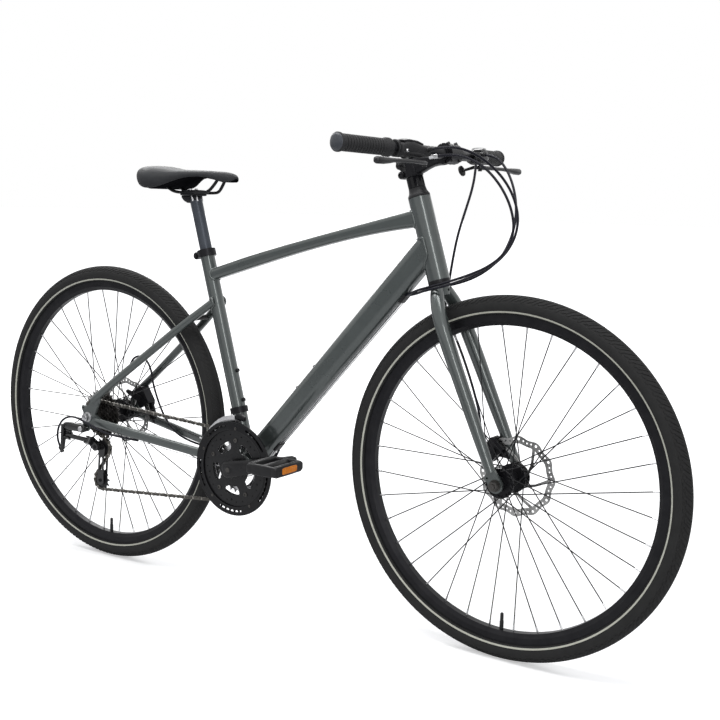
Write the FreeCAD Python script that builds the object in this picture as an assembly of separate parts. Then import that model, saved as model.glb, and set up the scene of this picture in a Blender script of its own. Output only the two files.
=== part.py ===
import FreeCAD, Part
import math
import os

# A hybrid bicycle. X points forward, Y to the rider's left and Z up. The origin lies on
# the ground, midway between the two axles. The drive train is on the right, at minus Y.

V = FreeCAD.Vector
FORWARD = V(1, 0, 0)
LEFT = V(0, 1, 0)
UP = V(0, 0, 1)
RIGHT_SIDE, LEFT_SIDE = -1, 1

# Fits and margins
RUNNING_FIT = 0.05
BODY_GAP = 0.4
OVERRUN = 4.0
ARC_RUN_SHARE = 0.45

# Wheels
WHEELBASE = 1058.0
BEAD_RADIUS = 311.0
TYRE_SECTION = 42.0
TYRE_WALL = 3.0
TYRE_LIP = 1.0
TUBE_SLACK = 0.6
TUBE_WALL = 1.5
VALVE_RADIUS = 4.0
VALVE_REACH = 34.0
VALVE_HOLE_GAP = 0.2
RIM_FLANGE_HEIGHT = 6.0
RIM_DEPTH = 21.0
RIM_FLANGE_RADIUS = BEAD_RADIUS + RIM_FLANGE_HEIGHT
RIM_INNER_RADIUS = RIM_FLANGE_RADIUS - RIM_DEPTH
RIM_WIDTH = 25.0
RIM_WALL = 2.0
RIM_FLOOR_WIDTH = 14.0
RIM_SIDE_RISE = 8.0
RIM_WELL_DEPTH = 3.0
BEAD_GAP = 0.1
SPOKES_PER_WHEEL = 36
SPOKE_RADIUS = 1.0
SPOKE_CROSSES = 3
SPOKE_INNER_OFFSET = 2.7
SPOKE_OUTER_OFFSET = 4.6
NIPPLE_GAP = 0.6
NIPPLE_RADIUS = 1.9
NIPPLE_LENGTH = 12.0

# Hubs and axles
FRONT_HUB_WIDTH = 100.0
REAR_HUB_WIDTH = 135.0
AXLE_RADIUS = 4.75
AXLE_STICKOUT = 19.0
NUT_RADIUS = 10.0
NUT_THICKNESS = 9.0
WASHER_RADIUS = 11.5
WASHER_THICKNESS = 2.0
CONE_RADIUS = 8.5
CONE_WIDTH = 6.0
HUB_BODY_RADIUS = 15.0
FLANGE_THICKNESS = 3.2
FLANGE_MARGIN = 4.5
SPOKE_CIRCLE_RADIUS = 24.0
FRONT_FLANGE_RIGHT = 35.0
FRONT_FLANGE_LEFT = 19.0
REAR_FLANGE_RIGHT = 18.0
REAR_FLANGE_LEFT = 32.0
DISC_BOSS_RADIUS = 21.0
FRONT_ROTOR_INSET = 10.5
REAR_ROTOR_INSET = 15.3
ROTOR_RADIUS = 80.0
ROTOR_THICKNESS = 1.8
ROTOR_BAND = 14.0
ROTOR_CARRIER_RADIUS = 27.0
ROTOR_ARM_WIDTH = 6.0
ROTOR_HOLE_RADIUS = 2.2
ROTOR_ARMS = 6
ROTOR_HOLES = 36

# Frame tubes
REAR_TYRE_ROOM = 79.0
BRACKET_DROP = 62.0
BRACKET_SHELL_RADIUS = 22.0
BRACKET_SHELL_WIDTH = 68.0
BRACKET_SHELL_WALL = 5.0
SEAT_ANGLE = 74.2
SEAT_TUBE_LENGTH = 478.0
SEAT_TUBE_DIAMETER = 31.8
HEAD_ANGLE = 72.5
HEAD_SETBACK = 165.0
FORK_ROOM = 18.0
HEAD_TUBE_LENGTH = 165.0
HEAD_TUBE_DIAMETER = 44.0
HEAD_TUBE_WALL = 4.5
DOWN_TUBE_RISE = 68.0
DOWN_TUBE_DEPTH_AT_HEAD = 55.0
DOWN_TUBE_DEPTH_AT_BRACKET = 49.0
DOWN_TUBE_WIDTH_AT_HEAD = 43.0
DOWN_TUBE_WIDTH_AT_BRACKET = 52.0
DOWN_TUBE_CORNER = 16.0
TOP_TUBE_RISE = 126.0
TOP_TUBE_SEAT_REACH = 426.0
TOP_TUBE_BEND_FORWARD = 313.0
TOP_TUBE_BEND_RISE = 95.0
TOP_TUBE_BEND_RUN = 70.0
TOP_TUBE_DEPTH_AT_SEAT = 25.0
TOP_TUBE_DEPTH_AT_HEAD = 37.0
TOP_TUBE_WIDTH_AT_SEAT = 28.0
TOP_TUBE_WIDTH_AT_HEAD = 36.0
TOP_TUBE_CORNER = 9.0
FRAME_WALL = 2.0

# Rear stays and dropouts
CHAINSTAY_HEIGHT = 22.0
CHAINSTAY_WIDTH = 16.5
CHAINSTAY_CORNER = 7.5
CHAINSTAY_START = 15.0
CHAINSTAY_KNEE = 62.0
CHAINSTAY_WAIST = 105.0
CHAINSTAY_START_SPREAD = 24.0
CHAINSTAY_KNEE_SPREAD = 27.5
CHAINSTAY_WAIST_SPREAD = 34.5
CHAINSTAY_DROP = 7.0
CHAINSTAY_END = 26.0
ROTOR_ROOM = 88.0
ROTOR_ROOM_INSET = 3.0
SEATSTAY_DIAMETER = 18.0
SEATSTAY_REACH = 366.0
SEATSTAY_START_SPREAD = 14.0
SEATSTAY_KNEE = 98.0
SEATSTAY_KNEE_SPREAD = 37.0
SEATSTAY_END_RISE = 29.0
STAY_WALL = 1.6
DROPOUT_THICKNESS = 6.5
DROPOUT_RADIUS = 17.0
DROPOUT_ARM_RADIUS = 9.0
DROPOUT_FORWARD = 42.0
HANGER_BACK = 8.0
HANGER_DROP = 28.0
HANGER_RADIUS = 9.0
HANGER_BOLT_RADIUS = 5.0
EYELET_BACK = 15.0
EYELET_RISE = 20.0
EYELET_RADIUS = 6.5
EYELET_HOLE_RADIUS = 2.1
BRIDGE_RADIUS = 6.0
SEATSTAY_BRIDGE_REACH = 62.0
CHAINSTAY_BRIDGE_REACH = 54.0

# Frame fittings
COLLAR_HEIGHT = 16.0
COLLAR_WALL = 4.5
COLLAR_OVERLAP = 9.0
COLLAR_EAR_LENGTH = 11.0
COLLAR_EAR_WIDTH = 15.0
COLLAR_BOLT_RADIUS = 2.5
COLLAR_BOLT_LENGTH = 22.0
COLLAR_BOLT_HEAD_RADIUS = 4.2
BOTTLE_BOLT_RADIUS = 2.5
BOTTLE_HEAD_RADIUS = 4.3
BOTTLE_HEAD_HEIGHT = 5.0
BOTTLE_SPACING = 66.0
SEAT_BOTTLE_REACH = 142.0
DOWN_BOTTLE_REACH = 222.0
GUIDE_LENGTH = 20.0
GUIDE_HEIGHT = 9.0
GUIDE_WIDTH = 24.0
UPPER_GUIDE_REACH = 126.0
LOWER_GUIDE_REACH = 100.0

# Headset and bottom bracket bearings
HEADSET_RING_HEIGHT = 7.0
HEADSET_COVER_HEIGHT = 19.0
HEADSET_COVER_TOP_RADIUS = 17.0
SPACER_HEIGHT = 22.0
SPACER_RADIUS = 16.8
SPINDLE_RADIUS = 8.5
CUP_DEPTH = 15.0
CUP_FLANGE = 3.0

# Fork
STEERER_RADIUS = 14.3
STEERER_WALL = 2.6
CROWN_RADIUS = 19.5
CROWN_HEIGHT = 24.0
CROWN_HOLE_RADIUS = 3.2
LEG_TOP_RADIUS = 14.5
LEG_END_RADIUS = 9.5
LEG_WALL = 2.0
LEG_SPREAD = 54.0
LEG_START_DROP = 10.0
LEG_END_GAP = 26.0
LEG_LENGTH_SHARES = (0.0, 0.1, 0.2, 0.3, 0.4, 0.55, 0.7, 0.85, 1.0)
LEG_SPREAD_SHARES = (0.28, 0.65, 0.815, 0.87, 0.9, 0.925, 0.952, 0.978, 1.0)
LEG_RADIUS_SHARES = (0.85, 0.97, 1.0, 1.0, 0.97, 0.92, 0.86, 0.77, 0.66)
FORK_TIP_THICKNESS = 6.0
FORK_TIP_RADIUS = 15.0
FORK_EYELET_BACK = 17.0
FORK_EYELET_RISE = 12.0

# Stem and handlebar
STEM_CLAMP_HEIGHT = 40.0
STEM_CLAMP_RADIUS = 18.0
STEM_LENGTH = 84.0
STEM_EXTENSION_RADIUS = 15.0
STEM_BAR_CLAMP_RADIUS = 19.5
STEM_BAR_CLAMP_WIDTH = 42.0
FACEPLATE_GAP = 2.0
STEM_BOLT_RADIUS = 2.5
STEM_BOLT_HEAD_RADIUS = 4.2
STEM_BOLT_HEAD = 4.5
STEM_EAR_RADIUS = 6.5
STEM_EAR_BACK = 20.0
STEM_EAR_WIDTH = 24.0
STEM_BOLT_SPREAD = 14.5
BAR_WIDTH = 610.0
BAR_RADIUS = 11.1
BAR_CENTRE_RADIUS = 12.7
BAR_CENTRE_WIDTH = 60.0
BAR_BEND_PLACE = 45.0
BAR_BEND_RADIUS = 120.0
BAR_SWEEP = 10.9
BAR_LIFT = 1.2
BAR_WALL = 2.2
GRIP_LENGTH = 130.0
GRIP_RADIUS = 15.2
GRIP_FLANGE_RADIUS = 17.2
GRIP_FLANGE_LENGTH = 11.0
GRIP_END_CAP = 4.0
GRIP_RIBS = 11
GRIP_GROOVE = 1.2
GRIP_GROOVE_WIDTH = 3.0

# Brake and shift controls
POD_GRIP_ROOM = 11.0
POD_LENGTH = 66.0
POD_FORWARD = 31.0
POD_BACK = 13.0
POD_ABOVE = 18.0
POD_BELOW = 16.0
POD_CORNER = 6.0
LEVER_PIVOT_INSET = 12.0
LEVER_PIVOT_FORWARD = 23.0
LEVER_PIN_RADIUS = 3.0
LEVER_PIN_LENGTH = 13.0
LEVER_ROOT_RADIUS = 8.5
LEVER_KNEE_INSET = 52.0
LEVER_TIP_ROOM = 29.0
LEVER_REACH = 16.0
LEVER_KNEE_RADIUS = 6.0
LEVER_TIP_RADIUS = 7.0
LEVER_THICKNESS = 10.0
SHIFTER_PIVOT_INSET = 42.0
SHIFTER_PIVOT_BACK = 2.0
SHIFTER_ROOT_RADIUS = 8.0
SHIFTER_PADDLE_INSET = 19.0
SHIFTER_PADDLE_BACK = 20.0
SHIFTER_PADDLE_RADIUS = 11.0
SHIFTER_THICKNESS = 7.0
ADJUSTER_RADIUS = 4.6
ADJUSTER_LENGTH = 14.0

# Disc brakes
CALIPER_RADIUS_PLACE = 66.0
CALIPER_LENGTH = 44.0
CALIPER_DEPTH = 34.0
CALIPER_INNER_WIDTH = 7.5
CALIPER_OUTER_WIDTH = 8.0
CALIPER_SLOT_GAP = 0.7
CALIPER_BRIDGE = 8.0
FRONT_CALIPER_ANGLE = 139.0
REAR_CALIPER_ANGLE = 33.0
PAD_THICKNESS = 3.0
BRAKE_ARM_RADIUS = 8.0
BRAKE_ARM_TIP_RADIUS = 5.0
BRAKE_ARM_LENGTH = 38.0
BRAKE_ARM_THICKNESS = 4.2
BRAKE_ARM_PIN_RADIUS = 3.0
FRONT_ARM_ANGLE = 150.0
REAR_ARM_ANGLE = 160.0
CALIPER_LUG_RADIUS = 7.0
CALIPER_LUG_SHARE = 0.75
CALIPER_LUG_THICKNESS = 6.0

# Seatpost and saddle
SEATPOST_RADIUS = 13.6
SEATPOST_WALL = 2.2
SEATPOST_INSERT = 170.0
SEATPOST_RISE = 113.0
POST_HEAD_RADIUS = 17.0
POST_HEAD_WIDTH = 34.0
POST_CLAMP_LENGTH = 46.0
POST_CLAMP_THICKNESS = 7.0
POST_BOLT_RADIUS = 3.0
RAIL_RADIUS = 3.5
RAIL_SPREAD = 21.0
RAIL_REST_RISE = 22.0
RAIL_FRONT_RUN = 48.0
RAIL_BACK_RUN = 38.0
RAIL_FRONT_LENGTH = 104.0
RAIL_BACK_LENGTH = 82.0
RAIL_FRONT_RISE = 30.0
RAIL_BACK_RISE = 8.0
RAIL_FRONT_SPREAD = 9.0
RAIL_BEND_RADIUS = 22.0
RAIL_END_LENGTH = 16.0
SADDLE_LENGTH = 264.0
SADDLE_WIDTH = 150.0
SADDLE_NOSE_FORWARD = 116.0
SADDLE_BASE_RISE = 40.0
SADDLE_HEIGHT = 40.0
SADDLE_SHELL_THICKNESS = 4.0
SADDLE_GAP = 0.3
SADDLE_EDGE_SHARE = 0.8
SADDLE_SHOULDER_SHARE = 0.86
SADDLE_SHOULDER_RISE_SHARE = 0.72
SADDLE_SHELL_WIDTH_SHARE = 0.78
SADDLE_SHELL_CORNER_SHARE = 0.4
SADDLE_PLACE_SHARES = (0.0, 0.05, 0.16, 0.34, 0.52, 0.72, 0.9, 0.975, 1.0)
SADDLE_WIDTH_SHARES = (0.72, 0.92, 1.0, 0.82, 0.47, 0.32, 0.27, 0.22, 0.12)
SADDLE_TOP_SHARES = (0.72, 0.93, 1.0, 0.93, 0.82, 0.78, 0.76, 0.68, 0.5)
SADDLE_SKIRT_SHARES = (0.3, 0.06, -0.14, -0.05, 0.18, 0.22, 0.22, 0.24, 0.3)

# Crankset and pedals
CRANK_LENGTH = 170.0
CRANK_ANGLE = 14.0
CRANK_THICKNESS = 15.0
CRANK_BOSS_RADIUS = 19.0
CRANK_EYE_RADIUS = 13.0
RIGHT_CRANK_INNER = 62.4
LEFT_CRANK_INNER = 62.4
CRANK_BOLT_DEPTH = 9.0
SPIDER_ARMS = 5
SPIDER_ARM_WIDTH = 16.0
SPIDER_REACH = 66.0
RING_BORE_RADIUS = 60.0
SMALL_RING_BORE_RADIUS = 44.0
RING_POST_RADIUS = 4.0
RING_POST_CIRCLE = 49.0
RING_THICKNESS = 1.8
RING_SPACING = 7.5
RING_TEETH = (48, 38, 28)
CHAIN_LINE = 47.5
GUARD_RADIUS = 104.0
GUARD_INNER_RADIUS = 84.0
GUARD_THICKNESS = 3.5
GUARD_STANDOFF = 1.5
GUARD_BOSS_RADIUS = 5.0
PEDAL_GAP = 3.0
PEDAL_WIDTH = 92.0
PEDAL_LENGTH = 76.0
PEDAL_HEIGHT = 24.0
PEDAL_RAIL = 13.0
PEDAL_CORE_RADIUS = 11.0
PEDAL_SPINDLE_RADIUS = 6.0
REFLECTOR_WIDTH = 52.0
REFLECTOR_HEIGHT = 15.0
REFLECTOR_THICKNESS = 5.0

# Chain, freewheel and pulleys
CHAIN_PITCH = 12.7
ROLLER_RADIUS = 3.85
ROLLER_GAP = 0.35
PIN_RADIUS = 1.8
PIN_GAP = 0.05
CHAIN_INNER_HALF = 1.35
CHAIN_PLATE = 1.0
CHAIN_PLATE_GAP = 0.08
CHAIN_PLATE_RADIUS = 4.1
PIN_PROUD = 0.25
TOOTH_RISE = 2.6
TOOTH_TIP_SHARE = 0.18
SEAT_OPENING = 66.0
SPROCKET_TEETH = (14, 16, 18, 20, 22, 24, 28)
SPROCKET_SPACING = 5.0
SPROCKET_THICKNESS = 1.8
DRIVEN_SPROCKET = 2
FREEWHEEL_BORE_RADIUS = 17.0
FREEWHEEL_BODY_RADIUS = 23.0
FREEWHEEL_BODY_MARGIN = 4.0
PULLEY_TEETH = 11
PULLEY_HUB_RADIUS = 7.0
PULLEY_HUB_WIDTH = 7.0
PULLEY_BOLT_RADIUS = 2.5

# Rear derailleur
GUIDE_PULLEY_FORWARD = 24.0
GUIDE_PULLEY_DROP = 76.0
CAGE_LENGTH = 79.0
CAGE_LEAN = 97.0
CAGE_LEAN_RANGE = 25.0
ARM_TAPER_SHARE = 0.8
CAGE_PLATE = 2.0
CAGE_HALF_GAP = 5.0
CAGE_RADIUS = 12.0
CAGE_PIVOT_BACK = 9.0
CAGE_PIVOT_RISE = 4.0
CAGE_PIVOT_RADIUS = 5.0
CAGE_PIVOT_LENGTH = 13.0
LINK_SLANT = 30.0
LINK_LENGTH = 58.0
LINK_REST = 14.0
LINK_INBOARD = 26.0
LINK_OUTBOARD = -12.0
LINK_RADIUS = 7.5
LINK_THICKNESS = 12.0
LINK_PIN_RADIUS = 2.5
LINK_FRONT_BACK = 20.0
LINK_FRONT_RISE = 13.0
LINK_FRONT_OUT = 68.0
KNUCKLE_RADIUS = 9.5
KNUCKLE_EAR = 3.0
BRACKET_ARM_THICKNESS = 15.0
BRACKET_ARM_RADIUS = 10.0

# Front derailleur
SHIFT_BAND_REACH = 122.0
SHIFT_BAND_HEIGHT = 14.0
SHIFT_BAND_WALL = 4.0
SHIFT_ARM_RADIUS = 7.0
SHIFT_PIN_RADIUS = 3.0
SHIFT_CAGE_RADIUS = 106.0
SHIFT_CAGE_INNER_RADIUS = 87.0
SHIFT_CAGE_HEIGHT = 15.0
SHIFT_CAGE_START = 78.0
SHIFT_CAGE_END = 136.0
SHIFT_CAGE_HALF_GAP = 4.6
SHIFT_CAGE_PLATE = 1.4
SHIFT_PIN_ANGLE = 92.0
SHIFT_TRAVEL = 7.5

# Cables, in places chosen along the run of each one
HOUSING_RADIUS = 2.5
WIRE_RADIUS = 0.8
ROUTE_POD_PLACE = 98.0
ROUTE_EASE_POINTS = 6
REAR_BRAKE_ROUTE = [(404, -94, 956), (424, -84, 960), (448, -70, 957), (476, -54, 942), (502, -38, 912),
                    (522, -26, 872), (530, -20, 828), (515, -18, 786), (482, -22, 757), (440, -28, 738),
                    (398, -33, 723), (358, -34, 711), (324, -21, 702), (296, -8, 690)]
REAR_GEAR_ROUTE = [(398, -104, 968), (420, -92, 974), (446, -66, 970), (470, -34, 953), (492, 0, 922),
                   (508, 20, 884), (516, 26, 842), (508, 22, 800), (484, 10, 764), (446, -8, 738),
                   (404, -36, 718), (358, -42, 706), (322, -16, 695), (296, 0, 690)]
FRONT_GEAR_ROUTE = [(401, 104, 968), (424, 100, 965), (446, 92, 950), (468, 82, 924), (486, 70, 888),
                    (495, 58, 848), (492, 46, 808), (476, 40, 772), (446, 37, 744), (408, 36, 724),
                    (360, 34, 710), (324, 22, 701), (296, 8, 690)]
REAR_BRAKE_TAIL = [(-24, 8, 331), (-58, 18, 278), (-101, 30, 257), (-150, 36, 281), (-205, 43, 289),
                   (-262, 48, 296.5), (-320, 46, 304), (-362, 43, 320), (-395, 43, 352), (-418, 44, 392),
                   (-434, 45, 430), (-440, 45, 464), (-458, 44.5, 488), (-484, 43, 492),
                   (-504, 41, 474), (-511, 38, 444)]
REAR_GEAR_WIRE = [(-25, 0, 333), (-59, -8, 279), (-102, -26, 260), (-150, -36, 283), (-206, -43, 291.5),
                  (-290, -50, 302), (-380, -60, 313.5)]
REAR_GEAR_TAIL = [(-380, -60, 313.5), (-420, -70, 317), (-462, -84, 324), (-504, -94, 340), (-548, -98, 356),
                  (-588, -97, 346), (-612, -94, 316), (-616, -90, 282), (-604, -87, 262)]
FRONT_GEAR_WIRE = [(-25, -8, 333), (-60, -8, 284), (-97, -8, 262), (-120, -8, 272), (-133, -9, 302),
                   (-140, -12, 360), (-141, -14, 392)]
FRONT_BRAKE_ROUTE = [(386, 94, 958), (391, 83, 934), (391, 72, 900), (384, 60, 858), (374, 51, 812),
                     (366, 48, 760), (361, 46, 716), (358, 37, 682), (367, 32, 652), (386, 32, 616),
                     (406, 33, 574), (424, 34, 530), (438, 35, 490), (446, 35, 462), (449, 34, 442)]

# Places worked out from the sizes above
wheel_radius = BEAD_RADIUS + TYRE_SECTION
rear_axle_at = V(-WHEELBASE / 2, 0, wheel_radius)
front_axle_at = V(WHEELBASE / 2, 0, wheel_radius)
bracket_at = rear_axle_at + V(wheel_radius + REAR_TYRE_ROOM, 0, -BRACKET_DROP)


def slope(degrees):
    """Direction in the side plane, so many degrees up from forward."""
    turn = math.radians(degrees)
    return V(math.cos(turn), 0, math.sin(turn))


def unit(vector):
    """The vector's direction, one long."""
    return vector * (1 / vector.Length)


seat_axis = slope(180 - SEAT_ANGLE)
head_axis = slope(180 - HEAD_ANGLE)
stem_axis = head_axis.cross(LEFT) * -1
head_bottom = front_axle_at + V(-HEAD_SETBACK, 0, wheel_radius + FORK_ROOM)
head_top = head_bottom + head_axis * HEAD_TUBE_LENGTH
seat_top = bracket_at + seat_axis * SEAT_TUBE_LENGTH
stem_base = head_top + head_axis * (HEADSET_COVER_HEIGHT + SPACER_HEIGHT)
stem_middle = stem_base + head_axis * (STEM_CLAMP_HEIGHT / 2)
bar_at = stem_middle + stem_axis * STEM_LENGTH
post_head_at = seat_top + seat_axis * SEATPOST_RISE
hanger_at = rear_axle_at + V(-HANGER_BACK, 0, -HANGER_DROP)
guide_pulley_at = rear_axle_at + V(GUIDE_PULLEY_FORWARD, -CHAIN_LINE, -GUIDE_PULLEY_DROP)
cage_pivot_at = guide_pulley_at + V(-CAGE_PIVOT_BACK, 0, CAGE_PIVOT_RISE)
saddle_nose_at = post_head_at + V(SADDLE_NOSE_FORWARD, 0, SADDLE_BASE_RISE)


# Plain shapes

def rod(start, end, radius):
    """Round bar from one point to another."""
    axis = end - start
    return Part.makeCylinder(radius, axis.Length, start, axis)


def sleeve(start, end, outer, bore):
    """Round bar with a bore right through."""
    reach = unit(end - start) * OVERRUN
    return rod(start, end, outer).cut(rod(start - reach, end + reach, bore))


def cone(start, end, first_radius, second_radius):
    """Round bar that tapers."""
    axis = end - start
    return Part.makeCone(first_radius, second_radius, axis.Length, start, axis)


def block(low, high):
    """Box between two corners."""
    size = high - low
    return Part.makeBox(size.x, size.y, size.z, low)


def union(shapes):
    """All the shapes as one solid."""
    return shapes[0].multiFuse(shapes[1:]).removeSplitter()


def turned(profile, centre, axis, out):
    """Closed outline of (radius, along) corners, turned about an axis."""
    corners = [centre + out * radius + axis * along for radius, along in profile]
    return Part.Face(Part.makePolygon(corners + corners[:1])).revolve(centre, axis, 360)


def plate(first, first_radius, second, second_radius, depth):
    """Flat plate that wraps two discs, thickened along the depth vector."""
    span = second - first
    along = unit(span)
    side = unit(depth).cross(along)
    lean = (first_radius - second_radius) / span.Length
    rise = math.sqrt(1 - lean * lean)

    def edge_point(centre, radius, sign):
        return centre + (along * lean + side * (rise * sign)) * radius

    a, b = edge_point(first, first_radius, 1), edge_point(second, second_radius, 1)
    c, d = edge_point(second, second_radius, -1), edge_point(first, first_radius, -1)
    edges = [Part.LineSegment(a, b), Part.Arc(b, second + along * second_radius, c),
             Part.LineSegment(c, d), Part.Arc(d, first - along * first_radius, a)]
    return Part.Face(Part.Wire([edge.toShape() for edge in edges])).extrude(depth)


def rounded(centre, wide, tall, width, height, corner):
    """Closed outline of a rectangle with round corners."""
    points = []
    for quarter in range(4):
        start = math.radians(90 * quarter)
        middle = start + math.pi / 4
        across = math.copysign(width / 2 - corner, math.cos(middle))
        along = math.copysign(height / 2 - corner, math.sin(middle))
        for turn in (start, middle, start + math.pi / 2):
            points.append(centre + wide * (across + corner * math.cos(turn))
                          + tall * (along + corner * math.sin(turn)))
    edges = []
    for first in range(0, len(points), 3):
        a, b, c = points[first:first + 3]
        edges.append(Part.Arc(a, b, c).toShape())
        edges.append(Part.LineSegment(c, points[(first + 3) % len(points)]).toShape())
    return Part.Wire(edges)


def hollow_loft(sections, wall):
    """Tube lofted through rounded sections, with an even wall."""
    outer = Part.makeLoft([rounded(*section) for section in sections], True)
    inner = [rounded(centre, wide, tall, width - 2 * wall, height - 2 * wall, corner - wall)
             for centre, wide, tall, width, height, corner in sections]
    return outer.cut(Part.makeLoft(inner, True))


def ring_wire(centre, axis, radius):
    """Circle about an axis."""
    return Part.Wire(Part.makeCircle(radius, centre, axis))


def bent_path(points, radii):
    """Straight runs joined by tangent arcs, one radius for each inner point."""
    edges = []
    start = points[0]
    for before, corner, after, radius in zip(points, points[1:], points[2:], radii):
        inward, outward = unit(before - corner), unit(after - corner)
        turn = math.pi - inward.getAngle(outward)
        setback = radius * math.tan(turn / 2)
        arc_start, arc_end = corner + inward * setback, corner + outward * setback
        middle_way = unit(inward + outward)
        reach = radius / math.cos(turn / 2) - radius
        edges.append(Part.LineSegment(start, arc_start).toShape())
        edges.append(Part.Arc(arc_start, corner + middle_way * reach, arc_end).toShape())
        start = arc_end
    edges.append(Part.LineSegment(start, points[-1]).toShape())
    return Part.Wire(edges)


def bent_bar(points, radii, thickness_radius):
    """Round bar along straight runs and tangent arcs."""
    path = bent_path(points, radii)
    start = ring_wire(points[0], points[1] - points[0], thickness_radius)
    return path.makePipeShell([start], True, False)


def cord(name, route, radius):
    """Cable along its route, each arc as large as the runs beside it allow."""
    points = [V(*place) for place in route]
    radii = []
    for before, corner, after in zip(points, points[1:], points[2:]):
        turn = math.pi - (before - corner).getAngle(after - corner)
        shorter = min((before - corner).Length, (after - corner).Length)
        radii.append(ARC_RUN_SHARE * shorter / math.tan(turn / 2))
    path = bent_path(points, radii)
    solid = path.makePipeShell([ring_wire(points[0], points[1] - points[0], radius)], True, False)
    length = path.Length
    share = solid.Volume / (math.pi * radius * radius * length)
    print(name, "length", round(length), "least radius", round(min(radii)), "volume share", round(share, 4))
    return solid


def spin(shape, centre, axis, degrees):
    """Copy turned about an axis."""
    copy = shape.copy()
    copy.rotate(centre, axis, degrees)
    return copy


def across(point, offset):
    """The point moved to a given place across the bicycle."""
    return V(point.x, offset, point.z)


def save(name, *solids):
    """Write one node."""
    shape = solids[0] if len(solids) == 1 else Part.makeCompound(list(solids))
    shape.exportStep("parts/" + name + ".step")


# Frame tubes

def head_tube():
    return sleeve(head_bottom, head_top, HEAD_TUBE_DIAMETER / 2, HEAD_TUBE_DIAMETER / 2 - HEAD_TUBE_WALL)


def head_solid():
    return rod(head_bottom, head_top, HEAD_TUBE_DIAMETER / 2)


def shell_solid():
    half = LEFT * (BRACKET_SHELL_WIDTH / 2)
    return rod(bracket_at - half, bracket_at + half, BRACKET_SHELL_RADIUS)


def seat_solid():
    return rod(bracket_at, seat_top, SEAT_TUBE_DIAMETER / 2)


def bracket_shell():
    half = LEFT * (BRACKET_SHELL_WIDTH / 2)
    bore = BRACKET_SHELL_RADIUS - BRACKET_SHELL_WALL
    return sleeve(bracket_at - half, bracket_at + half, BRACKET_SHELL_RADIUS, bore)


def seat_tube():
    bore = SEATPOST_RADIUS + RUNNING_FIT
    tube = sleeve(bracket_at, seat_top, SEAT_TUBE_DIAMETER / 2, bore).cut(shell_solid())
    for hole in seat_bottle_bolts():
        tube = tube.cut(hole)
    return tube


down_tube_end = head_bottom + head_axis * DOWN_TUBE_RISE
down_axis = unit(down_tube_end - bracket_at)
down_under = down_axis.cross(LEFT) * -1


def down_tube_depth(distance):
    """Depth of the down tube so far from the bottom bracket."""
    whole = (down_tube_end - bracket_at).Length
    gain = DOWN_TUBE_DEPTH_AT_HEAD - DOWN_TUBE_DEPTH_AT_BRACKET
    return DOWN_TUBE_DEPTH_AT_BRACKET + gain * distance / whole


def down_tube():
    tube = hollow_loft([(bracket_at, LEFT, down_under, DOWN_TUBE_WIDTH_AT_BRACKET,
                         DOWN_TUBE_DEPTH_AT_BRACKET, DOWN_TUBE_CORNER),
                        (down_tube_end, LEFT, down_under, DOWN_TUBE_WIDTH_AT_HEAD,
                         DOWN_TUBE_DEPTH_AT_HEAD, DOWN_TUBE_CORNER)], FRAME_WALL)
    tube = tube.cut(head_solid()).cut(shell_solid()).cut(seat_solid())
    for hole in down_bottle_bolts():
        tube = tube.cut(hole)
    return max(tube.Solids, key=lambda solid: solid.Volume)


def top_tube():
    seat_end = bracket_at + seat_axis * TOP_TUBE_SEAT_REACH
    head_end = head_bottom + head_axis * TOP_TUBE_RISE
    bend = seat_end + V(TOP_TUBE_BEND_FORWARD, 0, TOP_TUBE_BEND_RISE)
    rear_way, front_way = unit(bend - seat_end), unit(head_end - bend)
    stations = [(seat_end, rear_way, TOP_TUBE_WIDTH_AT_SEAT, TOP_TUBE_DEPTH_AT_SEAT),
                (bend - rear_way * TOP_TUBE_BEND_RUN, rear_way, TOP_TUBE_WIDTH_AT_SEAT,
                 TOP_TUBE_DEPTH_AT_SEAT),
                (bend + front_way * TOP_TUBE_BEND_RUN, front_way, TOP_TUBE_WIDTH_AT_SEAT,
                 TOP_TUBE_DEPTH_AT_SEAT),
                (head_end, front_way, TOP_TUBE_WIDTH_AT_HEAD, TOP_TUBE_DEPTH_AT_HEAD)]
    sections = [(centre, LEFT, way.cross(LEFT) * -1, width, depth, TOP_TUBE_CORNER)
                for centre, way, width, depth in stations]
    tube = hollow_loft(sections, FRAME_WALL)
    tube = tube.cut(head_solid()).cut(seat_solid())
    return max(tube.Solids, key=lambda solid: solid.Volume)


# Rear stays

dropout_inner = REAR_HUB_WIDTH / 2
dropout_middle = dropout_inner + DROPOUT_THICKNESS / 2


def chainstay_place(distance, spread, side):
    """Point on a chainstay, so far behind the bottom bracket."""
    end = rear_axle_at + V(0, 0, -CHAINSTAY_DROP)
    way = unit(end - bracket_at)
    return across(bracket_at + way * distance, side * spread)


def stay_length():
    return (rear_axle_at + V(0, 0, -CHAINSTAY_DROP) - bracket_at).Length


def swept(points, profile):
    """Solid swept along straight runs and tangent arcs."""
    radii = []
    for before, corner, after in zip(points, points[1:], points[2:]):
        turn = math.pi - (before - corner).getAngle(after - corner)
        shorter = min((before - corner).Length, (after - corner).Length)
        radii.append(ARC_RUN_SHARE * shorter / math.tan(turn / 2))
    return bent_path(points, radii).makePipeShell([profile], True, False)


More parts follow.
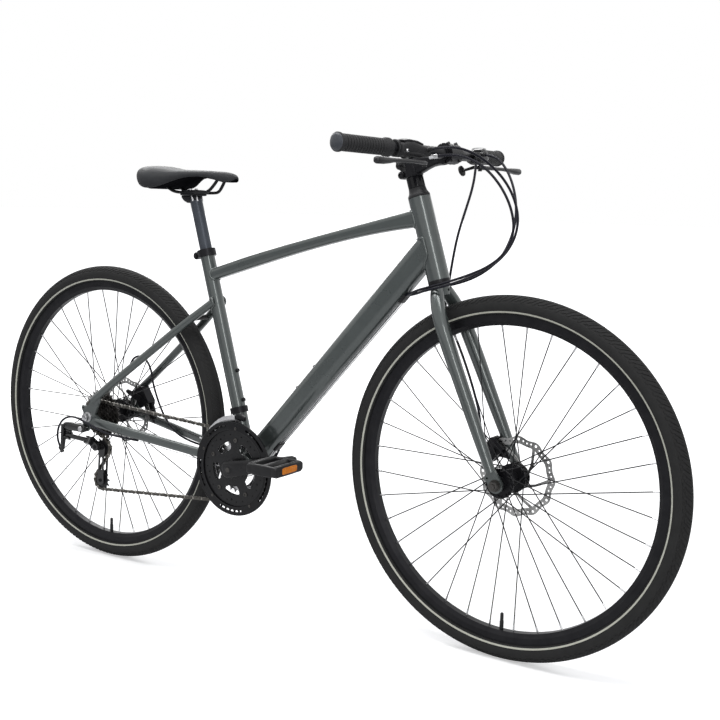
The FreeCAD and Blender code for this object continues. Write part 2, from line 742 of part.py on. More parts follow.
def chainstay_solid(side, wall):
    """Chainstay's outer shape, or the shape so far inside it."""
    whole = stay_length()
    stations = [(CHAINSTAY_START, CHAINSTAY_START_SPREAD), (CHAINSTAY_KNEE, CHAINSTAY_KNEE_SPREAD),
                (CHAINSTAY_WAIST, CHAINSTAY_WAIST_SPREAD),
                (whole - ROTOR_ROOM, dropout_middle - ROTOR_ROOM_INSET),
                (whole - CHAINSTAY_END, dropout_middle)]
    points = [chainstay_place(reach, spread, side) for reach, spread in stations]
    way = unit(points[1] - points[0])
    tall = unit(LEFT - way * way.dot(LEFT)).cross(way)
    wide = way.cross(tall)
    profile = rounded(points[0], wide, tall, CHAINSTAY_WIDTH - 2 * wall, CHAINSTAY_HEIGHT - 2 * wall,
                      CHAINSTAY_CORNER - wall)
    return swept(points, profile)


def chainstay(side):
    stay = chainstay_solid(side, 0).cut(chainstay_solid(side, STAY_WALL))
    stay = stay.cut(shell_solid()).cut(dropout(side))
    return max(stay.Solids, key=lambda solid: solid.Volume)


seatstay_top = bracket_at + seat_axis * SEATSTAY_REACH
seatstay_low = rear_axle_at + V(0, 0, SEATSTAY_END_RISE)


def seatstay_place(distance, spread, side):
    """Point on a seatstay, so far below the seat tube."""
    way = unit(seatstay_low - seatstay_top)
    return across(seatstay_top + way * distance, side * spread)


def seatstay_solid(side, wall):
    """Seatstay's outer shape, or the shape so far inside it."""
    whole = (seatstay_low - seatstay_top).Length
    stations = [(0, SEATSTAY_START_SPREAD), (SEATSTAY_KNEE, SEATSTAY_KNEE_SPREAD),
                (whole - ROTOR_ROOM, dropout_middle - ROTOR_ROOM_INSET),
                (whole - DROPOUT_RADIUS, dropout_middle)]
    points = [seatstay_place(reach, spread, side) for reach, spread in stations]
    return swept(points, ring_wire(points[0], points[1] - points[0], SEATSTAY_DIAMETER / 2 - wall))


def seatstay(side):
    stay = seatstay_solid(side, 0).cut(seatstay_solid(side, STAY_WALL))
    stay = stay.cut(seat_solid()).cut(dropout(side))
    return max(stay.Solids, key=lambda solid: solid.Volume)


eyelet_at = rear_axle_at + V(-EYELET_BACK, 0, EYELET_RISE)


def dropout(side):
    """Plate at the end of the stays that holds the axle, with an eyelet for a rack."""
    depth = LEFT * (side * DROPOUT_THICKNESS)

    def at(point):
        return across(point, side * dropout_inner)

    whole = stay_length()
    stay_tip = chainstay_place(whole - DROPOUT_FORWARD, 0, side)
    upper_tip = seatstay_place((seatstay_low - seatstay_top).Length - DROPOUT_FORWARD, 0, side)
    plates = [plate(at(rear_axle_at), DROPOUT_RADIUS, at(stay_tip), DROPOUT_ARM_RADIUS, depth),
              plate(at(rear_axle_at), DROPOUT_RADIUS, at(upper_tip), DROPOUT_ARM_RADIUS, depth),
              plate(at(rear_axle_at), DROPOUT_ARM_RADIUS, at(eyelet_at), EYELET_RADIUS, depth)]
    if side == RIGHT_SIDE:
        plates.append(plate(at(rear_axle_at), DROPOUT_RADIUS, at(hanger_at), HANGER_RADIUS, depth))
    body = union(plates)
    reach = LEFT * (side * OVERRUN)
    holes = [(rear_axle_at, AXLE_RADIUS + RUNNING_FIT), (eyelet_at, EYELET_HOLE_RADIUS)]
    if side == RIGHT_SIDE:
        holes.append((hanger_at, HANGER_BOLT_RADIUS))
    for point, radius in holes:
        body = body.cut(rod(at(point) - reach, at(point) + depth + reach, radius))
    return body


def bridges():
    """Short tubes between the stays, above and in front of the tyre."""
    upper = [seatstay_place(SEATSTAY_BRIDGE_REACH, side * SEATSTAY_KNEE_SPREAD, 1) for side in (-1, 1)]
    lower = [chainstay_place(CHAINSTAY_BRIDGE_REACH, side * CHAINSTAY_KNEE_SPREAD, 1) for side in (-1, 1)]
    solids = []
    for (right, left), stay in ((upper, seatstay_solid), (lower, chainstay_solid)):
        bar = rod(right, left, BRIDGE_RADIUS)
        for side in (RIGHT_SIDE, LEFT_SIDE):
            bar = bar.cut(stay(side, 0))
        solids.append(max(bar.Solids, key=lambda solid: solid.Volume))
    return solids


# Frame fittings

def bolt(seat, out, shank_length, shank_radius, head_radius, head_height):
    """Bolt with its head outside a surface and its shank inside."""
    shank = rod(seat - out * shank_length, seat, shank_radius)
    return shank.fuse(rod(seat, seat + out * head_height, head_radius))


def bottle_row(reach, axis, out, surface):
    bolts = []
    for place in (reach, reach + BOTTLE_SPACING):
        seat = bracket_at + axis * place + out * surface(place)
        bolts.append(bolt(seat, out, FRAME_WALL * 2, BOTTLE_BOLT_RADIUS, BOTTLE_HEAD_RADIUS,
                          BOTTLE_HEAD_HEIGHT))
    return bolts


def seat_bottle_bolts():
    out = seat_axis.cross(LEFT) * -1
    return bottle_row(SEAT_BOTTLE_REACH, seat_axis, out, lambda place: SEAT_TUBE_DIAMETER / 2)


def down_bottle_bolts():
    return bottle_row(DOWN_BOTTLE_REACH, down_axis, down_under * -1, lambda place: down_tube_depth(place) / 2)


def down_tube_guide(place):
    """Block under the down tube that holds the ends of three cable housings."""
    seat = bracket_at + down_axis * place + down_under * (down_tube_depth(place) / 2)
    guide = plate(seat + LEFT * (GUIDE_WIDTH / 2 - GUIDE_HEIGHT / 2), GUIDE_HEIGHT / 2,
                  seat - LEFT * (GUIDE_WIDTH / 2 - GUIDE_HEIGHT / 2), GUIDE_HEIGHT / 2,
                  down_axis * GUIDE_LENGTH)
    return guide.cut(down_solid())


def down_solid():
    """The down tube without its bore."""
    return Part.makeLoft([rounded(bracket_at, LEFT, down_under, DOWN_TUBE_WIDTH_AT_BRACKET,
                                  DOWN_TUBE_DEPTH_AT_BRACKET, DOWN_TUBE_CORNER),
                          rounded(down_tube_end, LEFT, down_under, DOWN_TUBE_WIDTH_AT_HEAD,
                                  DOWN_TUBE_DEPTH_AT_HEAD, DOWN_TUBE_CORNER)], True)


guide_places = (LOWER_GUIDE_REACH, (down_tube_end - bracket_at).Length - UPPER_GUIDE_REACH)
cable_lanes = (-GUIDE_WIDTH / 3, 0, GUIDE_WIDTH / 3)


def lane_place(place, lane):
    """Where a cable lane lies under the down tube."""
    drop = down_tube_depth(place) / 2 + GUIDE_HEIGHT / 4
    return bracket_at + down_axis * place + down_under * drop + LEFT * lane


def collar():
    """Clamp round the top of the seat tube, with its bolt behind."""
    base = seat_top - seat_axis * COLLAR_OVERLAP
    top = base + seat_axis * COLLAR_HEIGHT
    outer = SEAT_TUBE_DIAMETER / 2 + COLLAR_WALL
    back = seat_axis.cross(LEFT)
    middle = base + seat_axis * (COLLAR_HEIGHT / 2)
    ear_seat = middle + back * (outer + COLLAR_EAR_LENGTH / 2)
    half = LEFT * (COLLAR_EAR_WIDTH / 2)
    ears = plate(base + back * (outer - COLLAR_WALL) - half, COLLAR_WALL,
                 base + back * (outer - COLLAR_WALL) + half,
                 COLLAR_WALL, seat_axis * COLLAR_HEIGHT)
    lug = rod(ear_seat - half, ear_seat + half, COLLAR_HEIGHT / 2)
    band = union([rod(base, top, outer), ears, lug])
    reach = seat_axis * OVERRUN
    band = band.cut(rod(base - reach, seat_top, SEAT_TUBE_DIAMETER / 2))
    band = band.cut(rod(base - reach, top + reach, SEATPOST_RADIUS + BODY_GAP))
    bolt_half = LEFT * (COLLAR_BOLT_LENGTH / 2)
    pin = rod(ear_seat - bolt_half, ear_seat + bolt_half, COLLAR_BOLT_RADIUS)
    head = rod(ear_seat - bolt_half, ear_seat - half, COLLAR_BOLT_HEAD_RADIUS)
    return band.cut(pin), pin.fuse(head.cut(band))


def bearings():
    """Headset rings in the head tube and cups in the bottom bracket shell."""
    bore = STEERER_RADIUS + RUNNING_FIT
    outer = HEAD_TUBE_DIAMETER / 2 - HEAD_TUBE_WALL
    drop = head_axis * HEADSET_RING_HEIGHT
    depth = head_axis * CUP_DEPTH
    lower = sleeve(head_bottom, head_bottom + depth, outer, bore)
    lower = lower.fuse(sleeve(head_bottom - drop, head_bottom, HEAD_TUBE_DIAMETER / 2, bore))
    upper = sleeve(head_top - depth, head_top, outer, bore)
    solids = [lower, upper]
    for side in (RIGHT_SIDE, LEFT_SIDE):
        face = bracket_at + LEFT * (side * BRACKET_SHELL_WIDTH / 2)
        way = LEFT * side
        cup = rod(face - way * CUP_DEPTH, face, BRACKET_SHELL_RADIUS - BRACKET_SHELL_WALL)
        cup = cup.fuse(rod(face, face + way * CUP_FLANGE, BRACKET_SHELL_RADIUS))
        solids.append(cup.cut(rod(face - way * (CUP_DEPTH + OVERRUN), face + way * (CUP_FLANGE + OVERRUN),
                                  SPINDLE_RADIUS + RUNNING_FIT)))
    return solids


# Fork, stem and handlebar

crown_top = head_bottom - head_axis * (HEADSET_RING_HEIGHT + BODY_GAP)
crown_at = crown_top - head_axis * LEG_START_DROP


def fork_leg_places(side):
    """Centres down one leg, from the crown to just above the axle."""
    way = unit(front_axle_at - crown_at)
    whole = (front_axle_at - crown_at).Length - LEG_END_GAP
    return [across(crown_at + way * (whole * share), side * LEG_SPREAD * spread)
            for share, spread in zip(LEG_LENGTH_SHARES, LEG_SPREAD_SHARES)]


fork_eyelet_at = front_axle_at + V(-FORK_EYELET_BACK, 0, FORK_EYELET_RISE)


def fork_leg(side, wall):
    """One leg's outer shape, or the shape so far inside it."""
    places = fork_leg_places(side)
    last = len(places) - 1
    ways = [unit(places[min(i + 1, last)] - places[max(i - 1, 0)]) for i in range(len(places))]
    rings = [ring_wire(place, way, LEG_TOP_RADIUS * share - wall)
             for place, way, share in zip(places, ways, LEG_RADIUS_SHARES)]
    return Part.makeLoft(rings, True)


def fork_crown():
    return cone(crown_top - head_axis * CROWN_HEIGHT, crown_top, LEG_TOP_RADIUS, CROWN_RADIUS)


def fork_tip(side):
    """Plate at the end of a leg that holds the axle, with an eyelet for a mudguard."""
    face = side * FRONT_HUB_WIDTH / 2
    depth = LEFT * (side * FORK_TIP_THICKNESS)
    reach = LEFT * (side * OVERRUN)
    axle_end, eyelet = across(front_axle_at, face), across(fork_eyelet_at, face)
    body = plate(axle_end, FORK_TIP_RADIUS, across(fork_leg_places(side)[-1], face), LEG_END_RADIUS, depth)
    body = body.fuse(plate(axle_end, FORK_TIP_RADIUS / 2, eyelet, EYELET_RADIUS, depth))
    body = body.cut(rod(axle_end - reach, axle_end + depth + reach, AXLE_RADIUS + RUNNING_FIT))
    body = body.cut(rod(eyelet - reach, eyelet + depth + reach, EYELET_HOLE_RADIUS))
    return body.cut(fork_leg(side, 0))


def fork():
    """Steerer with its crown, two legs and their tips."""
    top = stem_base + head_axis * STEM_CLAMP_HEIGHT
    steerer = fork_crown().fuse(rod(crown_top, top, STEERER_RADIUS))
    steerer = steerer.cut(rod(crown_top, top + head_axis * OVERRUN, STEERER_RADIUS - STEERER_WALL))
    reach = FORWARD * (CROWN_RADIUS * 2)
    hole = rod(crown_at - reach, crown_at + reach, CROWN_HOLE_RADIUS)
    solids = [steerer.cut(hole)]
    for side in (RIGHT_SIDE, LEFT_SIDE):
        leg = fork_leg(side, 0).cut(fork_leg(side, LEG_WALL)).cut(fork_crown()).cut(hole)
        solids.append(max(leg.Solids, key=lambda solid: solid.Volume))
        solids.append(fork_tip(side))
    return solids


def headset_spacers():
    """Tapered headset cover and the spacer under the stem."""
    bore = STEERER_RADIUS
    cover_low = head_top + head_axis * BODY_GAP
    cover_top = head_top + head_axis * HEADSET_COVER_HEIGHT
    cover = cone(cover_low, cover_top, HEAD_TUBE_DIAMETER / 2, HEADSET_COVER_TOP_RADIUS)
    cover = cover.cut(rod(cover_low, cover_top, bore))
    return cover, sleeve(cover_top, stem_base, SPACER_RADIUS, bore)


def stem_front(gap):
    """The part of a shape in front of the bar's middle plane."""
    size = STEM_LENGTH
    slab = Part.makeBox(size, size, size,
                        bar_at + stem_axis * gap - LEFT * (size / 2) - head_axis * (size / 2))
    slab.rotate(bar_at + stem_axis * gap - LEFT * (size / 2) - head_axis * (size / 2), LEFT, HEAD_ANGLE - 90)
    return slab


def bar_clamp_solid():
    half = LEFT * (STEM_BAR_CLAMP_WIDTH / 2)
    return rod(bar_at - half, bar_at + half, STEM_BAR_CLAMP_RADIUS)


def faceplate_bolt_places():
    return [bar_at + LEFT * (side * STEM_BOLT_SPREAD)
            + head_axis * (level * (BAR_CENTRE_RADIUS + STEM_BOLT_RADIUS))
            for side in (-1, 1) for level in (-1, 1)]


def stem_bolts():
    """Four faceplate bolts and two pinch bolts behind the steerer."""
    bolts = []
    for place in faceplate_bolt_places():
        seat = place + stem_axis * (STEM_BOLT_HEAD * 2)
        bolts.append(bolt(seat, stem_axis, STEM_BAR_CLAMP_RADIUS, STEM_BOLT_RADIUS, STEM_BOLT_HEAD_RADIUS,
                          STEM_BOLT_HEAD))
    for ear in stem_ears():
        seat = ear - LEFT * (STEM_EAR_WIDTH / 2)
        bolts.append(bolt(seat, LEFT * -1, STEM_EAR_WIDTH, STEM_BOLT_RADIUS, STEM_BOLT_HEAD_RADIUS,
                          STEM_BOLT_HEAD))
    return bolts


def stem_ears():
    back = stem_axis * -STEM_EAR_BACK
    level = head_axis * (STEM_CLAMP_HEIGHT / 2 - STEM_EAR_RADIUS)
    return [stem_middle + back + level, stem_middle + back - level]


def stem():
    """Clamp on the steerer, extension and the rear half of the bar clamp."""
    top = stem_base + head_axis * STEM_CLAMP_HEIGHT
    half = LEFT * (STEM_EAR_WIDTH / 2)
    shapes = [rod(stem_base, top, STEM_CLAMP_RADIUS), rod(stem_middle, bar_at, STEM_EXTENSION_RADIUS),
              bar_clamp_solid()]
    shapes += [rod(ear - half, ear + half, STEM_EAR_RADIUS) for ear in stem_ears()]
    body = union(shapes).cut(stem_front(-FACEPLATE_GAP / 2))
    reach = head_axis * OVERRUN
    body = body.cut(rod(stem_base - reach, top + reach, STEERER_RADIUS))
    body = body.cut(rod(bar_at - LEFT * STEM_LENGTH, bar_at + LEFT * STEM_LENGTH, BAR_CENTRE_RADIUS))
    for one in stem_bolts():
        body = body.cut(one)
    return max(body.Solids, key=lambda solid: solid.Volume)


def faceplate():
    """Front half of the bar clamp."""
    body = bar_clamp_solid().common(stem_front(FACEPLATE_GAP / 2))
    body = body.cut(rod(bar_at - LEFT * STEM_LENGTH, bar_at + LEFT * STEM_LENGTH, BAR_CENTRE_RADIUS))
    for one in stem_bolts():
        body = body.cut(one)
    return max(body.Solids, key=lambda solid: solid.Volume)


def bar_way(side):
    """Direction of the outer part of the handlebar."""
    sweep, lift = math.radians(BAR_SWEEP), math.radians(BAR_LIFT)
    return unit(V(-math.sin(sweep), side * math.cos(sweep), math.sin(lift)))


def bar_place(side, reach):
    """Point on the handlebar's middle line, so far out from the stem."""
    bend = bar_at + LEFT * (side * BAR_BEND_PLACE)
    way = bar_way(side)
    return bend + way * ((reach - BAR_BEND_PLACE) / abs(way.y))


def handlebar():
    points = [bar_place(RIGHT_SIDE, BAR_WIDTH / 2), bar_at - LEFT * BAR_BEND_PLACE,
              bar_at + LEFT * BAR_BEND_PLACE, bar_place(LEFT_SIDE, BAR_WIDTH / 2)]
    outer = bent_bar(points, [BAR_BEND_RADIUS] * 2, BAR_RADIUS)
    half = LEFT * (BAR_CENTRE_WIDTH / 2)
    outer = outer.fuse(rod(bar_at - half, bar_at + half, BAR_CENTRE_RADIUS))
    return outer.cut(bent_bar(points, [BAR_BEND_RADIUS] * 2, BAR_RADIUS - BAR_WALL))


def grip(side):
    """Ribbed rubber grip with a closed end."""
    end = bar_place(side, BAR_WIDTH / 2)
    way = bar_way(side)
    out = way.cross(UP)
    out = unit(out)
    bore = BAR_RADIUS
    profile = [(0, GRIP_END_CAP), (GRIP_FLANGE_RADIUS, GRIP_END_CAP),
               (GRIP_FLANGE_RADIUS, -GRIP_FLANGE_LENGTH)]
    pitch = (GRIP_LENGTH - GRIP_FLANGE_LENGTH * 2) / (GRIP_RIBS + 1)
    for rib in range(1, GRIP_RIBS + 1):
        place = -GRIP_FLANGE_LENGTH - pitch * rib
        profile += [(GRIP_RADIUS, place + GRIP_GROOVE_WIDTH / 2), (GRIP_RADIUS - GRIP_GROOVE, place),
                    (GRIP_RADIUS, place - GRIP_GROOVE_WIDTH / 2)]
    profile.insert(3, (GRIP_RADIUS, -GRIP_FLANGE_LENGTH))
    inner = -GRIP_LENGTH
    profile += [(GRIP_RADIUS, inner + GRIP_FLANGE_LENGTH), (GRIP_FLANGE_RADIUS, inner + GRIP_FLANGE_LENGTH),
                (GRIP_FLANGE_RADIUS, inner), (bore, inner), (bore, 0), (0, 0)]
    return turned(profile, end, way, out)


# Controls

pod_floor = bar_at.z - POD_BELOW
pod_outer = BAR_WIDTH / 2 - GRIP_LENGTH - POD_GRIP_ROOM
pod_inner = pod_outer - POD_LENGTH


def lever_pivot(side):
    place = bar_place(side, pod_inner + LEVER_PIVOT_INSET)
    return V(place.x + LEVER_PIVOT_FORWARD, place.y, pod_floor)


def shifter_pivot(side):
    place = bar_place(side, pod_inner + SHIFTER_PIVOT_INSET)
    return V(place.x - SHIFTER_PIVOT_BACK, place.y, pod_floor)


def control_pod(side):
    """Housing on the handlebar that carries the brake lever and the shifter."""
    near, far = bar_place(side, pod_inner), bar_place(side, pod_outer)
    wires = []
    for place in (near, far):
        middle = place + FORWARD * ((POD_FORWARD - POD_BACK) / 2)
        middle.z = bar_at.z + (POD_ABOVE - POD_BELOW) / 2
        wires.append(rounded(middle, FORWARD, UP, POD_FORWARD + POD_BACK, POD_ABOVE + POD_BELOW, POD_CORNER))
    body = Part.makeLoft(wires, True)
    drop = UP * LEVER_PIN_LENGTH
    shapes = [body]
    for pivot in (lever_pivot(side), shifter_pivot(side)):
        shapes.append(rod(pivot - drop, pivot + UP * OVERRUN, LEVER_PIN_RADIUS))
    for route in cable_starts(side):
        shapes.append(route)
    body = union(shapes)
    return body.cut(rod(bar_place(side, pod_inner - OVERRUN), bar_place(side, pod_outer + OVERRUN),
                        BAR_RADIUS))


def control_route(side, route):
    """Cable route whose first points move with the control that the cable starts from."""
    shift = bar_place(side, pod_inner) - bar_place(side, ROUTE_POD_PLACE)
    return [V(*place) + shift * max(0, 1 - number / ROUTE_EASE_POINTS) for number, place in enumerate(route)]


def cable_starts(side):
    """Barrel adjusters that the cable housings come out of."""
    right_routes, left_routes = (REAR_BRAKE_ROUTE, REAR_GEAR_ROUTE), (FRONT_BRAKE_ROUTE, FRONT_GEAR_ROUTE)
    barrels = []
    for route in right_routes if side == RIGHT_SIDE else left_routes:
        start, after = control_route(side, route)[:2]
        back = unit(start - after)
        barrels.append(rod(start, start + back * ADJUSTER_LENGTH, ADJUSTER_RADIUS))
    return barrels


def brake_lever(side):
    """Bent lever that hangs on a pin under the housing."""
    pivot = lever_pivot(side) - UP * (BODY_GAP + LEVER_THICKNESS)
    forward = bar_at.x + LEVER_REACH
    knee = V(forward, side * (pod_inner + LEVER_KNEE_INSET), pivot.z)
    tip = V(forward, side * (BAR_WIDTH / 2 - LEVER_TIP_ROOM), pivot.z)
    depth = UP * LEVER_THICKNESS
    body = union([plate(pivot, LEVER_ROOT_RADIUS, knee, LEVER_KNEE_RADIUS, depth),
                  plate(knee, LEVER_KNEE_RADIUS, tip, LEVER_TIP_RADIUS, depth)])
    reach = UP * OVERRUN
    return body.cut(rod(pivot - reach, pivot + depth + reach, LEVER_PIN_RADIUS + RUNNING_FIT))


def shift_lever(side):
    """Thumb paddle that hangs on a pin under the housing."""
    pivot = shifter_pivot(side) - UP * (BODY_GAP + SHIFTER_THICKNESS)
    paddle = bar_place(side, pod_inner + SHIFTER_PADDLE_INSET) - FORWARD * SHIFTER_PADDLE_BACK
    paddle.z = pivot.z
    depth = UP * SHIFTER_THICKNESS
    body = plate(pivot, SHIFTER_ROOT_RADIUS, paddle, SHIFTER_PADDLE_RADIUS, depth)
    reach = UP * OVERRUN
    return body.cut(rod(pivot - reach, pivot + depth + reach, LEVER_PIN_RADIUS + RUNNING_FIT))


# Wheels

def tyre(centre):
    """Tyre casing, open towards the rim."""
    middle = wheel_radius - TYRE_SECTION / 2
    outer, inner = TYRE_SECTION / 2, TYRE_SECTION / 2 - TYRE_WALL
    seat = RIM_WIDTH / 2 - RIM_WALL - BEAD_GAP
    toe = seat - TYRE_WALL
    lip = RIM_FLANGE_RADIUS + TYRE_LIP
    lip_half = math.sqrt(outer ** 2 - (middle - lip) ** 2)
    throat = middle - math.sqrt(inner ** 2 - toe ** 2)

    def at(radius, place):
        return centre + UP * radius + LEFT * place

    edges = [Part.LineSegment(at(BEAD_RADIUS, toe), at(BEAD_RADIUS, seat)),
             Part.LineSegment(at(BEAD_RADIUS, seat), at(lip, seat)),
             Part.LineSegment(at(lip, seat), at(lip, lip_half)),
             Part.Arc(at(lip, lip_half), at(wheel_radius, 0), at(lip, -lip_half)),
             Part.LineSegment(at(lip, -lip_half), at(lip, -seat)),
             Part.LineSegment(at(lip, -seat), at(BEAD_RADIUS, -seat)),
             Part.LineSegment(at(BEAD_RADIUS, -seat), at(BEAD_RADIUS, -toe)),
             Part.LineSegment(at(BEAD_RADIUS, -toe), at(throat, -toe)),
             Part.Arc(at(throat, -toe), at(middle + inner, 0), at(throat, toe)),
             Part.LineSegment(at(throat, toe), at(BEAD_RADIUS, toe))]
    face = Part.Face(Part.Wire([edge.toShape() for edge in edges]))
    return face.revolve(centre, LEFT, 360)


def inner_tube(centre):
    """Inner tube with its valve, which points at the hub from below."""
    middle = wheel_radius - TYRE_SECTION / 2
    radius = TYRE_SECTION / 2 - TYRE_WALL - TUBE_SLACK
    outer = Part.makeTorus(middle, radius, centre, LEFT)
    valve = rod(centre - UP * (RIM_INNER_RADIUS - VALVE_REACH), centre - UP * middle, VALVE_RADIUS)
    return outer.fuse(valve).cut(Part.makeTorus(middle, radius - TUBE_WALL, centre, LEFT))


def rim(centre):
    """Box rim with a hole for the valve."""
    half, floor = RIM_WIDTH / 2, RIM_FLOOR_WIDTH / 2
    shoulder = RIM_INNER_RADIUS + RIM_SIDE_RISE
    seat = half - RIM_WALL
    well = BEAD_RADIUS - RIM_WELL_DEPTH
    outline = [(RIM_INNER_RADIUS, floor), (shoulder, half), (RIM_FLANGE_RADIUS, half),
               (RIM_FLANGE_RADIUS, seat),
               (BEAD_RADIUS, seat), (well, floor)]
    outline += [(radius, -place) for radius, place in reversed(outline)]
    cavity = [(RIM_INNER_RADIUS + RIM_WALL, floor - RIM_WALL), (shoulder, seat - RIM_WALL),
              (well - RIM_WALL, floor - RIM_WALL)]
    cavity += [(radius, -place) for radius, place in reversed(cavity)]
    body = turned(outline, centre, LEFT, UP).cut(turned(cavity, centre, LEFT, UP))
    hole = rod(centre - UP * (RIM_INNER_RADIUS - VALVE_REACH), centre - UP * wheel_radius,
               VALVE_RADIUS + VALVE_HOLE_GAP)
    return body.cut(hole)


def spokes(centre, flange_right, flange_left):
    """Crossed spokes with their nipples."""
    per_side = SPOKES_PER_WHEEL // 2
    step = 360 / per_side
    solids = []
    for number in range(SPOKES_PER_WHEEL):
        side = RIGHT_SIDE if number % 2 == 0 else LEFT_SIDE
        pair = number // 2
        trailing = pair % 2
        rim_angle = number * 360 / SPOKES_PER_WHEEL + step / 4
        lead = SPOKE_CROSSES * step if trailing else -SPOKE_CROSSES * step
        flange = flange_left if side == LEFT_SIDE else flange_right
        face = flange + (SPOKE_OUTER_OFFSET if trailing else -SPOKE_INNER_OFFSET)
        hub_end = centre + slope(rim_angle + lead) * SPOKE_CIRCLE_RADIUS + LEFT * (side * face)
        rim_end = centre + slope(rim_angle) * (RIM_INNER_RADIUS - NIPPLE_GAP)
        way = unit(rim_end - hub_end)
        neck = rim_end - way * NIPPLE_LENGTH
        solids.append(rod(hub_end, neck, SPOKE_RADIUS))
        solids.append(rod(neck, rim_end, NIPPLE_RADIUS))
    return solids


def hub(centre, width, flange_right, flange_left, rotor_inset, boss_right):
    """Hub shell with two spoke flanges and a seat for the brake disc."""
    half = width / 2 - CONE_WIDTH - BODY_GAP
    rotor_face = width / 2 - rotor_inset - ROTOR_THICKNESS / 2

    def bar(first, last, radius):
        return rod(centre + LEFT * first, centre + LEFT * last, radius)

    thick = FLANGE_THICKNESS / 2
    flange_radius = SPOKE_CIRCLE_RADIUS + FLANGE_MARGIN
    shapes = [bar(-flange_right, flange_left, HUB_BODY_RADIUS),
              bar(-flange_right - thick, -flange_right + thick, flange_radius),
              bar(flange_left - thick, flange_left + thick, flange_radius),
              bar(flange_left, rotor_face, DISC_BOSS_RADIUS),
              bar(rotor_face, half, HUB_BODY_RADIUS),
              bar(-half, -flange_right, boss_right)]
    return union(shapes).cut(bar(-width, width, AXLE_RADIUS + RUNNING_FIT))


def rotor(centre, width, rotor_inset):
    """Brake disc: braking band with holes, arms and a bolted centre."""
    face = width / 2 - rotor_inset - ROTOR_THICKNESS / 2
    low, high = centre + LEFT * face, centre + LEFT * (face + ROTOR_THICKNESS)
    band = sleeve(low, high, ROTOR_RADIUS, ROTOR_RADIUS - ROTOR_BAND)
    carrier = rod(low, high, ROTOR_CARRIER_RADIUS)
    shapes = [band, carrier]
    for number in range(ROTOR_ARMS):
        turn = 360 * number / ROTOR_ARMS
        root = low + slope(turn) * (ROTOR_CARRIER_RADIUS - ROTOR_ARM_WIDTH)
        end = low + slope(turn + 180 / ROTOR_ARMS) * (ROTOR_RADIUS - ROTOR_BAND / 2)
        shapes.append(plate(root, ROTOR_ARM_WIDTH / 2, end, ROTOR_ARM_WIDTH / 2, high - low))
    body = union(shapes)
    holes = []
    for number in range(ROTOR_HOLES):
        level = ROTOR_BAND * (1 + number % 3) / 4
        place = slope(360 * number / ROTOR_HOLES) * (ROTOR_RADIUS - level)
        holes.append(rod(low + place - LEFT * OVERRUN, high + place + LEFT * OVERRUN, ROTOR_HOLE_RADIUS))
    holes.append(rod(low - LEFT * OVERRUN, high + LEFT * OVERRUN, HUB_BODY_RADIUS))
    return body.cut(Part.makeCompound(holes))


def axle(centre, width, plate_thickness):
    """Axle with its cones, washers and nuts."""
    solids = []
    inner = width / 2
    outer = inner + plate_thickness
    shapes = [rod(centre - LEFT * (inner + AXLE_STICKOUT), centre + LEFT * (inner + AXLE_STICKOUT),
                  AXLE_RADIUS)]
    for side in (RIGHT_SIDE, LEFT_SIDE):
        way = LEFT * side
        shapes.append(rod(centre + way * (inner - CONE_WIDTH), centre + way * inner, CONE_RADIUS))
        washer_top = outer + WASHER_THICKNESS
        solids.append(sleeve(centre + way * outer, centre + way * washer_top, WASHER_RADIUS, AXLE_RADIUS))
        nut = hexagon(centre + way * washer_top, way * NUT_THICKNESS, NUT_RADIUS)
        reach = way * OVERRUN
        nut = nut.cut(rod(centre + way * washer_top - reach,
                          centre + way * (washer_top + NUT_THICKNESS) + reach,
                          AXLE_RADIUS))
        solids.append(nut)
    return [union(shapes)] + solids


def hexagon(centre, depth, radius):
    """Six-sided block, as wide over its corners as two radii."""
    corners = [centre + slope(60 * number) * radius for number in range(6)]
    return Part.Face(Part.makePolygon(corners + corners[:1])).extrude(depth)


# Disc brake calipers

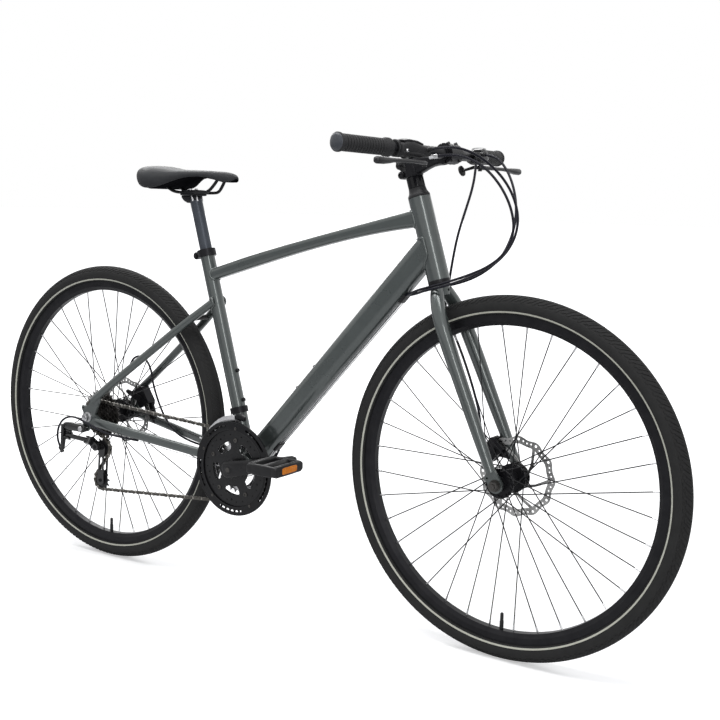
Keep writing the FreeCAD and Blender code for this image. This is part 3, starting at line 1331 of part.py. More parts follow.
def caliper_parts(centre, width, rotor_inset, angle, arm_angle, lug_ends):
    """Caliper that straddles the disc, its two pads and its pull arm."""
    rotor_middle = width / 2 - rotor_inset
    out = slope(angle)
    along = slope(angle + 90)
    slot = ROTOR_THICKNESS / 2 + CALIPER_SLOT_GAP
    inner_face = rotor_middle - slot - PAD_THICKNESS - CALIPER_INNER_WIDTH
    outer_face = rotor_middle + slot + PAD_THICKNESS + CALIPER_OUTER_WIDTH
    middle = across(centre + out * CALIPER_RADIUS_PLACE, 0)
    shift = out * (CALIPER_BRIDGE / 2)
    whole = rounded(middle + shift + LEFT * inner_face, along, out, CALIPER_LENGTH, CALIPER_DEPTH,
                    CALIPER_BRIDGE / 2)
    body = Part.Face(whole).extrude(LEFT * (outer_face - inner_face))
    lugs = [plate(across(middle + shift, outer_face), CALIPER_LUG_RADIUS * 2, across(end, outer_face),
                  CALIPER_LUG_RADIUS, LEFT * -CALIPER_LUG_THICKNESS) for end in lug_ends]
    body = union([body] + lugs)
    gap = slot + PAD_THICKNESS
    low = centre + LEFT * (rotor_middle - gap)
    body = body.cut(rod(low, low + LEFT * (gap * 2), ROTOR_RADIUS + CALIPER_SLOT_GAP * 2))
    pads = []
    for side in (RIGHT_SIDE, LEFT_SIDE):
        face = across(middle, rotor_middle + side * slot)
        pad = rounded(face, along, out, CALIPER_LENGTH / 2, CALIPER_DEPTH / 2, CALIPER_BRIDGE / 4)
        pads.append(Part.Face(pad).extrude(LEFT * (side * PAD_THICKNESS)))
    pivot = across(middle, inner_face)
    pin_end = pivot - LEFT * (BODY_GAP + BRAKE_ARM_THICKNESS)
    body = body.fuse(rod(pivot, pin_end, BRAKE_ARM_PIN_RADIUS))
    seat = pivot - LEFT * BODY_GAP
    arm_depth = LEFT * -BRAKE_ARM_THICKNESS
    arm = plate(seat, BRAKE_ARM_RADIUS, seat + slope(arm_angle) * BRAKE_ARM_LENGTH, BRAKE_ARM_TIP_RADIUS,
                arm_depth)
    arm = arm.cut(rod(pivot, pin_end - LEFT * OVERRUN, BRAKE_ARM_PIN_RADIUS + RUNNING_FIT))
    return body, pads, arm


# Seatpost and saddle

def seatpost():
    """Hollow post with a clamp head for the saddle rails."""
    low = seat_top - seat_axis * SEATPOST_INSERT
    half = LEFT * (POST_HEAD_WIDTH / 2)
    head = rod(post_head_at - half, post_head_at + half, POST_HEAD_RADIUS)
    body = rod(low, post_head_at, SEATPOST_RADIUS).fuse(head)
    body = body.cut(rod(low - seat_axis * OVERRUN, post_head_at - seat_axis * POST_HEAD_RADIUS,
                        SEATPOST_RADIUS - SEATPOST_WALL))
    rest = rail_rest()
    body = body.cut(block(V(rest.x - POST_CLAMP_LENGTH, -POST_HEAD_WIDTH, rest.z - POST_CLAMP_THICKNESS),
                          V(rest.x + POST_CLAMP_LENGTH, POST_HEAD_WIDTH, rest.z + POST_HEAD_RADIUS * 2)))
    wide = V(POST_CLAMP_LENGTH / 2, RAIL_SPREAD + RAIL_RADIUS * 2, 0)
    tall = UP * POST_CLAMP_THICKNESS
    lower = block(rest - wide - tall, rest + wide)
    upper = block(rest - wide, rest + wide + tall)
    rails = saddle_rails()
    clamp = [half_clamp.cut(rails) for half_clamp in (lower, upper)]
    pin = rod(rest - tall, rest + tall + UP * OVERRUN, POST_BOLT_RADIUS)
    return [body] + [half_clamp.cut(pin) for half_clamp in clamp] + [pin]


def rail_rest():
    """Where the seatpost's clamp grips the rails."""
    return across(post_head_at + UP * RAIL_REST_RISE, 0)


def saddle_rails():
    """Two bent steel rails under the saddle."""
    rest = rail_rest()
    rails = []
    for side in (RIGHT_SIDE, LEFT_SIDE):
        spread = side * RAIL_SPREAD
        points = [rest + V(-RAIL_BACK_LENGTH - RAIL_END_LENGTH, spread, RAIL_BACK_RISE),
                  rest + V(-RAIL_BACK_LENGTH, spread, RAIL_BACK_RISE),
                  rest + V(-RAIL_BACK_RUN, spread, 0), rest + V(RAIL_FRONT_RUN, spread, 0),
                  rest + V(RAIL_FRONT_LENGTH, side * RAIL_FRONT_SPREAD, RAIL_FRONT_RISE - RAIL_RADIUS * 2)]
        rails.append(bent_bar(points, [RAIL_BEND_RADIUS] * 3, RAIL_RADIUS))
    return Part.makeCompound(rails)


def saddle_section(place, width, low, high, skirt):
    """Closed outline across the saddle: flat below, drawn in at the sides, crowned on top."""
    half = width / 2
    edge = half * SADDLE_EDGE_SHARE
    turn_in = half * SADDLE_SHOULDER_SHARE
    shoulder = low + (high - low) * SADDLE_SHOULDER_RISE_SHARE

    def at(offset, level):
        return V(place, offset, level)

    lip = low + skirt
    edges = [Part.LineSegment(at(edge, lip), at(-edge, lip)),
             Part.Arc(at(-edge, lip), at(-half, (lip + shoulder) / 2), at(-turn_in, shoulder)),
             Part.Arc(at(-turn_in, shoulder), at(0, high), at(turn_in, shoulder)),
             Part.Arc(at(turn_in, shoulder), at(half, (lip + shoulder) / 2), at(edge, lip))]
    return Part.Wire([one.toShape() for one in edges])


def saddle_stations():
    rear = saddle_nose_at.x - SADDLE_LENGTH
    for place, width, top, skirt in zip(SADDLE_PLACE_SHARES, SADDLE_WIDTH_SHARES, SADDLE_TOP_SHARES,
                                        SADDLE_SKIRT_SHARES):
        yield (rear + SADDLE_LENGTH * place, SADDLE_WIDTH * width, SADDLE_HEIGHT * top, SADDLE_HEIGHT * skirt)


def saddle_cushion():
    """Padded cover with its crown and drawn-in sides."""
    base = saddle_nose_at.z
    wires = [saddle_section(place, width, base, base + top, skirt)
             for place, width, top, skirt in saddle_stations()]
    return Part.makeLoft(wires, True)


def saddle_shell():
    """Plastic base under the cushion."""
    wires = []
    for place, width, top, skirt in saddle_stations():
        level = saddle_nose_at.z + skirt - SADDLE_GAP - SADDLE_SHELL_THICKNESS / 2
        wires.append(rounded(V(place, 0, level), LEFT, UP, width * SADDLE_SHELL_WIDTH_SHARE,
                             SADDLE_SHELL_THICKNESS,
                             SADDLE_SHELL_THICKNESS * SADDLE_SHELL_CORNER_SHARE))
    return Part.makeLoft(wires, True).cut(saddle_rails())


# Chain drive

def pitch_radius(teeth):
    """Radius of the circle through the roller centres."""
    return CHAIN_PITCH / (2 * math.sin(math.pi / teeth))


driven_teeth = SPROCKET_TEETH[DRIVEN_SPROCKET]
driving_teeth = RING_TEETH[1]


def chain_stretches(lean):
    """Straight runs and arcs of the chain, with the tension pulley at a given lean of its cage."""
    tension = guide_pulley_at + slope(-lean) * CAGE_LENGTH
    wheels = [(bracket_at, driving_teeth, -1), (tension, PULLEY_TEETH, -1),
              (guide_pulley_at, PULLEY_TEETH, 1), (rear_axle_at, driven_teeth, -1)]
    runs = []
    for number, (centre, teeth, turn) in enumerate(wheels):
        other, other_teeth, other_turn = wheels[(number + 1) % len(wheels)]
        gap = V(other.x - centre.x, 0, other.z - centre.z)
        lift = other_turn * pitch_radius(other_teeth) - turn * pitch_radius(teeth)
        straight = math.sqrt(gap.Length ** 2 - lift ** 2)
        heading = math.atan2(gap.z, gap.x) - math.atan2(lift, straight)
        runs.append((heading, straight))
    stretches = []
    for number, (centre, teeth, turn) in enumerate(wheels):
        arrive = runs[number - 1][0] - turn * math.pi / 2
        leave = runs[number][0] - turn * math.pi / 2
        sweep = ((leave - arrive) * turn) % (2 * math.pi)
        stretches.append(("arc", centre, teeth, turn, arrive, sweep))
        start = centre + slope(math.degrees(leave)) * pitch_radius(teeth)
        stretches.append(("run", start, runs[number][0], runs[number][1]))
    return stretches


def stretch_length(stretch):
    """Length of a stretch, counted in chain links where it lies on teeth."""
    if stretch[0] == "run":
        return stretch[3]
    return stretch[5] * stretch[2] / (2 * math.pi) * CHAIN_PITCH


def chain_length(lean):
    return sum(stretch_length(stretch) for stretch in chain_stretches(lean))


def fitted_lean():
    """The cage's lean at which a whole, even number of links goes round."""
    links = 2 * round(chain_length(CAGE_LEAN) / (2 * CHAIN_PITCH))
    low, high = CAGE_LEAN - CAGE_LEAN_RANGE, CAGE_LEAN + CAGE_LEAN_RANGE
    rising = chain_length(high) > chain_length(low)
    for halving in range(50):
        middle = (low + high) / 2
        if (chain_length(middle) < links * CHAIN_PITCH) == rising:
            low = middle
        else:
            high = middle
    return (low + high) / 2, links


cage_lean, chain_links = fitted_lean()
tension_pulley_at = guide_pulley_at + slope(-cage_lean) * CAGE_LENGTH


def chain_rollers():
    """Roller centres round the loop, and the angle of one roller on each toothed wheel."""
    stretches = chain_stretches(cage_lean)
    rollers, phases = [], []
    behind = 0
    for stretch in stretches:
        length = stretch_length(stretch)
        first = len(rollers)
        while len(rollers) < chain_links and len(rollers) * CHAIN_PITCH < behind + length:
            place = len(rollers) * CHAIN_PITCH - behind
            if stretch[0] == "run":
                rollers.append(stretch[1] + slope(math.degrees(stretch[2])) * place)
            else:
                angle = stretch[4] + stretch[3] * place / CHAIN_PITCH * 2 * math.pi / stretch[2]
                rollers.append(stretch[1] + slope(math.degrees(angle)) * pitch_radius(stretch[2]))
                if len(rollers) == first + 1:
                    phases.append(angle)
        behind += length
    return [across(roller, -CHAIN_LINE) for roller in rollers], phases


rollers_at, (ring_phase, tension_phase, guide_phase, sprocket_phase) = chain_rollers()


def toothed_disc(teeth, centre, thickness, bore, phase):
    """Sprocket with a seat for a chain roller between each pair of teeth."""
    radius = pitch_radius(teeth)
    seat = ROLLER_RADIUS + ROLLER_GAP
    step = 2 * math.pi / teeth
    opening = math.radians(SEAT_OPENING)
    face_centre = centre - LEFT * (thickness / 2)

    def at(angle, reach):
        return face_centre + slope(math.degrees(angle)) * reach

    edges = []
    for number in range(teeth):
        gap = phase + number * step
        middle = at(gap, radius)
        low, deep, high = [middle + slope(math.degrees(gap + math.pi + turn)) * seat
                           for turn in (opening, 0, -opening)]
        tips = [at(gap + step * (0.5 + sign * TOOTH_TIP_SHARE / 2), radius + TOOTH_RISE) for sign in (-1, 1)]
        after = at(gap + step, radius) + slope(math.degrees(gap + step + math.pi + opening)) * seat
        edges.append(Part.Arc(low, deep, high).toShape())
        for start, end in ((high, tips[0]), (tips[0], tips[1]), (tips[1], after)):
            edges.append(Part.LineSegment(start, end).toShape())
    disc = Part.Face(Part.Wire(edges)).extrude(LEFT * thickness)
    return disc.cut(rod(face_centre - LEFT * OVERRUN, face_centre + LEFT * (thickness + OVERRUN), bore))


def chain():
    """Roller chain: inner and outer links by turns round the loop."""
    here, there = V(0, 0, 0), FORWARD * CHAIN_PITCH
    outer_low = CHAIN_INNER_HALF + CHAIN_PLATE + CHAIN_PLATE_GAP
    pin_half = outer_low + CHAIN_PLATE + PIN_PROUD
    inner_shapes, outer_shapes = [], []
    for side in (RIGHT_SIDE, LEFT_SIDE):
        depth = LEFT * (side * CHAIN_PLATE)
        for low, shapes in ((CHAIN_INNER_HALF, inner_shapes), (outer_low, outer_shapes)):
            offset = LEFT * (side * low)
            shapes.append(plate(here + offset, CHAIN_PLATE_RADIUS, there + offset, CHAIN_PLATE_RADIUS, depth))
    for end in (here, there):
        half = LEFT * CHAIN_INNER_HALF
        inner_shapes.append(rod(end - half, end + half, ROLLER_RADIUS))
        outer_shapes.append(rod(end - LEFT * pin_half, end + LEFT * pin_half, PIN_RADIUS))
    inner_link, outer_link = union(inner_shapes), union(outer_shapes)
    for end in (here, there):
        inner_link = inner_link.cut(rod(end - LEFT * pin_half, end + LEFT * pin_half, PIN_RADIUS + PIN_GAP))
    links = []
    for number, roller in enumerate(rollers_at):
        ahead = rollers_at[(number + 1) % len(rollers_at)] - roller
        link = (inner_link if number % 2 == 0 else outer_link).copy()
        turn = -math.degrees(math.atan2(ahead.z, ahead.x))
        link.Placement = FreeCAD.Placement(roller, FreeCAD.Rotation(LEFT, turn))
        links.append(link)
    return links


def sprocket_offset(number):
    """How far across a sprocket of the freewheel lies."""
    return -CHAIN_LINE - (DRIVEN_SPROCKET - number) * SPROCKET_SPACING


def freewheel():
    """Freewheel body with its row of sprockets."""
    small, large = sprocket_offset(0), sprocket_offset(len(SPROCKET_TEETH) - 1)
    body = sleeve(across(rear_axle_at, small - FREEWHEEL_BODY_MARGIN),
                  across(rear_axle_at, large + FREEWHEEL_BODY_MARGIN),
                  FREEWHEEL_BODY_RADIUS, FREEWHEEL_BORE_RADIUS + RUNNING_FIT)
    solids = [body]
    for number, teeth in enumerate(SPROCKET_TEETH):
        centre = across(rear_axle_at, sprocket_offset(number))
        solids.append(toothed_disc(teeth, centre, SPROCKET_THICKNESS, FREEWHEEL_BODY_RADIUS, sprocket_phase))
    return solids


def ring_offset(number):
    """How far across a chainring lies, the largest first."""
    return -CHAIN_LINE - (1 - number) * RING_SPACING


def spider_low_high():
    return ring_offset(0) + RING_THICKNESS / 2, ring_offset(1) - RING_THICKNESS / 2


def chainrings():
    """Three chainrings and the posts that carry the smallest."""
    solids = []
    for number, teeth in enumerate(RING_TEETH):
        bore = SMALL_RING_BORE_RADIUS if number == 2 else RING_BORE_RADIUS
        centre = across(bracket_at, ring_offset(number))
        solids.append(toothed_disc(teeth, centre, RING_THICKNESS, bore, ring_phase))
    inner = spider_low_high()[1]
    for number in range(SPIDER_ARMS):
        place = slope(CRANK_ANGLE + 360 * number / SPIDER_ARMS) * RING_POST_CIRCLE
        start = across(bracket_at, inner) + place
        end = across(bracket_at, ring_offset(2) - RING_THICKNESS / 2) + place
        solids.append(rod(start, end, RING_POST_RADIUS))
    return solids


def chain_guard():
    """Plastic ring outside the largest chainring."""
    inner = ring_offset(0) - RING_THICKNESS / 2
    face = inner - GUARD_STANDOFF
    ring = sleeve(across(bracket_at, face - GUARD_THICKNESS), across(bracket_at, face), GUARD_RADIUS,
                  GUARD_INNER_RADIUS)
    bosses = []
    for number in range(SPIDER_ARMS):
        place = slope(CRANK_ANGLE + 360 * number / SPIDER_ARMS) * (GUARD_INNER_RADIUS + GUARD_BOSS_RADIUS)
        bosses.append(rod(across(bracket_at, face - GUARD_THICKNESS) + place,
                          across(bracket_at, inner) + place,
                          GUARD_BOSS_RADIUS))
    return union([ring] + bosses)


def pedal_axis(side):
    """Where a pedal's spindle leaves its crank."""
    turn = CRANK_ANGLE if side == RIGHT_SIDE else CRANK_ANGLE + 180
    inner = RIGHT_CRANK_INNER if side == RIGHT_SIDE else LEFT_CRANK_INNER
    return across(bracket_at + slope(turn) * CRANK_LENGTH, side * (inner + CRANK_THICKNESS))


def crank(side):
    """Crank arm; the right one has the spider for the chainrings."""
    inner = RIGHT_CRANK_INNER if side == RIGHT_SIDE else LEFT_CRANK_INNER
    depth = LEFT * (side * CRANK_THICKNESS)
    centre = across(bracket_at, side * inner)
    eye = across(pedal_axis(side), side * inner)
    shapes = [plate(centre, CRANK_BOSS_RADIUS, eye, CRANK_EYE_RADIUS, depth)]
    if side == RIGHT_SIDE:
        low, high = spider_low_high()
        shapes.append(rod(across(bracket_at, high), centre, CRANK_BOSS_RADIUS))
        for number in range(SPIDER_ARMS):
            way = slope(CRANK_ANGLE + 360 * number / SPIDER_ARMS)
            root = across(bracket_at, low)
            shapes.append(plate(root, SPIDER_ARM_WIDTH / 2,
                                root + way * (SPIDER_REACH - SPIDER_ARM_WIDTH / 2),
                                SPIDER_ARM_WIDTH / 2, LEFT * (high - low)))
    body = union(shapes)
    bore_end = side * (inner + CRANK_THICKNESS)
    return body.cut(rod(bracket_at, across(bracket_at, bore_end + side * OVERRUN), SPINDLE_RADIUS))


def spindles():
    """Bottom bracket spindle and the two pedal spindles."""
    ends = [across(bracket_at, side * (inner + CRANK_THICKNESS - CRANK_BOLT_DEPTH))
            for side, inner in ((RIGHT_SIDE, RIGHT_CRANK_INNER), (LEFT_SIDE, LEFT_CRANK_INNER))]
    solids = [rod(ends[0], ends[1], SPINDLE_RADIUS)]
    for side in (RIGHT_SIDE, LEFT_SIDE):
        start = pedal_axis(side)
        solids.append(rod(start, start + LEFT * (side * (PEDAL_GAP + PEDAL_WIDTH - PEDAL_RAIL)),
                          PEDAL_SPINDLE_RADIUS))
    return solids


def pedal(side):
    """Platform pedal with two reflectors."""
    near = pedal_axis(side) + LEFT * (side * PEDAL_GAP)
    far = near + LEFT * (side * PEDAL_WIDTH)
    low_y, high_y = min(near.y, far.y), max(near.y, far.y)
    half, tall = PEDAL_LENGTH / 2, PEDAL_HEIGHT / 2

    def span(back, front, low, high):
        return block(V(near.x + back, low, near.z - tall), V(near.x + front, high, near.z + tall))

    frame = span(-half, half, low_y, high_y).cut(
        span(-half + PEDAL_RAIL, half - PEDAL_RAIL, low_y + PEDAL_RAIL, high_y - PEDAL_RAIL))
    body = frame.fuse(rod(near, far, PEDAL_CORE_RADIUS))
    middle = (low_y + high_y) / 2
    reflectors = []
    for sign in (-1, 1):
        outer = near.x + sign * half
        inner = outer - sign * REFLECTOR_THICKNESS
        reflectors.append(block(V(min(outer, inner), middle - REFLECTOR_WIDTH / 2,
                                  near.z - REFLECTOR_HEIGHT / 2),
                                V(max(outer, inner), middle + REFLECTOR_WIDTH / 2,
                                  near.z + REFLECTOR_HEIGHT / 2)))
    for reflector in reflectors:
        body = body.cut(reflector)
    spindle = rod(near - LEFT * (side * OVERRUN), far - LEFT * (side * (PEDAL_RAIL - BODY_GAP)),
                  PEDAL_SPINDLE_RADIUS + RUNNING_FIT)
    return [body.cut(spindle)] + reflectors


# Rear derailleur

rear_gear_tail = cord("rear gear tail", REAR_GEAR_TAIL, HOUSING_RADIUS)
link_pin_axis = V(0, math.sin(math.radians(LINK_SLANT)), math.cos(math.radians(LINK_SLANT)))
link_swing = V(0, math.cos(math.radians(LINK_SLANT)), -math.sin(math.radians(LINK_SLANT)))
link_front_at = V(cage_pivot_at.x - LINK_FRONT_BACK, -LINK_FRONT_OUT, cage_pivot_at.z + LINK_FRONT_RISE)
link_way = FORWARD * math.cos(math.radians(LINK_REST)) + link_swing * math.sin(math.radians(LINK_REST))
link_rear_at = link_front_at - link_way * LINK_LENGTH


def link_plate(extra):
    """Link between its two pins, thickened by an extra margin all round."""
    half = LINK_THICKNESS / 2 + extra
    return plate(link_rear_at - link_pin_axis * half, LINK_RADIUS + extra,
                 link_front_at - link_pin_axis * half,
                 LINK_RADIUS + extra, link_pin_axis * (half * 2))


def pin_at(point, radius, half):
    return rod(point - link_pin_axis * half, point + link_pin_axis * half, radius)


def derailleur_link():
    link = link_plate(0)
    for point in (link_rear_at, link_front_at):
        link = link.cut(pin_at(point, LINK_PIN_RADIUS + RUNNING_FIT, LINK_THICKNESS))
    return link


def link_room(point):
    """Space that the link sweeps about one of its pins."""
    tool = link_plate(BODY_GAP * 2)
    turns = (LINK_OUTBOARD, LINK_OUTBOARD / 2, 0, LINK_INBOARD / 3, LINK_INBOARD * 2 / 3, LINK_INBOARD)
    return [spin(tool, point, link_pin_axis, turn) for turn in turns]


def derailleur_bracket():
    """Knuckle bolted to the dropout, with a pin for the link, and its stop for the cable."""
    outer_face = -(dropout_inner + DROPOUT_THICKNESS + BODY_GAP)
    hanger = across(hanger_at, outer_face)
    half = LINK_THICKNESS / 2 + KNUCKLE_EAR
    knee = V(link_rear_at.x, outer_face, hanger.z)
    depth = LEFT * -BRACKET_ARM_THICKNESS
    ears = pin_at(link_rear_at, KNUCKLE_RADIUS, half)
    brace = plate(knee, BRACKET_ARM_RADIUS * ARM_TAPER_SHARE, V(link_rear_at.x, outer_face, link_rear_at.z),
                  KNUCKLE_RADIUS * ARM_TAPER_SHARE,
                  depth)
    cable_end = V(*REAR_GEAR_TAIL[-1])
    tail = plate(V(link_rear_at.x, outer_face, link_rear_at.z), KNUCKLE_RADIUS * ARM_TAPER_SHARE,
                 across(cable_end, outer_face),
                 ADJUSTER_RADIUS, depth)
    body = union([plate(hanger, BRACKET_ARM_RADIUS, knee, BRACKET_ARM_RADIUS * ARM_TAPER_SHARE, depth),
                  brace, ears])
    for tool in link_room(link_rear_at):
        body = body.cut(tool)
        tail = tail.cut(tool)
    body = max(body.Solids, key=lambda solid: solid.Volume).cut(rear_gear_tail)
    inner = -(dropout_inner - BODY_GAP)
    body = body.fuse(rod(hanger, across(hanger, inner), HANGER_BOLT_RADIUS))
    body = union([body, pin_at(link_rear_at, LINK_PIN_RADIUS, half)])
    tail = tail.cut(body).cut(rear_gear_tail)
    return [body, max(tail.Solids, key=lambda solid: solid.Volume)]


cage_outer_face = -CHAIN_LINE - CAGE_HALF_GAP - CAGE_PLATE


def derailleur_knuckle():
    """Lower knuckle that joins the link to the cage pivot."""
    half = LINK_THICKNESS / 2 + KNUCKLE_EAR
    face = cage_outer_face - BODY_GAP
    pivot = across(cage_pivot_at, face)
    depth = LEFT * -CAGE_PIVOT_LENGTH
    body = union([pin_at(link_front_at, KNUCKLE_RADIUS, half),
                  plate(pivot, KNUCKLE_RADIUS, across(link_front_at, face),
                        KNUCKLE_RADIUS * ARM_TAPER_SHARE, depth)])
    for tool in link_room(link_front_at):
        body = body.cut(tool)
    body = max(body.Solids, key=lambda solid: solid.Volume)
    body = union([body, pin_at(link_front_at, LINK_PIN_RADIUS, half)])
    return body.cut(rod(pivot + LEFT * OVERRUN, pivot + depth - LEFT * OVERRUN,
                        CAGE_PIVOT_RADIUS + RUNNING_FIT))


def derailleur_cage():
    """Two plates that hold the pulleys, on a pivot pin."""
    solids = []
    for low, depth in ((cage_outer_face, LEFT * CAGE_PLATE),
                       (-CHAIN_LINE + CAGE_HALF_GAP, LEFT * CAGE_PLATE)):
        top, bottom = across(guide_pulley_at, low), across(tension_pulley_at, low)
        solids.append(plate(top, CAGE_RADIUS, bottom, CAGE_RADIUS, depth))
    outer = solids[0]
    pivot = across(cage_pivot_at, cage_outer_face)
    outer = union([outer, plate(pivot, CAGE_RADIUS, across(guide_pulley_at, cage_outer_face), CAGE_RADIUS,
                                LEFT * CAGE_PLATE),
                   rod(pivot, pivot - LEFT * (BODY_GAP + CAGE_PIVOT_LENGTH), CAGE_PIVOT_RADIUS)])
    shapes = [outer, solids[1]]
    for centre in (guide_pulley_at, tension_pulley_at):
        shapes.append(rod(across(centre, cage_outer_face),
                          across(centre, -CHAIN_LINE + CAGE_HALF_GAP + CAGE_PLATE),
                          PULLEY_BOLT_RADIUS))
    return union(shapes)


def pulley(centre, phase):
    """Toothed pulley on its bolt."""
    disc = toothed_disc(PULLEY_TEETH, centre, RING_THICKNESS, PULLEY_BOLT_RADIUS + RUNNING_FIT, phase)
    half = LEFT * (PULLEY_HUB_WIDTH / 2)
    return disc.fuse(sleeve(centre - half, centre + half, PULLEY_HUB_RADIUS,
                            PULLEY_BOLT_RADIUS + RUNNING_FIT))


# Front derailleur

shift_band_at = bracket_at + seat_axis * SHIFT_BAND_REACH


def shift_pin_place():
    """Where the cage's guide pin runs across."""
    middle = SHIFT_CAGE_RADIUS + SHIFT_CAGE_HEIGHT / 2
    return bracket_at + slope(SHIFT_PIN_ANGLE) * middle


def front_derailleur_bracket():
    """Band clamp on the seat tube with a sleeve for the cage's pin."""
    half = seat_axis * (SHIFT_BAND_HEIGHT / 2)
    tube = SEAT_TUBE_DIAMETER / 2
    band = rod(shift_band_at - half, shift_band_at + half, tube + SHIFT_BAND_WALL)
    pin = shift_pin_place()
    outer = -CHAIN_LINE + SHIFT_CAGE_HALF_GAP + SHIFT_CAGE_PLATE + SHIFT_TRAVEL + BODY_GAP
    arm = rod(across(pin, outer), across(pin, 0), SHIFT_ARM_RADIUS)
    body = union([band, arm]).cut(rod(shift_band_at - half * 4, shift_band_at + half * 4, tube))
    body = max(body.Solids, key=lambda solid: solid.Volume)
    return body.cut(rod(across(pin, outer - OVERRUN), across(pin, -tube), SHIFT_PIN_RADIUS + RUNNING_FIT))


def arc_plate(inner, outer, start, end, face, thickness):
    """Flat plate bent round the bottom bracket, in the side plane."""
    def at(radius, angle):
        return across(bracket_at, face) + slope(angle) * radius

    middle = (start + end) / 2
    edges = [Part.Arc(at(outer, start), at(outer, middle), at(outer, end)),
             Part.LineSegment(at(outer, end), at(inner, end)),
             Part.Arc(at(inner, end), at(inner, middle), at(inner, start)),
             Part.LineSegment(at(inner, start), at(outer, start))]
    return Part.Face(Part.Wire([edge.toShape() for edge in edges])).extrude(LEFT * thickness)


def front_derailleur_cage():
    """Cage of two curved plates that pushes the chain across."""
    top = SHIFT_CAGE_RADIUS + SHIFT_CAGE_HEIGHT
    outer_face = -CHAIN_LINE - SHIFT_CAGE_HALF_GAP - SHIFT_CAGE_PLATE
    inner_face = -CHAIN_LINE + SHIFT_CAGE_HALF_GAP
    width = inner_face + SHIFT_CAGE_PLATE - outer_face
    span = (SHIFT_CAGE_END - SHIFT_CAGE_START) / 2
    shapes = [arc_plate(SHIFT_CAGE_RADIUS, top, SHIFT_CAGE_START, SHIFT_CAGE_END, outer_face,
                        SHIFT_CAGE_PLATE),
              arc_plate(SHIFT_CAGE_INNER_RADIUS, top, SHIFT_CAGE_START, SHIFT_CAGE_END, inner_face,
                        SHIFT_CAGE_PLATE),
              arc_plate(top - SHIFT_CAGE_PLATE, top, SHIFT_CAGE_START, SHIFT_CAGE_START + span, outer_face,
                        width)]
    pin = shift_pin_place()
    shapes.append(rod(across(pin, inner_face), across(pin, -SEAT_TUBE_DIAMETER / 2 - SHIFT_TRAVEL - BODY_GAP),
                      SHIFT_PIN_RADIUS))
    return union(shapes)


# Cables

def bare_wire(lane):
    """Bare wire between the two guides under the down tube."""
    return rod(lane_place(guide_places[0], lane), lane_place(guide_places[1], lane), WIRE_RADIUS)


front_covers = [cord("rear brake front", control_route(RIGHT_SIDE, REAR_BRAKE_ROUTE), HOUSING_RADIUS),
                cord("rear gear front", control_route(RIGHT_SIDE, REAR_GEAR_ROUTE), HOUSING_RADIUS),
                cord("front gear front", control_route(LEFT_SIDE, FRONT_GEAR_ROUTE), HOUSING_RADIUS)]


def frame_cables():
    """Rear brake cable and both gear cables."""
    solids = [cord("rear brake tail", REAR_BRAKE_TAIL, HOUSING_RADIUS),
              rear_gear_tail,
              cord("rear gear wire", REAR_GEAR_WIRE, WIRE_RADIUS),
              cord("front gear wire", FRONT_GEAR_WIRE, WIRE_RADIUS)]
    return front_covers + solids + [bare_wire(lane) for lane in cable_lanes]


def frame_fittings():
    """Stay bridges and cable guides."""
    upper = down_tube_guide(guide_places[1])
    for cover in front_covers:
        upper = upper.cut(cover)
    upper = max(upper.Solids, key=lambda solid: solid.Volume)
    return bridges() + [down_tube_guide(guide_places[0] - GUIDE_LENGTH), upper]


# All the nodes

def write_frame():
    save("head_tube", head_tube())
    save("top_tube", top_tube())
    save("down_tube", down_tube())
    save("seat_tube", seat_tube())
    save("bottom_bracket_shell", bracket_shell())
    save("chainstays", chainstay(RIGHT_SIDE), chainstay(LEFT_SIDE))
    save("seatstays", seatstay(RIGHT_SIDE), seatstay(LEFT_SIDE))
    save("rear_dropouts", dropout(RIGHT_SIDE), dropout(LEFT_SIDE))
    save("frame_fittings", *frame_fittings())
    save("bottle_bolts", *seat_bottle_bolts(), *down_bottle_bolts())
    save("seatpost_collar", *collar())
    save("frame_bearings", *bearings())
    save("frame_cables", *frame_cables())
    save("rear_axle", *axle(rear_axle_at, REAR_HUB_WIDTH, DROPOUT_THICKNESS))


def write_steering():
    save("fork", *fork())
    save("headset_spacers", *headset_spacers())
    save("stem", stem())
    save("stem_faceplate", faceplate())
    save("stem_bolts", *stem_bolts())
    save("handlebar", handlebar())
    save("grips", grip(RIGHT_SIDE), grip(LEFT_SIDE))
    save("control_housings", control_pod(RIGHT_SIDE), control_pod(LEFT_SIDE))
    for side, name in ((RIGHT_SIDE, "right"), (LEFT_SIDE, "left")):
        save(name + "_brake_lever", brake_lever(side))
        save(name + "_shift_lever", shift_lever(side))
    save("front_axle", *axle(front_axle_at, FRONT_HUB_WIDTH, FORK_TIP_THICKNESS))
    front_brake_route = control_route(LEFT_SIDE, FRONT_BRAKE_ROUTE)
    save("front_brake_cable", cord("front brake", front_brake_route, HOUSING_RADIUS))


def write_brakes():
    leg = fork_leg_places(LEFT_SIDE)
    front_lugs = [leg[-2] * (1 - CALIPER_LUG_SHARE) + leg[-1] * CALIPER_LUG_SHARE]
    body, pads, arm = caliper_parts(front_axle_at, FRONT_HUB_WIDTH, FRONT_ROTOR_INSET, FRONT_CALIPER_ANGLE,
                                    FRONT_ARM_ANGLE, front_lugs)
    body = max(body.cut(fork_leg(LEFT_SIDE, 0)).Solids, key=lambda solid: solid.Volume)
    save("front_brake_caliper", body, *pads)
    save("front_brake_arm", arm)
    whole = stay_length()
    rear_lugs = [chainstay_place(whole - ROTOR_ROOM, 0, LEFT_SIDE)]
    body, pads, arm = caliper_parts(rear_axle_at, REAR_HUB_WIDTH, REAR_ROTOR_INSET, REAR_CALIPER_ANGLE,
                                    REAR_ARM_ANGLE, rear_lugs)
    body = body.cut(chainstay_solid(LEFT_SIDE, 0)).cut(seatstay_solid(LEFT_SIDE, 0))
    save("rear_brake_caliper", body, *pads)
    save("rear_brake_arm", arm)


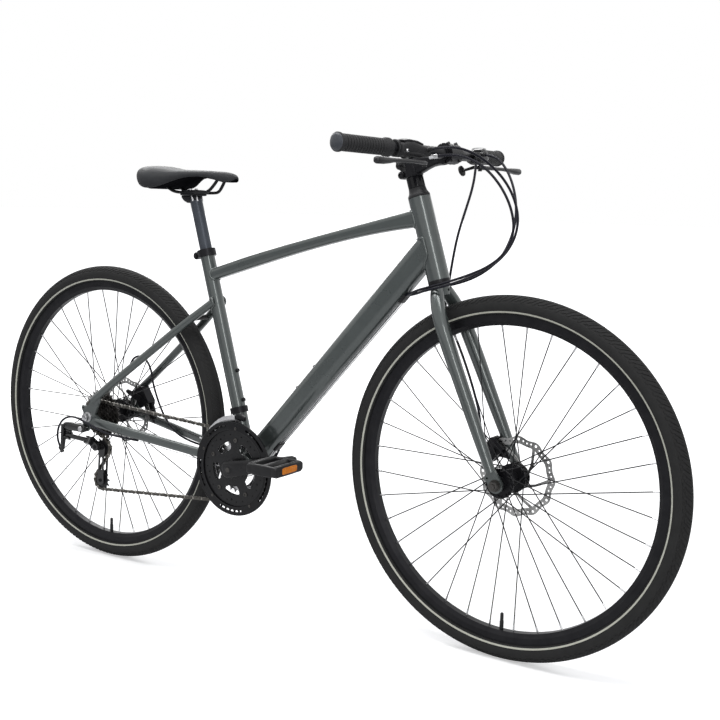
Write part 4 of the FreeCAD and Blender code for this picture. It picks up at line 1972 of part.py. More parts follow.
def write_wheels():
    save("front_tyre", tyre(front_axle_at), inner_tube(front_axle_at))
    save("front_rim", rim(front_axle_at))
    save("front_spokes", *spokes(front_axle_at, FRONT_FLANGE_RIGHT, FRONT_FLANGE_LEFT))
    save("front_hub", hub(front_axle_at, FRONT_HUB_WIDTH, FRONT_FLANGE_RIGHT, FRONT_FLANGE_LEFT,
                          FRONT_ROTOR_INSET, HUB_BODY_RADIUS))
    save("front_rotor", rotor(front_axle_at, FRONT_HUB_WIDTH, FRONT_ROTOR_INSET))
    save("rear_tyre", tyre(rear_axle_at), inner_tube(rear_axle_at))
    save("rear_rim", rim(rear_axle_at))
    save("rear_spokes", *spokes(rear_axle_at, REAR_FLANGE_RIGHT, REAR_FLANGE_LEFT))
    save("rear_hub", hub(rear_axle_at, REAR_HUB_WIDTH, REAR_FLANGE_RIGHT, REAR_FLANGE_LEFT,
                         REAR_ROTOR_INSET, FREEWHEEL_BORE_RADIUS))
    save("rear_rotor", rotor(rear_axle_at, REAR_HUB_WIDTH, REAR_ROTOR_INSET))


def write_seat():
    save("seatpost", *seatpost())
    save("saddle_base", saddle_shell(), *saddle_rails().Solids)
    save("saddle_cushion", saddle_cushion())


def write_drive():
    save("crank_arms", crank(RIGHT_SIDE), crank(LEFT_SIDE), *spindles())
    save("chainrings", *chainrings())
    save("chain_guard", chain_guard())
    save("right_pedal", *pedal(RIGHT_SIDE))
    save("left_pedal", *pedal(LEFT_SIDE))
    save("chain", *chain())
    save("freewheel", *freewheel())
    save("rear_derailleur_bracket", *derailleur_bracket())
    save("rear_derailleur_link", derailleur_link())
    save("rear_derailleur_knuckle", derailleur_knuckle())
    save("rear_derailleur_cage", derailleur_cage())
    save("guide_pulley", pulley(guide_pulley_at, guide_phase))
    save("tension_pulley", pulley(tension_pulley_at, tension_phase))
    save("front_derailleur_bracket", front_derailleur_bracket())
    save("front_derailleur_cage", front_derailleur_cage())


os.makedirs("parts", exist_ok=True)
write_frame()
write_steering()
write_brakes()
write_wheels()
write_seat()
write_drive()
print("chain links", chain_links, "cage lean", round(cage_lean, 2))
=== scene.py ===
import bpy
import bmesh
import math
from mathutils import Matrix, Vector


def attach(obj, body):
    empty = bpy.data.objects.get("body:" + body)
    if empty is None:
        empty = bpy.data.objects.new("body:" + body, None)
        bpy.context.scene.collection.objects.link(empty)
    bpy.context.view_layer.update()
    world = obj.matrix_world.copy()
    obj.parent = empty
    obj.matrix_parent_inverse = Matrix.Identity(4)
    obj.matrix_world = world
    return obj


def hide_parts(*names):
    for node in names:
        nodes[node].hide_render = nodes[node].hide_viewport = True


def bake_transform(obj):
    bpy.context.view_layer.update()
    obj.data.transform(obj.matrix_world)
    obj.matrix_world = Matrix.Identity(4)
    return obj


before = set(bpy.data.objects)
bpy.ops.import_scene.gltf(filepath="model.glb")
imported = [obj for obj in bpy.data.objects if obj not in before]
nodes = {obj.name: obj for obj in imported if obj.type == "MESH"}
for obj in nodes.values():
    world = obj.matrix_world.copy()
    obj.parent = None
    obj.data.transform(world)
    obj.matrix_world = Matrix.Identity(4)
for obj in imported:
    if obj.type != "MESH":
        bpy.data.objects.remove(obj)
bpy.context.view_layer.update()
X, Y, Z = Vector((1, 0, 0)), Vector((0, 1, 0)), Vector((0, 0, 1))


# The main frame is welded from drawn aluminium tubes with smoothed beads.
# It is sprayed a dark grey-green with fine metal flake under a clear lacquer.

def add_node(tree, kind, values=None, **settings):
    """A new node of a tree, with its settings and the values of its free sockets."""
    node = tree.nodes.new(kind)
    for setting, value in settings.items():
        setattr(node, setting, value)
    for socket, value in (values or {}).items():
        node.inputs[socket].default_value = value
    return node


def link_up(tree, *links):
    """Join sockets of a tree, each link as (node, output, node, input)."""
    for source, output, target, socket in links:
        tree.links.new(source.outputs[output], target.inputs[socket])


def surface_group(name, scale, output):
    """An empty shader node group that turns a place and a scale into one value, and its two ends."""
    group = bpy.data.node_groups.new(name, "ShaderNodeTree")
    group.interface.new_socket("Vector", in_out="INPUT", socket_type="NodeSocketVector")
    group.interface.new_socket("Scale", in_out="INPUT", socket_type="NodeSocketFloat").default_value = scale
    group.interface.new_socket(output, in_out="OUTPUT", socket_type="NodeSocketFloat")
    return group, group.nodes.new("NodeGroupInput"), group.nodes.new("NodeGroupOutput")


mottle_group, mottle_in, mottle_out = surface_group("mottle", 20.0, "Mask")
broad = add_node(mottle_group, "ShaderNodeTexNoise", {"Detail": 5.0, "Roughness": 0.62})
stretch = add_node(mottle_group, "ShaderNodeMapRange", {"From Min": 0.32, "From Max": 0.68})
link_up(mottle_group, (mottle_in, "Vector", broad, "Vector"), (mottle_in, "Scale", broad, "Scale"),
        (broad, "Fac", stretch, "Value"), (stretch, "Result", mottle_out, "Mask"))

grain_group, grain_in, grain_out = surface_group("grain", 900.0, "Height")
pebbles = add_node(grain_group, "ShaderNodeTexVoronoi")
haze = add_node(grain_group, "ShaderNodeTexNoise", {"Detail": 3.0})
pebbles_and_haze = add_node(grain_group, "ShaderNodeMath", {1: 0.6}, operation="MULTIPLY_ADD")
for texture in (pebbles, haze):
    link_up(grain_group, (grain_in, "Vector", texture, "Vector"), (grain_in, "Scale", texture, "Scale"))
link_up(grain_group, (pebbles, "Distance", pebbles_and_haze, 0), (haze, "Fac", pebbles_and_haze, 2),
        (pebbles_and_haze, "Value", grain_out, "Height"))
GRAIN_HEIGHT, COAT_ROUGH = 0.0004, 0.08


def finish_of(name, colour, second, rough, metal=0.0, coat=0.0, mottle=30.0, grain=900.0, depth=0.1,
              specular=0.5):
    """Material that drifts between two tones and two roughnesses, with a fine grain in its surface."""
    material = bpy.data.materials.new(name)
    material.use_nodes = True
    tree = material.node_tree
    shader = tree.nodes["Principled BSDF"]
    place = add_node(tree, "ShaderNodeTexCoord")
    cloud = add_node(tree, "ShaderNodeGroup", {"Scale": mottle}, node_tree=mottle_group)
    tone = add_node(tree, "ShaderNodeMix", {6: (*colour, 1), 7: (*second, 1)}, data_type="RGBA")
    gloss = add_node(tree, "ShaderNodeMapRange", {"To Min": rough[0], "To Max": rough[1]})
    skin = add_node(tree, "ShaderNodeGroup", {"Scale": grain}, node_tree=grain_group)
    bump = add_node(tree, "ShaderNodeBump", {"Strength": depth, "Distance": GRAIN_HEIGHT})
    link_up(tree, (place, "Object", cloud, "Vector"), (place, "Object", skin, "Vector"),
            (cloud, "Mask", tone, "Factor"), (cloud, "Mask", gloss, "Value"), (tone, 2, shader, "Base Color"),
            (gloss, "Result", shader, "Roughness"), (skin, "Height", bump, "Height"),
            (bump, "Normal", shader, "Normal"))
    for socket, value in (("Metallic", metal), ("Coat Weight", coat), ("Coat Roughness", COAT_ROUGH),
                          ("Specular IOR Level", specular)):
        shader.inputs[socket].default_value = value
    return material


def dress(material, *names):
    """Give CAD nodes a better material."""
    for name in names:
        slots = nodes[name].data.materials
        slots.clear()
        slots.append(material)
        for face in nodes[name].data.polygons:
            face.material_index = 0


frame_paint = finish_of("frame_paint", (0.06, 0.07, 0.068), (0.07, 0.081, 0.079), (0.26, 0.32), metal=0.5,
                        coat=0.9, mottle=14.0, grain=2600.0, depth=0.03, specular=0.3)
dress(frame_paint, "head_tube", "top_tube", "down_tube", "seat_tube", "bottom_bracket_shell", "chainstays",
      "seatstays", "rear_dropouts", "fork")


# Small fittings are fixed to the frame: moulded cable guides, black bottle bolts, pressed
# bearing cups, and the cast clamps of the seatpost and of the front gear.

black_plastic = finish_of("black_plastic", (0.009, 0.009, 0.01), (0.014, 0.014, 0.015), (0.38, 0.52),
                          mottle=60.0, grain=1200.0, depth=0.2, specular=0.25)
black_steel = finish_of("black_steel", (0.01, 0.01, 0.012), (0.02, 0.02, 0.021), (0.3, 0.45), metal=0.5,
                        mottle=60.0, grain=1800.0, specular=0.22)
black_alloy = finish_of("black_alloy", (0.009, 0.009, 0.011), (0.015, 0.015, 0.017), (0.3, 0.42), metal=0.5,
                        mottle=40.0, grain=1500.0, depth=0.08, specular=0.25)
dress(black_plastic, "frame_fittings")
dress(black_steel, "bottle_bolts", "frame_bearings")
dress(black_alloy, "seatpost_collar", "front_derailleur_bracket")


# Weld beads run round every joint of the main frame. They are laid by hand, filed smooth
# and sprayed with the tubes, so they show as a soft fillet in the same paint.

MERGE_GAP = 1e-6


def add_mesh(name, mesh, material, soft_angle):
    """Object for a finished mesh: merged, turned outwards and shaded softly up to an angle."""
    work = bmesh.new()
    work.from_mesh(mesh)
    bmesh.ops.remove_doubles(work, verts=work.verts, dist=MERGE_GAP)
    bmesh.ops.recalc_face_normals(work, faces=work.faces)
    for edge in work.edges:
        edge.smooth = len(edge.link_faces) == 2 and edge.calc_face_angle(0.0) < math.radians(soft_angle)
    for face in work.faces:
        face.smooth = True
    work.to_mesh(mesh)
    work.free()
    mesh.name = name
    if material is not None:
        mesh.materials.clear()
        mesh.materials.append(material)
        for face in mesh.polygons:
            face.material_index = 0
    piece = bpy.data.objects.new(name, mesh)
    bpy.context.collection.objects.link(piece)
    return piece


def join_meshes(meshes):
    """Several meshes as one, with their materials kept apart."""
    whole = bmesh.new()
    materials = []
    for mesh in meshes:
        first = len(whole.faces)
        whole.from_mesh(mesh)
        whole.faces.ensure_lookup_table()
        for face in whole.faces[first:]:
            old = mesh.materials[face.material_index] if mesh.materials else None
            if old not in materials:
                materials.append(old)
            face.material_index = materials.index(old)
    joined = bpy.data.meshes.new("joined")
    whole.to_mesh(joined)
    whole.free()
    for material in materials:
        joined.materials.append(material)
    return joined


def settle(piece, body, slot, *stands_for):
    """Say what a piece rides on and which CAD nodes it stands for; the slot argument is not used."""
    if body is not None:
        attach(piece, body)
    for node in stands_for:
        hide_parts(node)


def fit(name, meshes, material, soft_angle, body, slot, *stands_for):
    """One piece made of several meshes in one material, and settled."""
    piece = add_mesh(name, join_meshes(meshes), material, soft_angle)
    settle(piece, body, slot, *stands_for)
    return piece


def plain_mesh(holder):
    """The evaluated mesh of a curve or a modified object; the holder is removed."""
    bpy.context.view_layer.update()
    graph = bpy.context.evaluated_depsgraph_get()
    mesh = bpy.data.meshes.new_from_object(holder.evaluated_get(graph))
    bpy.data.objects.remove(holder)
    return mesh


def smooth_line(points, radius, closed=False, sides=3, steps=8):
    """Round bar along a smooth spline whose control points are given in metres."""
    curve = bpy.data.curves.new("line", "CURVE")
    curve.dimensions = "3D"
    curve.bevel_depth = radius
    curve.bevel_resolution = sides
    curve.use_fill_caps = not closed
    spline = curve.splines.new("NURBS")
    spline.points.add(len(points) - 1)
    for control, point in zip(spline.points, points):
        control.co = (*point, 1)
    spline.order_u = 3
    spline.use_endpoint_u = not closed
    spline.use_cyclic_u = closed
    spline.resolution_u = steps
    holder = bpy.data.objects.new("line", curve)
    bpy.context.collection.objects.link(holder)
    return plain_mesh(holder)


def side_slope(degrees):
    """The way that rises at an angle in the side plane, measured up from straight ahead."""
    return Vector((math.cos(math.radians(degrees)), 0, math.sin(math.radians(degrees))))


BRACKET, HEAD_BOTTOM = Vector((-0.097, 0, 0.291)), Vector((0.364, 0, 0.724))
REAR_AXLE, FRONT_AXLE = Vector((-0.529, 0, 0.353)), Vector((0.529, 0, 0.353))
SEAT_WAY, HEAD_WAY = side_slope(180 - 74.2), side_slope(180 - 72.5)
HEAD_TUBE, SEAT_TUBE, SHELL = (HEAD_BOTTOM, HEAD_WAY, 0.022), (BRACKET, SEAT_WAY, 0.0159), (BRACKET, Y, 0.022)
DOWN_END, TOP_HEAD_END = HEAD_BOTTOM + HEAD_WAY * 0.068, HEAD_BOTTOM + HEAD_WAY * 0.126
TOP_SEAT_END, STAY_TOP = BRACKET + SEAT_WAY * 0.426, BRACKET + SEAT_WAY * 0.366
TOP_BEND = TOP_SEAT_END + Vector((0.313, 0, 0.095))
BEAD, BEAD_POINTS, CORNER_RATE = 0.0027, 40, 3
down_way, top_rear_way = (DOWN_END - BRACKET).normalized(), (TOP_BEND - TOP_SEAT_END).normalized()
top_front_way = (TOP_HEAD_END - TOP_BEND).normalized()
stay_way = (REAR_AXLE + Z * 0.029 - STAY_TOP).normalized()
chain_way = (REAR_AXLE - Z * 0.007 - BRACKET).normalized()


def weld_loop(start, way, width, height, corner, target):
    """Where a rounded tube that runs from a point along a way first meets another tube."""
    tall = Y.cross(way).normalized()
    centre, axis, radius = target
    flat_way = way - axis * way.dot(axis)
    loop = []
    for step in range(BEAD_POINTS):
        turn = 2 * math.pi * step / BEAD_POINTS
        edge = start
        for out, size, share in ((Y, width, math.cos(turn)), (tall, height, math.sin(turn))):
            straight = math.copysign(size / 2 - corner, share) * min(1, abs(share) * CORNER_RATE)
            edge = edge + out * (straight + corner * share)
        offset = edge - centre
        flat_offset = offset - axis * offset.dot(axis)
        a, b = flat_way.dot(flat_way), flat_way.dot(flat_offset)
        c = flat_offset.dot(flat_offset) - radius * radius
        loop.append(edge + way * ((-b - math.sqrt(max(b * b - a * c, 0.0))) / a))
    return loop


meetings = [(BRACKET + down_way * 0.4, down_way, 0.0466, 0.0526, 0.016, HEAD_TUBE),
            (BRACKET + down_way * 0.2, -down_way, 0.0515, 0.0494, 0.016, SHELL),
            (TOP_BEND + top_front_way * 0.1, top_front_way, 0.0348, 0.035, 0.009, HEAD_TUBE),
            (TOP_SEAT_END + top_rear_way * 0.1, -top_rear_way, 0.028, 0.025, 0.009, SEAT_TUBE),
            (BRACKET + SEAT_WAY * 0.1, -SEAT_WAY, 0.0318, 0.0318, 0.0159, SHELL)]
for side in (-1, 1):
    high, low = STAY_TOP + Y * (0.014 * side), STAY_TOP + stay_way * 0.098 + Y * (0.037 * side)
    meetings.append((low, (high - low).normalized(), 0.018, 0.018, 0.009, SEAT_TUBE))
    near = BRACKET + chain_way * 0.015 + Y * (0.024 * side)
    far = BRACKET + chain_way * 0.062 + Y * (0.0275 * side)
    meetings.append((far, (near - far).normalized(), 0.0165, 0.022, 0.0075, SHELL))
beads = [smooth_line(weld_loop(*meeting), BEAD, closed=True, steps=3) for meeting in meetings]
fit("frame_welds", beads, frame_paint, 80.0, "frame", "frame_paint")


# Three lined steel cables in plastic covers run from the controls in wide loops to a guide
# under the down tube, go on as bare wire, and have short covers again at the brake and gear.

def millimetres(points):
    """Points in metres from a table in millimetres."""
    return [Vector(point) / 1000 for point in points]


COVER_RADIUS, WIRE_RADIUS = 0.0025, 0.0008
REAR_BRAKE_LOOP = ((404, -94, 956), (424, -84, 960), (448, -70, 957), (476, -54, 942), (502, -38, 912),
                   (522, -26, 872), (530, -20, 828), (515, -18, 786), (482, -22, 757), (440, -28, 738),
                   (398, -33, 723), (358, -34, 711), (324, -21, 702), (296, -8, 690))
REAR_GEAR_LOOP = ((398, -104, 968), (420, -92, 974), (446, -66, 970), (470, -34, 953), (492, 0, 922),
                  (508, 20, 884), (516, 26, 842), (508, 22, 800), (484, 10, 764), (446, -8, 738),
                  (404, -36, 718), (358, -42, 706), (322, -16, 695), (296, 0, 690))
FRONT_GEAR_LOOP = ((401, 104, 968), (424, 100, 965), (446, 92, 950), (468, 82, 924), (486, 70, 888),
                   (495, 58, 848), (492, 46, 808), (476, 40, 772), (446, 37, 744), (408, 36, 724),
                   (360, 34, 710), (324, 22, 701), (296, 8, 690))
REAR_BRAKE_TAIL = ((-24, 8, 331), (-58, 18, 278), (-101, 30, 257), (-150, 36, 281), (-205, 43, 289),
                   (-262, 48, 296.5), (-320, 46, 304), (-362, 43, 320), (-395, 43, 352), (-418, 44, 392),
                   (-434, 45, 430), (-440, 45, 464), (-458, 44.5, 488), (-484, 43, 492), (-504, 41, 474),
                   (-511, 38, 444))
REAR_GEAR_TAIL = ((-380, -60, 313.5), (-420, -70, 317), (-462, -84, 324), (-504, -94, 340), (-548, -98, 356),
                  (-588, -97, 346), (-612, -94, 316), (-616, -90, 282), (-604, -87, 262))
REAR_GEAR_WIRE = ((-25, 0, 333), (-59, -8, 279), (-102, -26, 260), (-150, -36, 283), (-206, -43, 291.5),
                  (-290, -50, 302), (-380, -60, 313.5))
FRONT_GEAR_WIRE = ((-25, -8, 333), (-60, -8, 284), (-97, -8, 262), (-120, -8, 272), (-133, -9, 302),
                   (-140, -12, 360), (-141, -14, 392))
WIRE_LANES, LOW_DROP, HIGH_DROP = (-0.008, 0, 0.008), 0.0272, 0.0292
cable_cover = finish_of("cable_cover", (0.003, 0.003, 0.008), (0.007, 0.007, 0.013), (0.28, 0.4), mottle=50.0,
                        grain=1500.0, depth=0.06, specular=0.22)
bright_steel = finish_of("bright_steel", (0.5, 0.5, 0.51), (0.62, 0.62, 0.63), (0.22, 0.36), metal=1.0,
                         mottle=80.0, grain=2200.0)
loops = [smooth_line(millimetres(route), COVER_RADIUS)
         for route in (REAR_BRAKE_LOOP, REAR_GEAR_LOOP, FRONT_GEAR_LOOP)]
cable_loops = fit("cable_loops", loops, cable_cover, 60.0, None, "cable_cover", "frame_cables")
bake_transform(cable_loops)
tails = [smooth_line(millimetres(route), COVER_RADIUS) for route in (REAR_BRAKE_TAIL, REAR_GEAR_TAIL)]
fit("cable_tails", tails, cable_cover, 60.0, "frame", "cable_cover", "frame_cables")
down_drop = Y.cross(down_way).normalized()
low_guide = BRACKET + down_way * 0.1 + down_drop * LOW_DROP
high_guide = BRACKET + down_way * 0.539 + down_drop * HIGH_DROP
wire_routes = [[low_guide + Y * lane, high_guide + Y * lane] for lane in WIRE_LANES]
wire_routes += [millimetres(REAR_GEAR_WIRE), millimetres(FRONT_GEAR_WIRE)]
wires = [smooth_line(route, WIRE_RADIUS, sides=1) for route in wire_routes]
fit("cable_wires", wires, bright_steel, 60.0, "frame", "bright_steel", "frame_cables")


# The tyres are moulded rubber: smooth side walls with a pale reflecting line, a plain middle rib
# and slanting shoulder blocks. They are held on the rims by the air in their tubes.

def plain_points(vertices, faces):
    """Mesh of points and faces."""
    mesh = bpy.data.meshes.new("points")
    mesh.from_pydata([tuple(vertex) for vertex in vertices], [], faces)
    return mesh


def turn_outline(outline, centre, axis, out, steps, closed=True):
    """Mesh of an outline of (radius, along) points turned about an axis."""
    side = axis.cross(out)
    vertices, faces = [], []
    count = len(outline)
    for step in range(steps):
        turn = 2 * math.pi * step / steps
        spoke = out * math.cos(turn) + side * math.sin(turn)
        vertices += [centre + spoke * radius + axis * along for radius, along in outline]
        first, second = step * count, (step + 1) % steps * count
        for place in range(count if closed else count - 1):
            other = (place + 1) % count
            faces.append((first + place, first + other, second + other, second + place))
    return plain_points(vertices, faces)


def geometry_tree(name, *inputs):
    """An empty Geometry Nodes tree, its two ends, and the key of each of its inputs."""
    tree = bpy.data.node_groups.new(name, "GeometryNodeTree")
    keys = {}
    for socket, kind in inputs:
        made = tree.interface.new_socket(socket, in_out="INPUT", socket_type="NodeSocket" + kind)
        keys[socket] = made.identifier
    tree.interface.new_socket("Geometry", in_out="OUTPUT", socket_type="NodeSocketGeometry")
    return tree, tree.nodes.new("NodeGroupInput"), tree.nodes.new("NodeGroupOutput"), keys


def grow(tree, keys, places, template, **values):
    """Plain mesh that a tree makes of a template, on a mesh of places."""
    sample, holder = bpy.data.objects.new("template", template), bpy.data.objects.new("copies", places)
    for thing in (sample, holder):
        bpy.context.collection.objects.link(thing)
    modifier = holder.modifiers.new(tree.name, "NODES")
    modifier.node_group = tree
    for name, value in (("Template", sample), *values.items()):
        modifier[keys[name]] = value
    mesh = plain_mesh(holder)
    bpy.data.objects.remove(sample)
    return mesh


ring_tree, ring_in, ring_out, ring_keys = geometry_tree(
    "repeat_round", ("Template", "Object"), ("Count", "Int"), ("Axle", "Vector"), ("Finish", "Material"))
places = add_node(ring_tree, "GeometryNodePoints")
number = add_node(ring_tree, "GeometryNodeInputIndex")
share = add_node(ring_tree, "ShaderNodeMath", operation="DIVIDE")
angle = add_node(ring_tree, "ShaderNodeMath", {1: 2 * math.pi}, operation="MULTIPLY")
about_axle = add_node(ring_tree, "ShaderNodeCombineXYZ")
facing = add_node(ring_tree, "FunctionNodeEulerToRotation")
shape = add_node(ring_tree, "GeometryNodeObjectInfo")
copies = add_node(ring_tree, "GeometryNodeInstanceOnPoints")
move = add_node(ring_tree, "GeometryNodeTransform")
realize = add_node(ring_tree, "GeometryNodeRealizeInstances")
coat_it = add_node(ring_tree, "GeometryNodeSetMaterial")
link_up(ring_tree, (ring_in, "Count", places, "Count"), (number, 0, share, 0), (ring_in, "Count", share, 1),
        (share, 0, angle, 0), (angle, 0, about_axle, "Y"), (about_axle, 0, facing, 0),
        (ring_in, "Template", shape, "Object"), (places, 0, copies, "Points"),
        (shape, "Geometry", copies, "Instance"), (facing, 0, copies, "Rotation"), (copies, 0, move, "Geometry"),
        (ring_in, "Axle", move, "Translation"), (move, 0, realize, 0), (realize, 0, coat_it, "Geometry"),
        (ring_in, "Finish", coat_it, "Material"), (coat_it, 0, ring_out, 0))


def repeat_round(template, count, axle, material):
    """Plain mesh of a template repeated evenly round an axle that points left."""
    start = bpy.data.meshes.new("start")
    return grow(ring_tree, ring_keys, start, template, Count=count, Axle=axle, Finish=material)


WHEELS = (("front", FRONT_AXLE), ("rear", REAR_AXLE))
TYRE_MIDDLE, TYRE_ROUND, TYRE_STEPS = 0.332, 0.021, 160
WALL_EDGE, WALL_STEP = 132, 4
TREAD_DEPTH, TREAD_ROOT, TREAD_REPEATS, TREAD_EDGE, RIB_EDGE = 0.0011, 0.0004, 92, 66, 9
SHOULDER_ENDS, RIB_GAP = (58, 47, 63, 52), 4
BLOCK_ROWS, BLOCK_START, BLOCK_WIDE, BLOCK_SLANT, LEFT_SHIFT = 4, 0.12, 0.74, 0.55, 0.5
BEAD_SEAT = ((0.3175, 0.0112), (0.3125, 0.0102), (0.3125, -0.0102), (0.3175, -0.0112))
LINE_SECTION = ((113.5, 0.0002), (113.5, 0.0004), (123, 0.0004), (123, 0.0002))
rubber = finish_of("rubber", (0.012, 0.012, 0.012), (0.02, 0.02, 0.02), (0.62, 0.78), mottle=45.0, grain=1100.0,
                   depth=0.35, specular=0.22)
reflector = finish_of("pale_line", (0.42, 0.42, 0.36), (0.5, 0.5, 0.43), (0.4, 0.55), mottle=60.0)


def tyre_spot(lean, height):
    """(radius, across) on the tyre's section, so many degrees round it from the crown."""
    return TYRE_MIDDLE + height * math.cos(math.radians(lean)), height * math.sin(math.radians(lean))


def tyre_point(lean, turn, height):
    """Point on the tyre: so far round the section from the crown, and so far round the wheel."""
    radius, across = tyre_spot(lean, height)
    return Vector((radius * math.cos(turn), across, radius * math.sin(turn)))


def tread_block(first, last, start, width, slant):
    """Raised block that runs from the middle rib out to the shoulder and slants backwards."""
    vertices, faces = [], []
    for row in range(BLOCK_ROWS):
        way = row / (BLOCK_ROWS - 1)
        lean, turn = first + (last - first) * way, start + slant * way
        for height in (TYRE_ROUND - TREAD_DEPTH - TREAD_ROOT, TYRE_ROUND):
            vertices += [tyre_point(lean, turn, height), tyre_point(lean, turn + width, height)]
    for low in range(0, len(vertices) - 4, 4):
        for a, b in ((2, 3), (3, 1), (0, 2)):
            faces.append((low + a, low + b, low + 4 + b, low + 4 + a))
    end = len(vertices)
    return plain_points(vertices, faces + [(0, 1, 3, 2), (end - 4, end - 2, end - 1, end - 3)])


block_turn = 2 * math.pi / TREAD_REPEATS / len(SHOULDER_ENDS)
blocks = []
for side in (-1, 1):
    for number, end in enumerate(SHOULDER_ENDS):
        start = block_turn * (number + BLOCK_START + (LEFT_SHIFT if side > 0 else 0))
        blocks.append(tread_block(side * (RIB_EDGE + RIB_GAP), side * end, start, block_turn * BLOCK_WIDE,
                                  block_turn * len(SHOULDER_ENDS) * BLOCK_SLANT))
tread_template = join_meshes(blocks)
casing = []
for lean in range(-WALL_EDGE, WALL_EDGE + 1, WALL_STEP):
    sunk = TREAD_DEPTH if RIB_EDGE < abs(lean) < TREAD_EDGE else 0.0
    casing.append(tyre_spot(lean, TYRE_ROUND - sunk))
casing += BEAD_SEAT
for end, axle in WHEELS:
    tread = repeat_round(tread_template.copy(), TREAD_REPEATS, axle, rubber)
    fit(end + "_tyre_tread", [turn_outline(casing, axle, Y, X, TYRE_STEPS), tread], rubber, 35.0,
        end + "_wheel", "tyre_rubber", end + "_tyre")
    lines = []
    for side in (-1, 1):
        spots = [tyre_spot(lean, TYRE_ROUND + height) for lean, height in LINE_SECTION]
        outline = [(radius, side * across) for radius, across in spots]
        lines.append(turn_outline(outline, axle, Y, X, TYRE_STEPS))
    fit(end + "_tyre_line", lines, reflector, 30.0, end + "_wheel", "tyre_rubber")


# The wheels have thirty-six crossed steel spokes each, blacked, with plated nipples at the rim
# and formed heads in the hub flanges. The tube's valve stands up through the rim, and the rims
# and hubs are black alloy on steel axles with nuts.

def bar_between(start, end, radius, sides=8):
    """Round bar from one point to another, closed at its ends."""
    axis = (end - start).normalized()
    out = axis.orthogonal().normalized()
    side = axis.cross(out)
    turns = [2 * math.pi * step / sides for step in range(sides)]
    ring = [out * math.cos(turn) + side * math.sin(turn) for turn in turns]
    vertices = [start + way * radius for way in ring] + [end + way * radius for way in ring]
    faces = [(n, (n + 1) % sides, (n + 1) % sides + sides, n + sides) for n in range(sides)]
    return plain_points(vertices, faces + [tuple(range(sides))[::-1], tuple(range(sides, 2 * sides))])


SPOKE_COUNT, SPOKE_PATTERN, SPOKE_STEP, FIRST_SPOKE, SPOKE_CROSS = 36, 4, 10, 5, 60
SPOKE_RADIUS, HEAD_RADIUS, HEAD_THICK, HEAD_SINK = 0.00115, 0.0022, 0.0008, 0.9
NIPPLE_LENGTH, NIPPLE_RADIUS, RIM_REACH, HOLE_CIRCLE = 0.012, 0.0019, 0.2954, 0.024
OUTSIDE, INSIDE = 0.0046, 0.0027
FLANGES = {"front": (0.035, 0.019), "rear": (0.018, 0.032)}
VALVE_OUTLINE = ((0, 0.2625), (0.0022, 0.263), (0.0034, 0.265), (0.0034, 0.279), (0.004, 0.2795),
                 (0.004, 0.2965), (0, 0.2965))
dark_steel = finish_of("dark_steel", (0.05, 0.048, 0.046), (0.1, 0.095, 0.09), (0.3, 0.5), metal=0.9,
                       mottle=70.0, grain=1600.0, depth=0.15)
dress(black_alloy, "front_rim", "rear_rim", "front_hub", "rear_hub")
dress(dark_steel, "front_axle")
dress(bright_steel, "rear_axle")


def spoke_set(flanges):
    """Four spokes of a wheel about its axle, as bars and nipples: the pattern repeats after four."""
    bars, nipples = [], []
    for number in range(SPOKE_PATTERN):
        flange, sign = flanges[number % 2], (-1, 1)[number % 2]
        trailing = number // 2 % 2
        rim_turn = math.radians(number * SPOKE_STEP + FIRST_SPOKE)
        hub_turn = rim_turn + math.radians(SPOKE_CROSS if trailing else -SPOKE_CROSS)
        across = sign * (flange + (OUTSIDE if trailing else -INSIDE))
        hub_end = Vector((HOLE_CIRCLE * math.cos(hub_turn), across, HOLE_CIRCLE * math.sin(hub_turn)))
        rim_end = Vector((RIM_REACH * math.cos(rim_turn), 0, RIM_REACH * math.sin(rim_turn)))
        neck = rim_end + (hub_end - rim_end).normalized() * NIPPLE_LENGTH
        head = sign * (flange + (-INSIDE * HEAD_SINK if trailing else OUTSIDE * HEAD_SINK))
        head_end = Vector((hub_end.x, head, hub_end.z))
        cap = head_end + Y * (HEAD_THICK * sign * (-1 if trailing else 1))
        bars += [bar_between(hub_end, neck, SPOKE_RADIUS), bar_between(hub_end, head_end, SPOKE_RADIUS),
                 bar_between(head_end, cap, HEAD_RADIUS)]
        nipples.append(bar_between(neck, rim_end, NIPPLE_RADIUS, 6))
    return join_meshes(bars), join_meshes(nipples)


for end, axle in WHEELS:
    bars, nipples = [repeat_round(template, SPOKE_COUNT // SPOKE_PATTERN, axle, material)
                     for template, material in zip(spoke_set(FLANGES[end]), (black_steel, bright_steel))]
    valve = turn_outline(VALVE_OUTLINE, axle, -Z, X, 16, closed=False)
    fit(end + "_spoke_set", [bars], black_steel, 50.0, end + "_wheel", "black_steel", end + "_spokes")
    fit(end + "_spoke_nipples", [nipples], bright_steel, 50.0, end + "_wheel", "bright_steel", end + "_spokes")
    fit(end + "_valve", [valve], black_plastic, 40.0, end + "_wheel", "black_plastic")


# The brake discs are punched from stainless plate, with a waved edge and vent holes, and are
# ground on both sides. Six screws hold each of them to its hub.

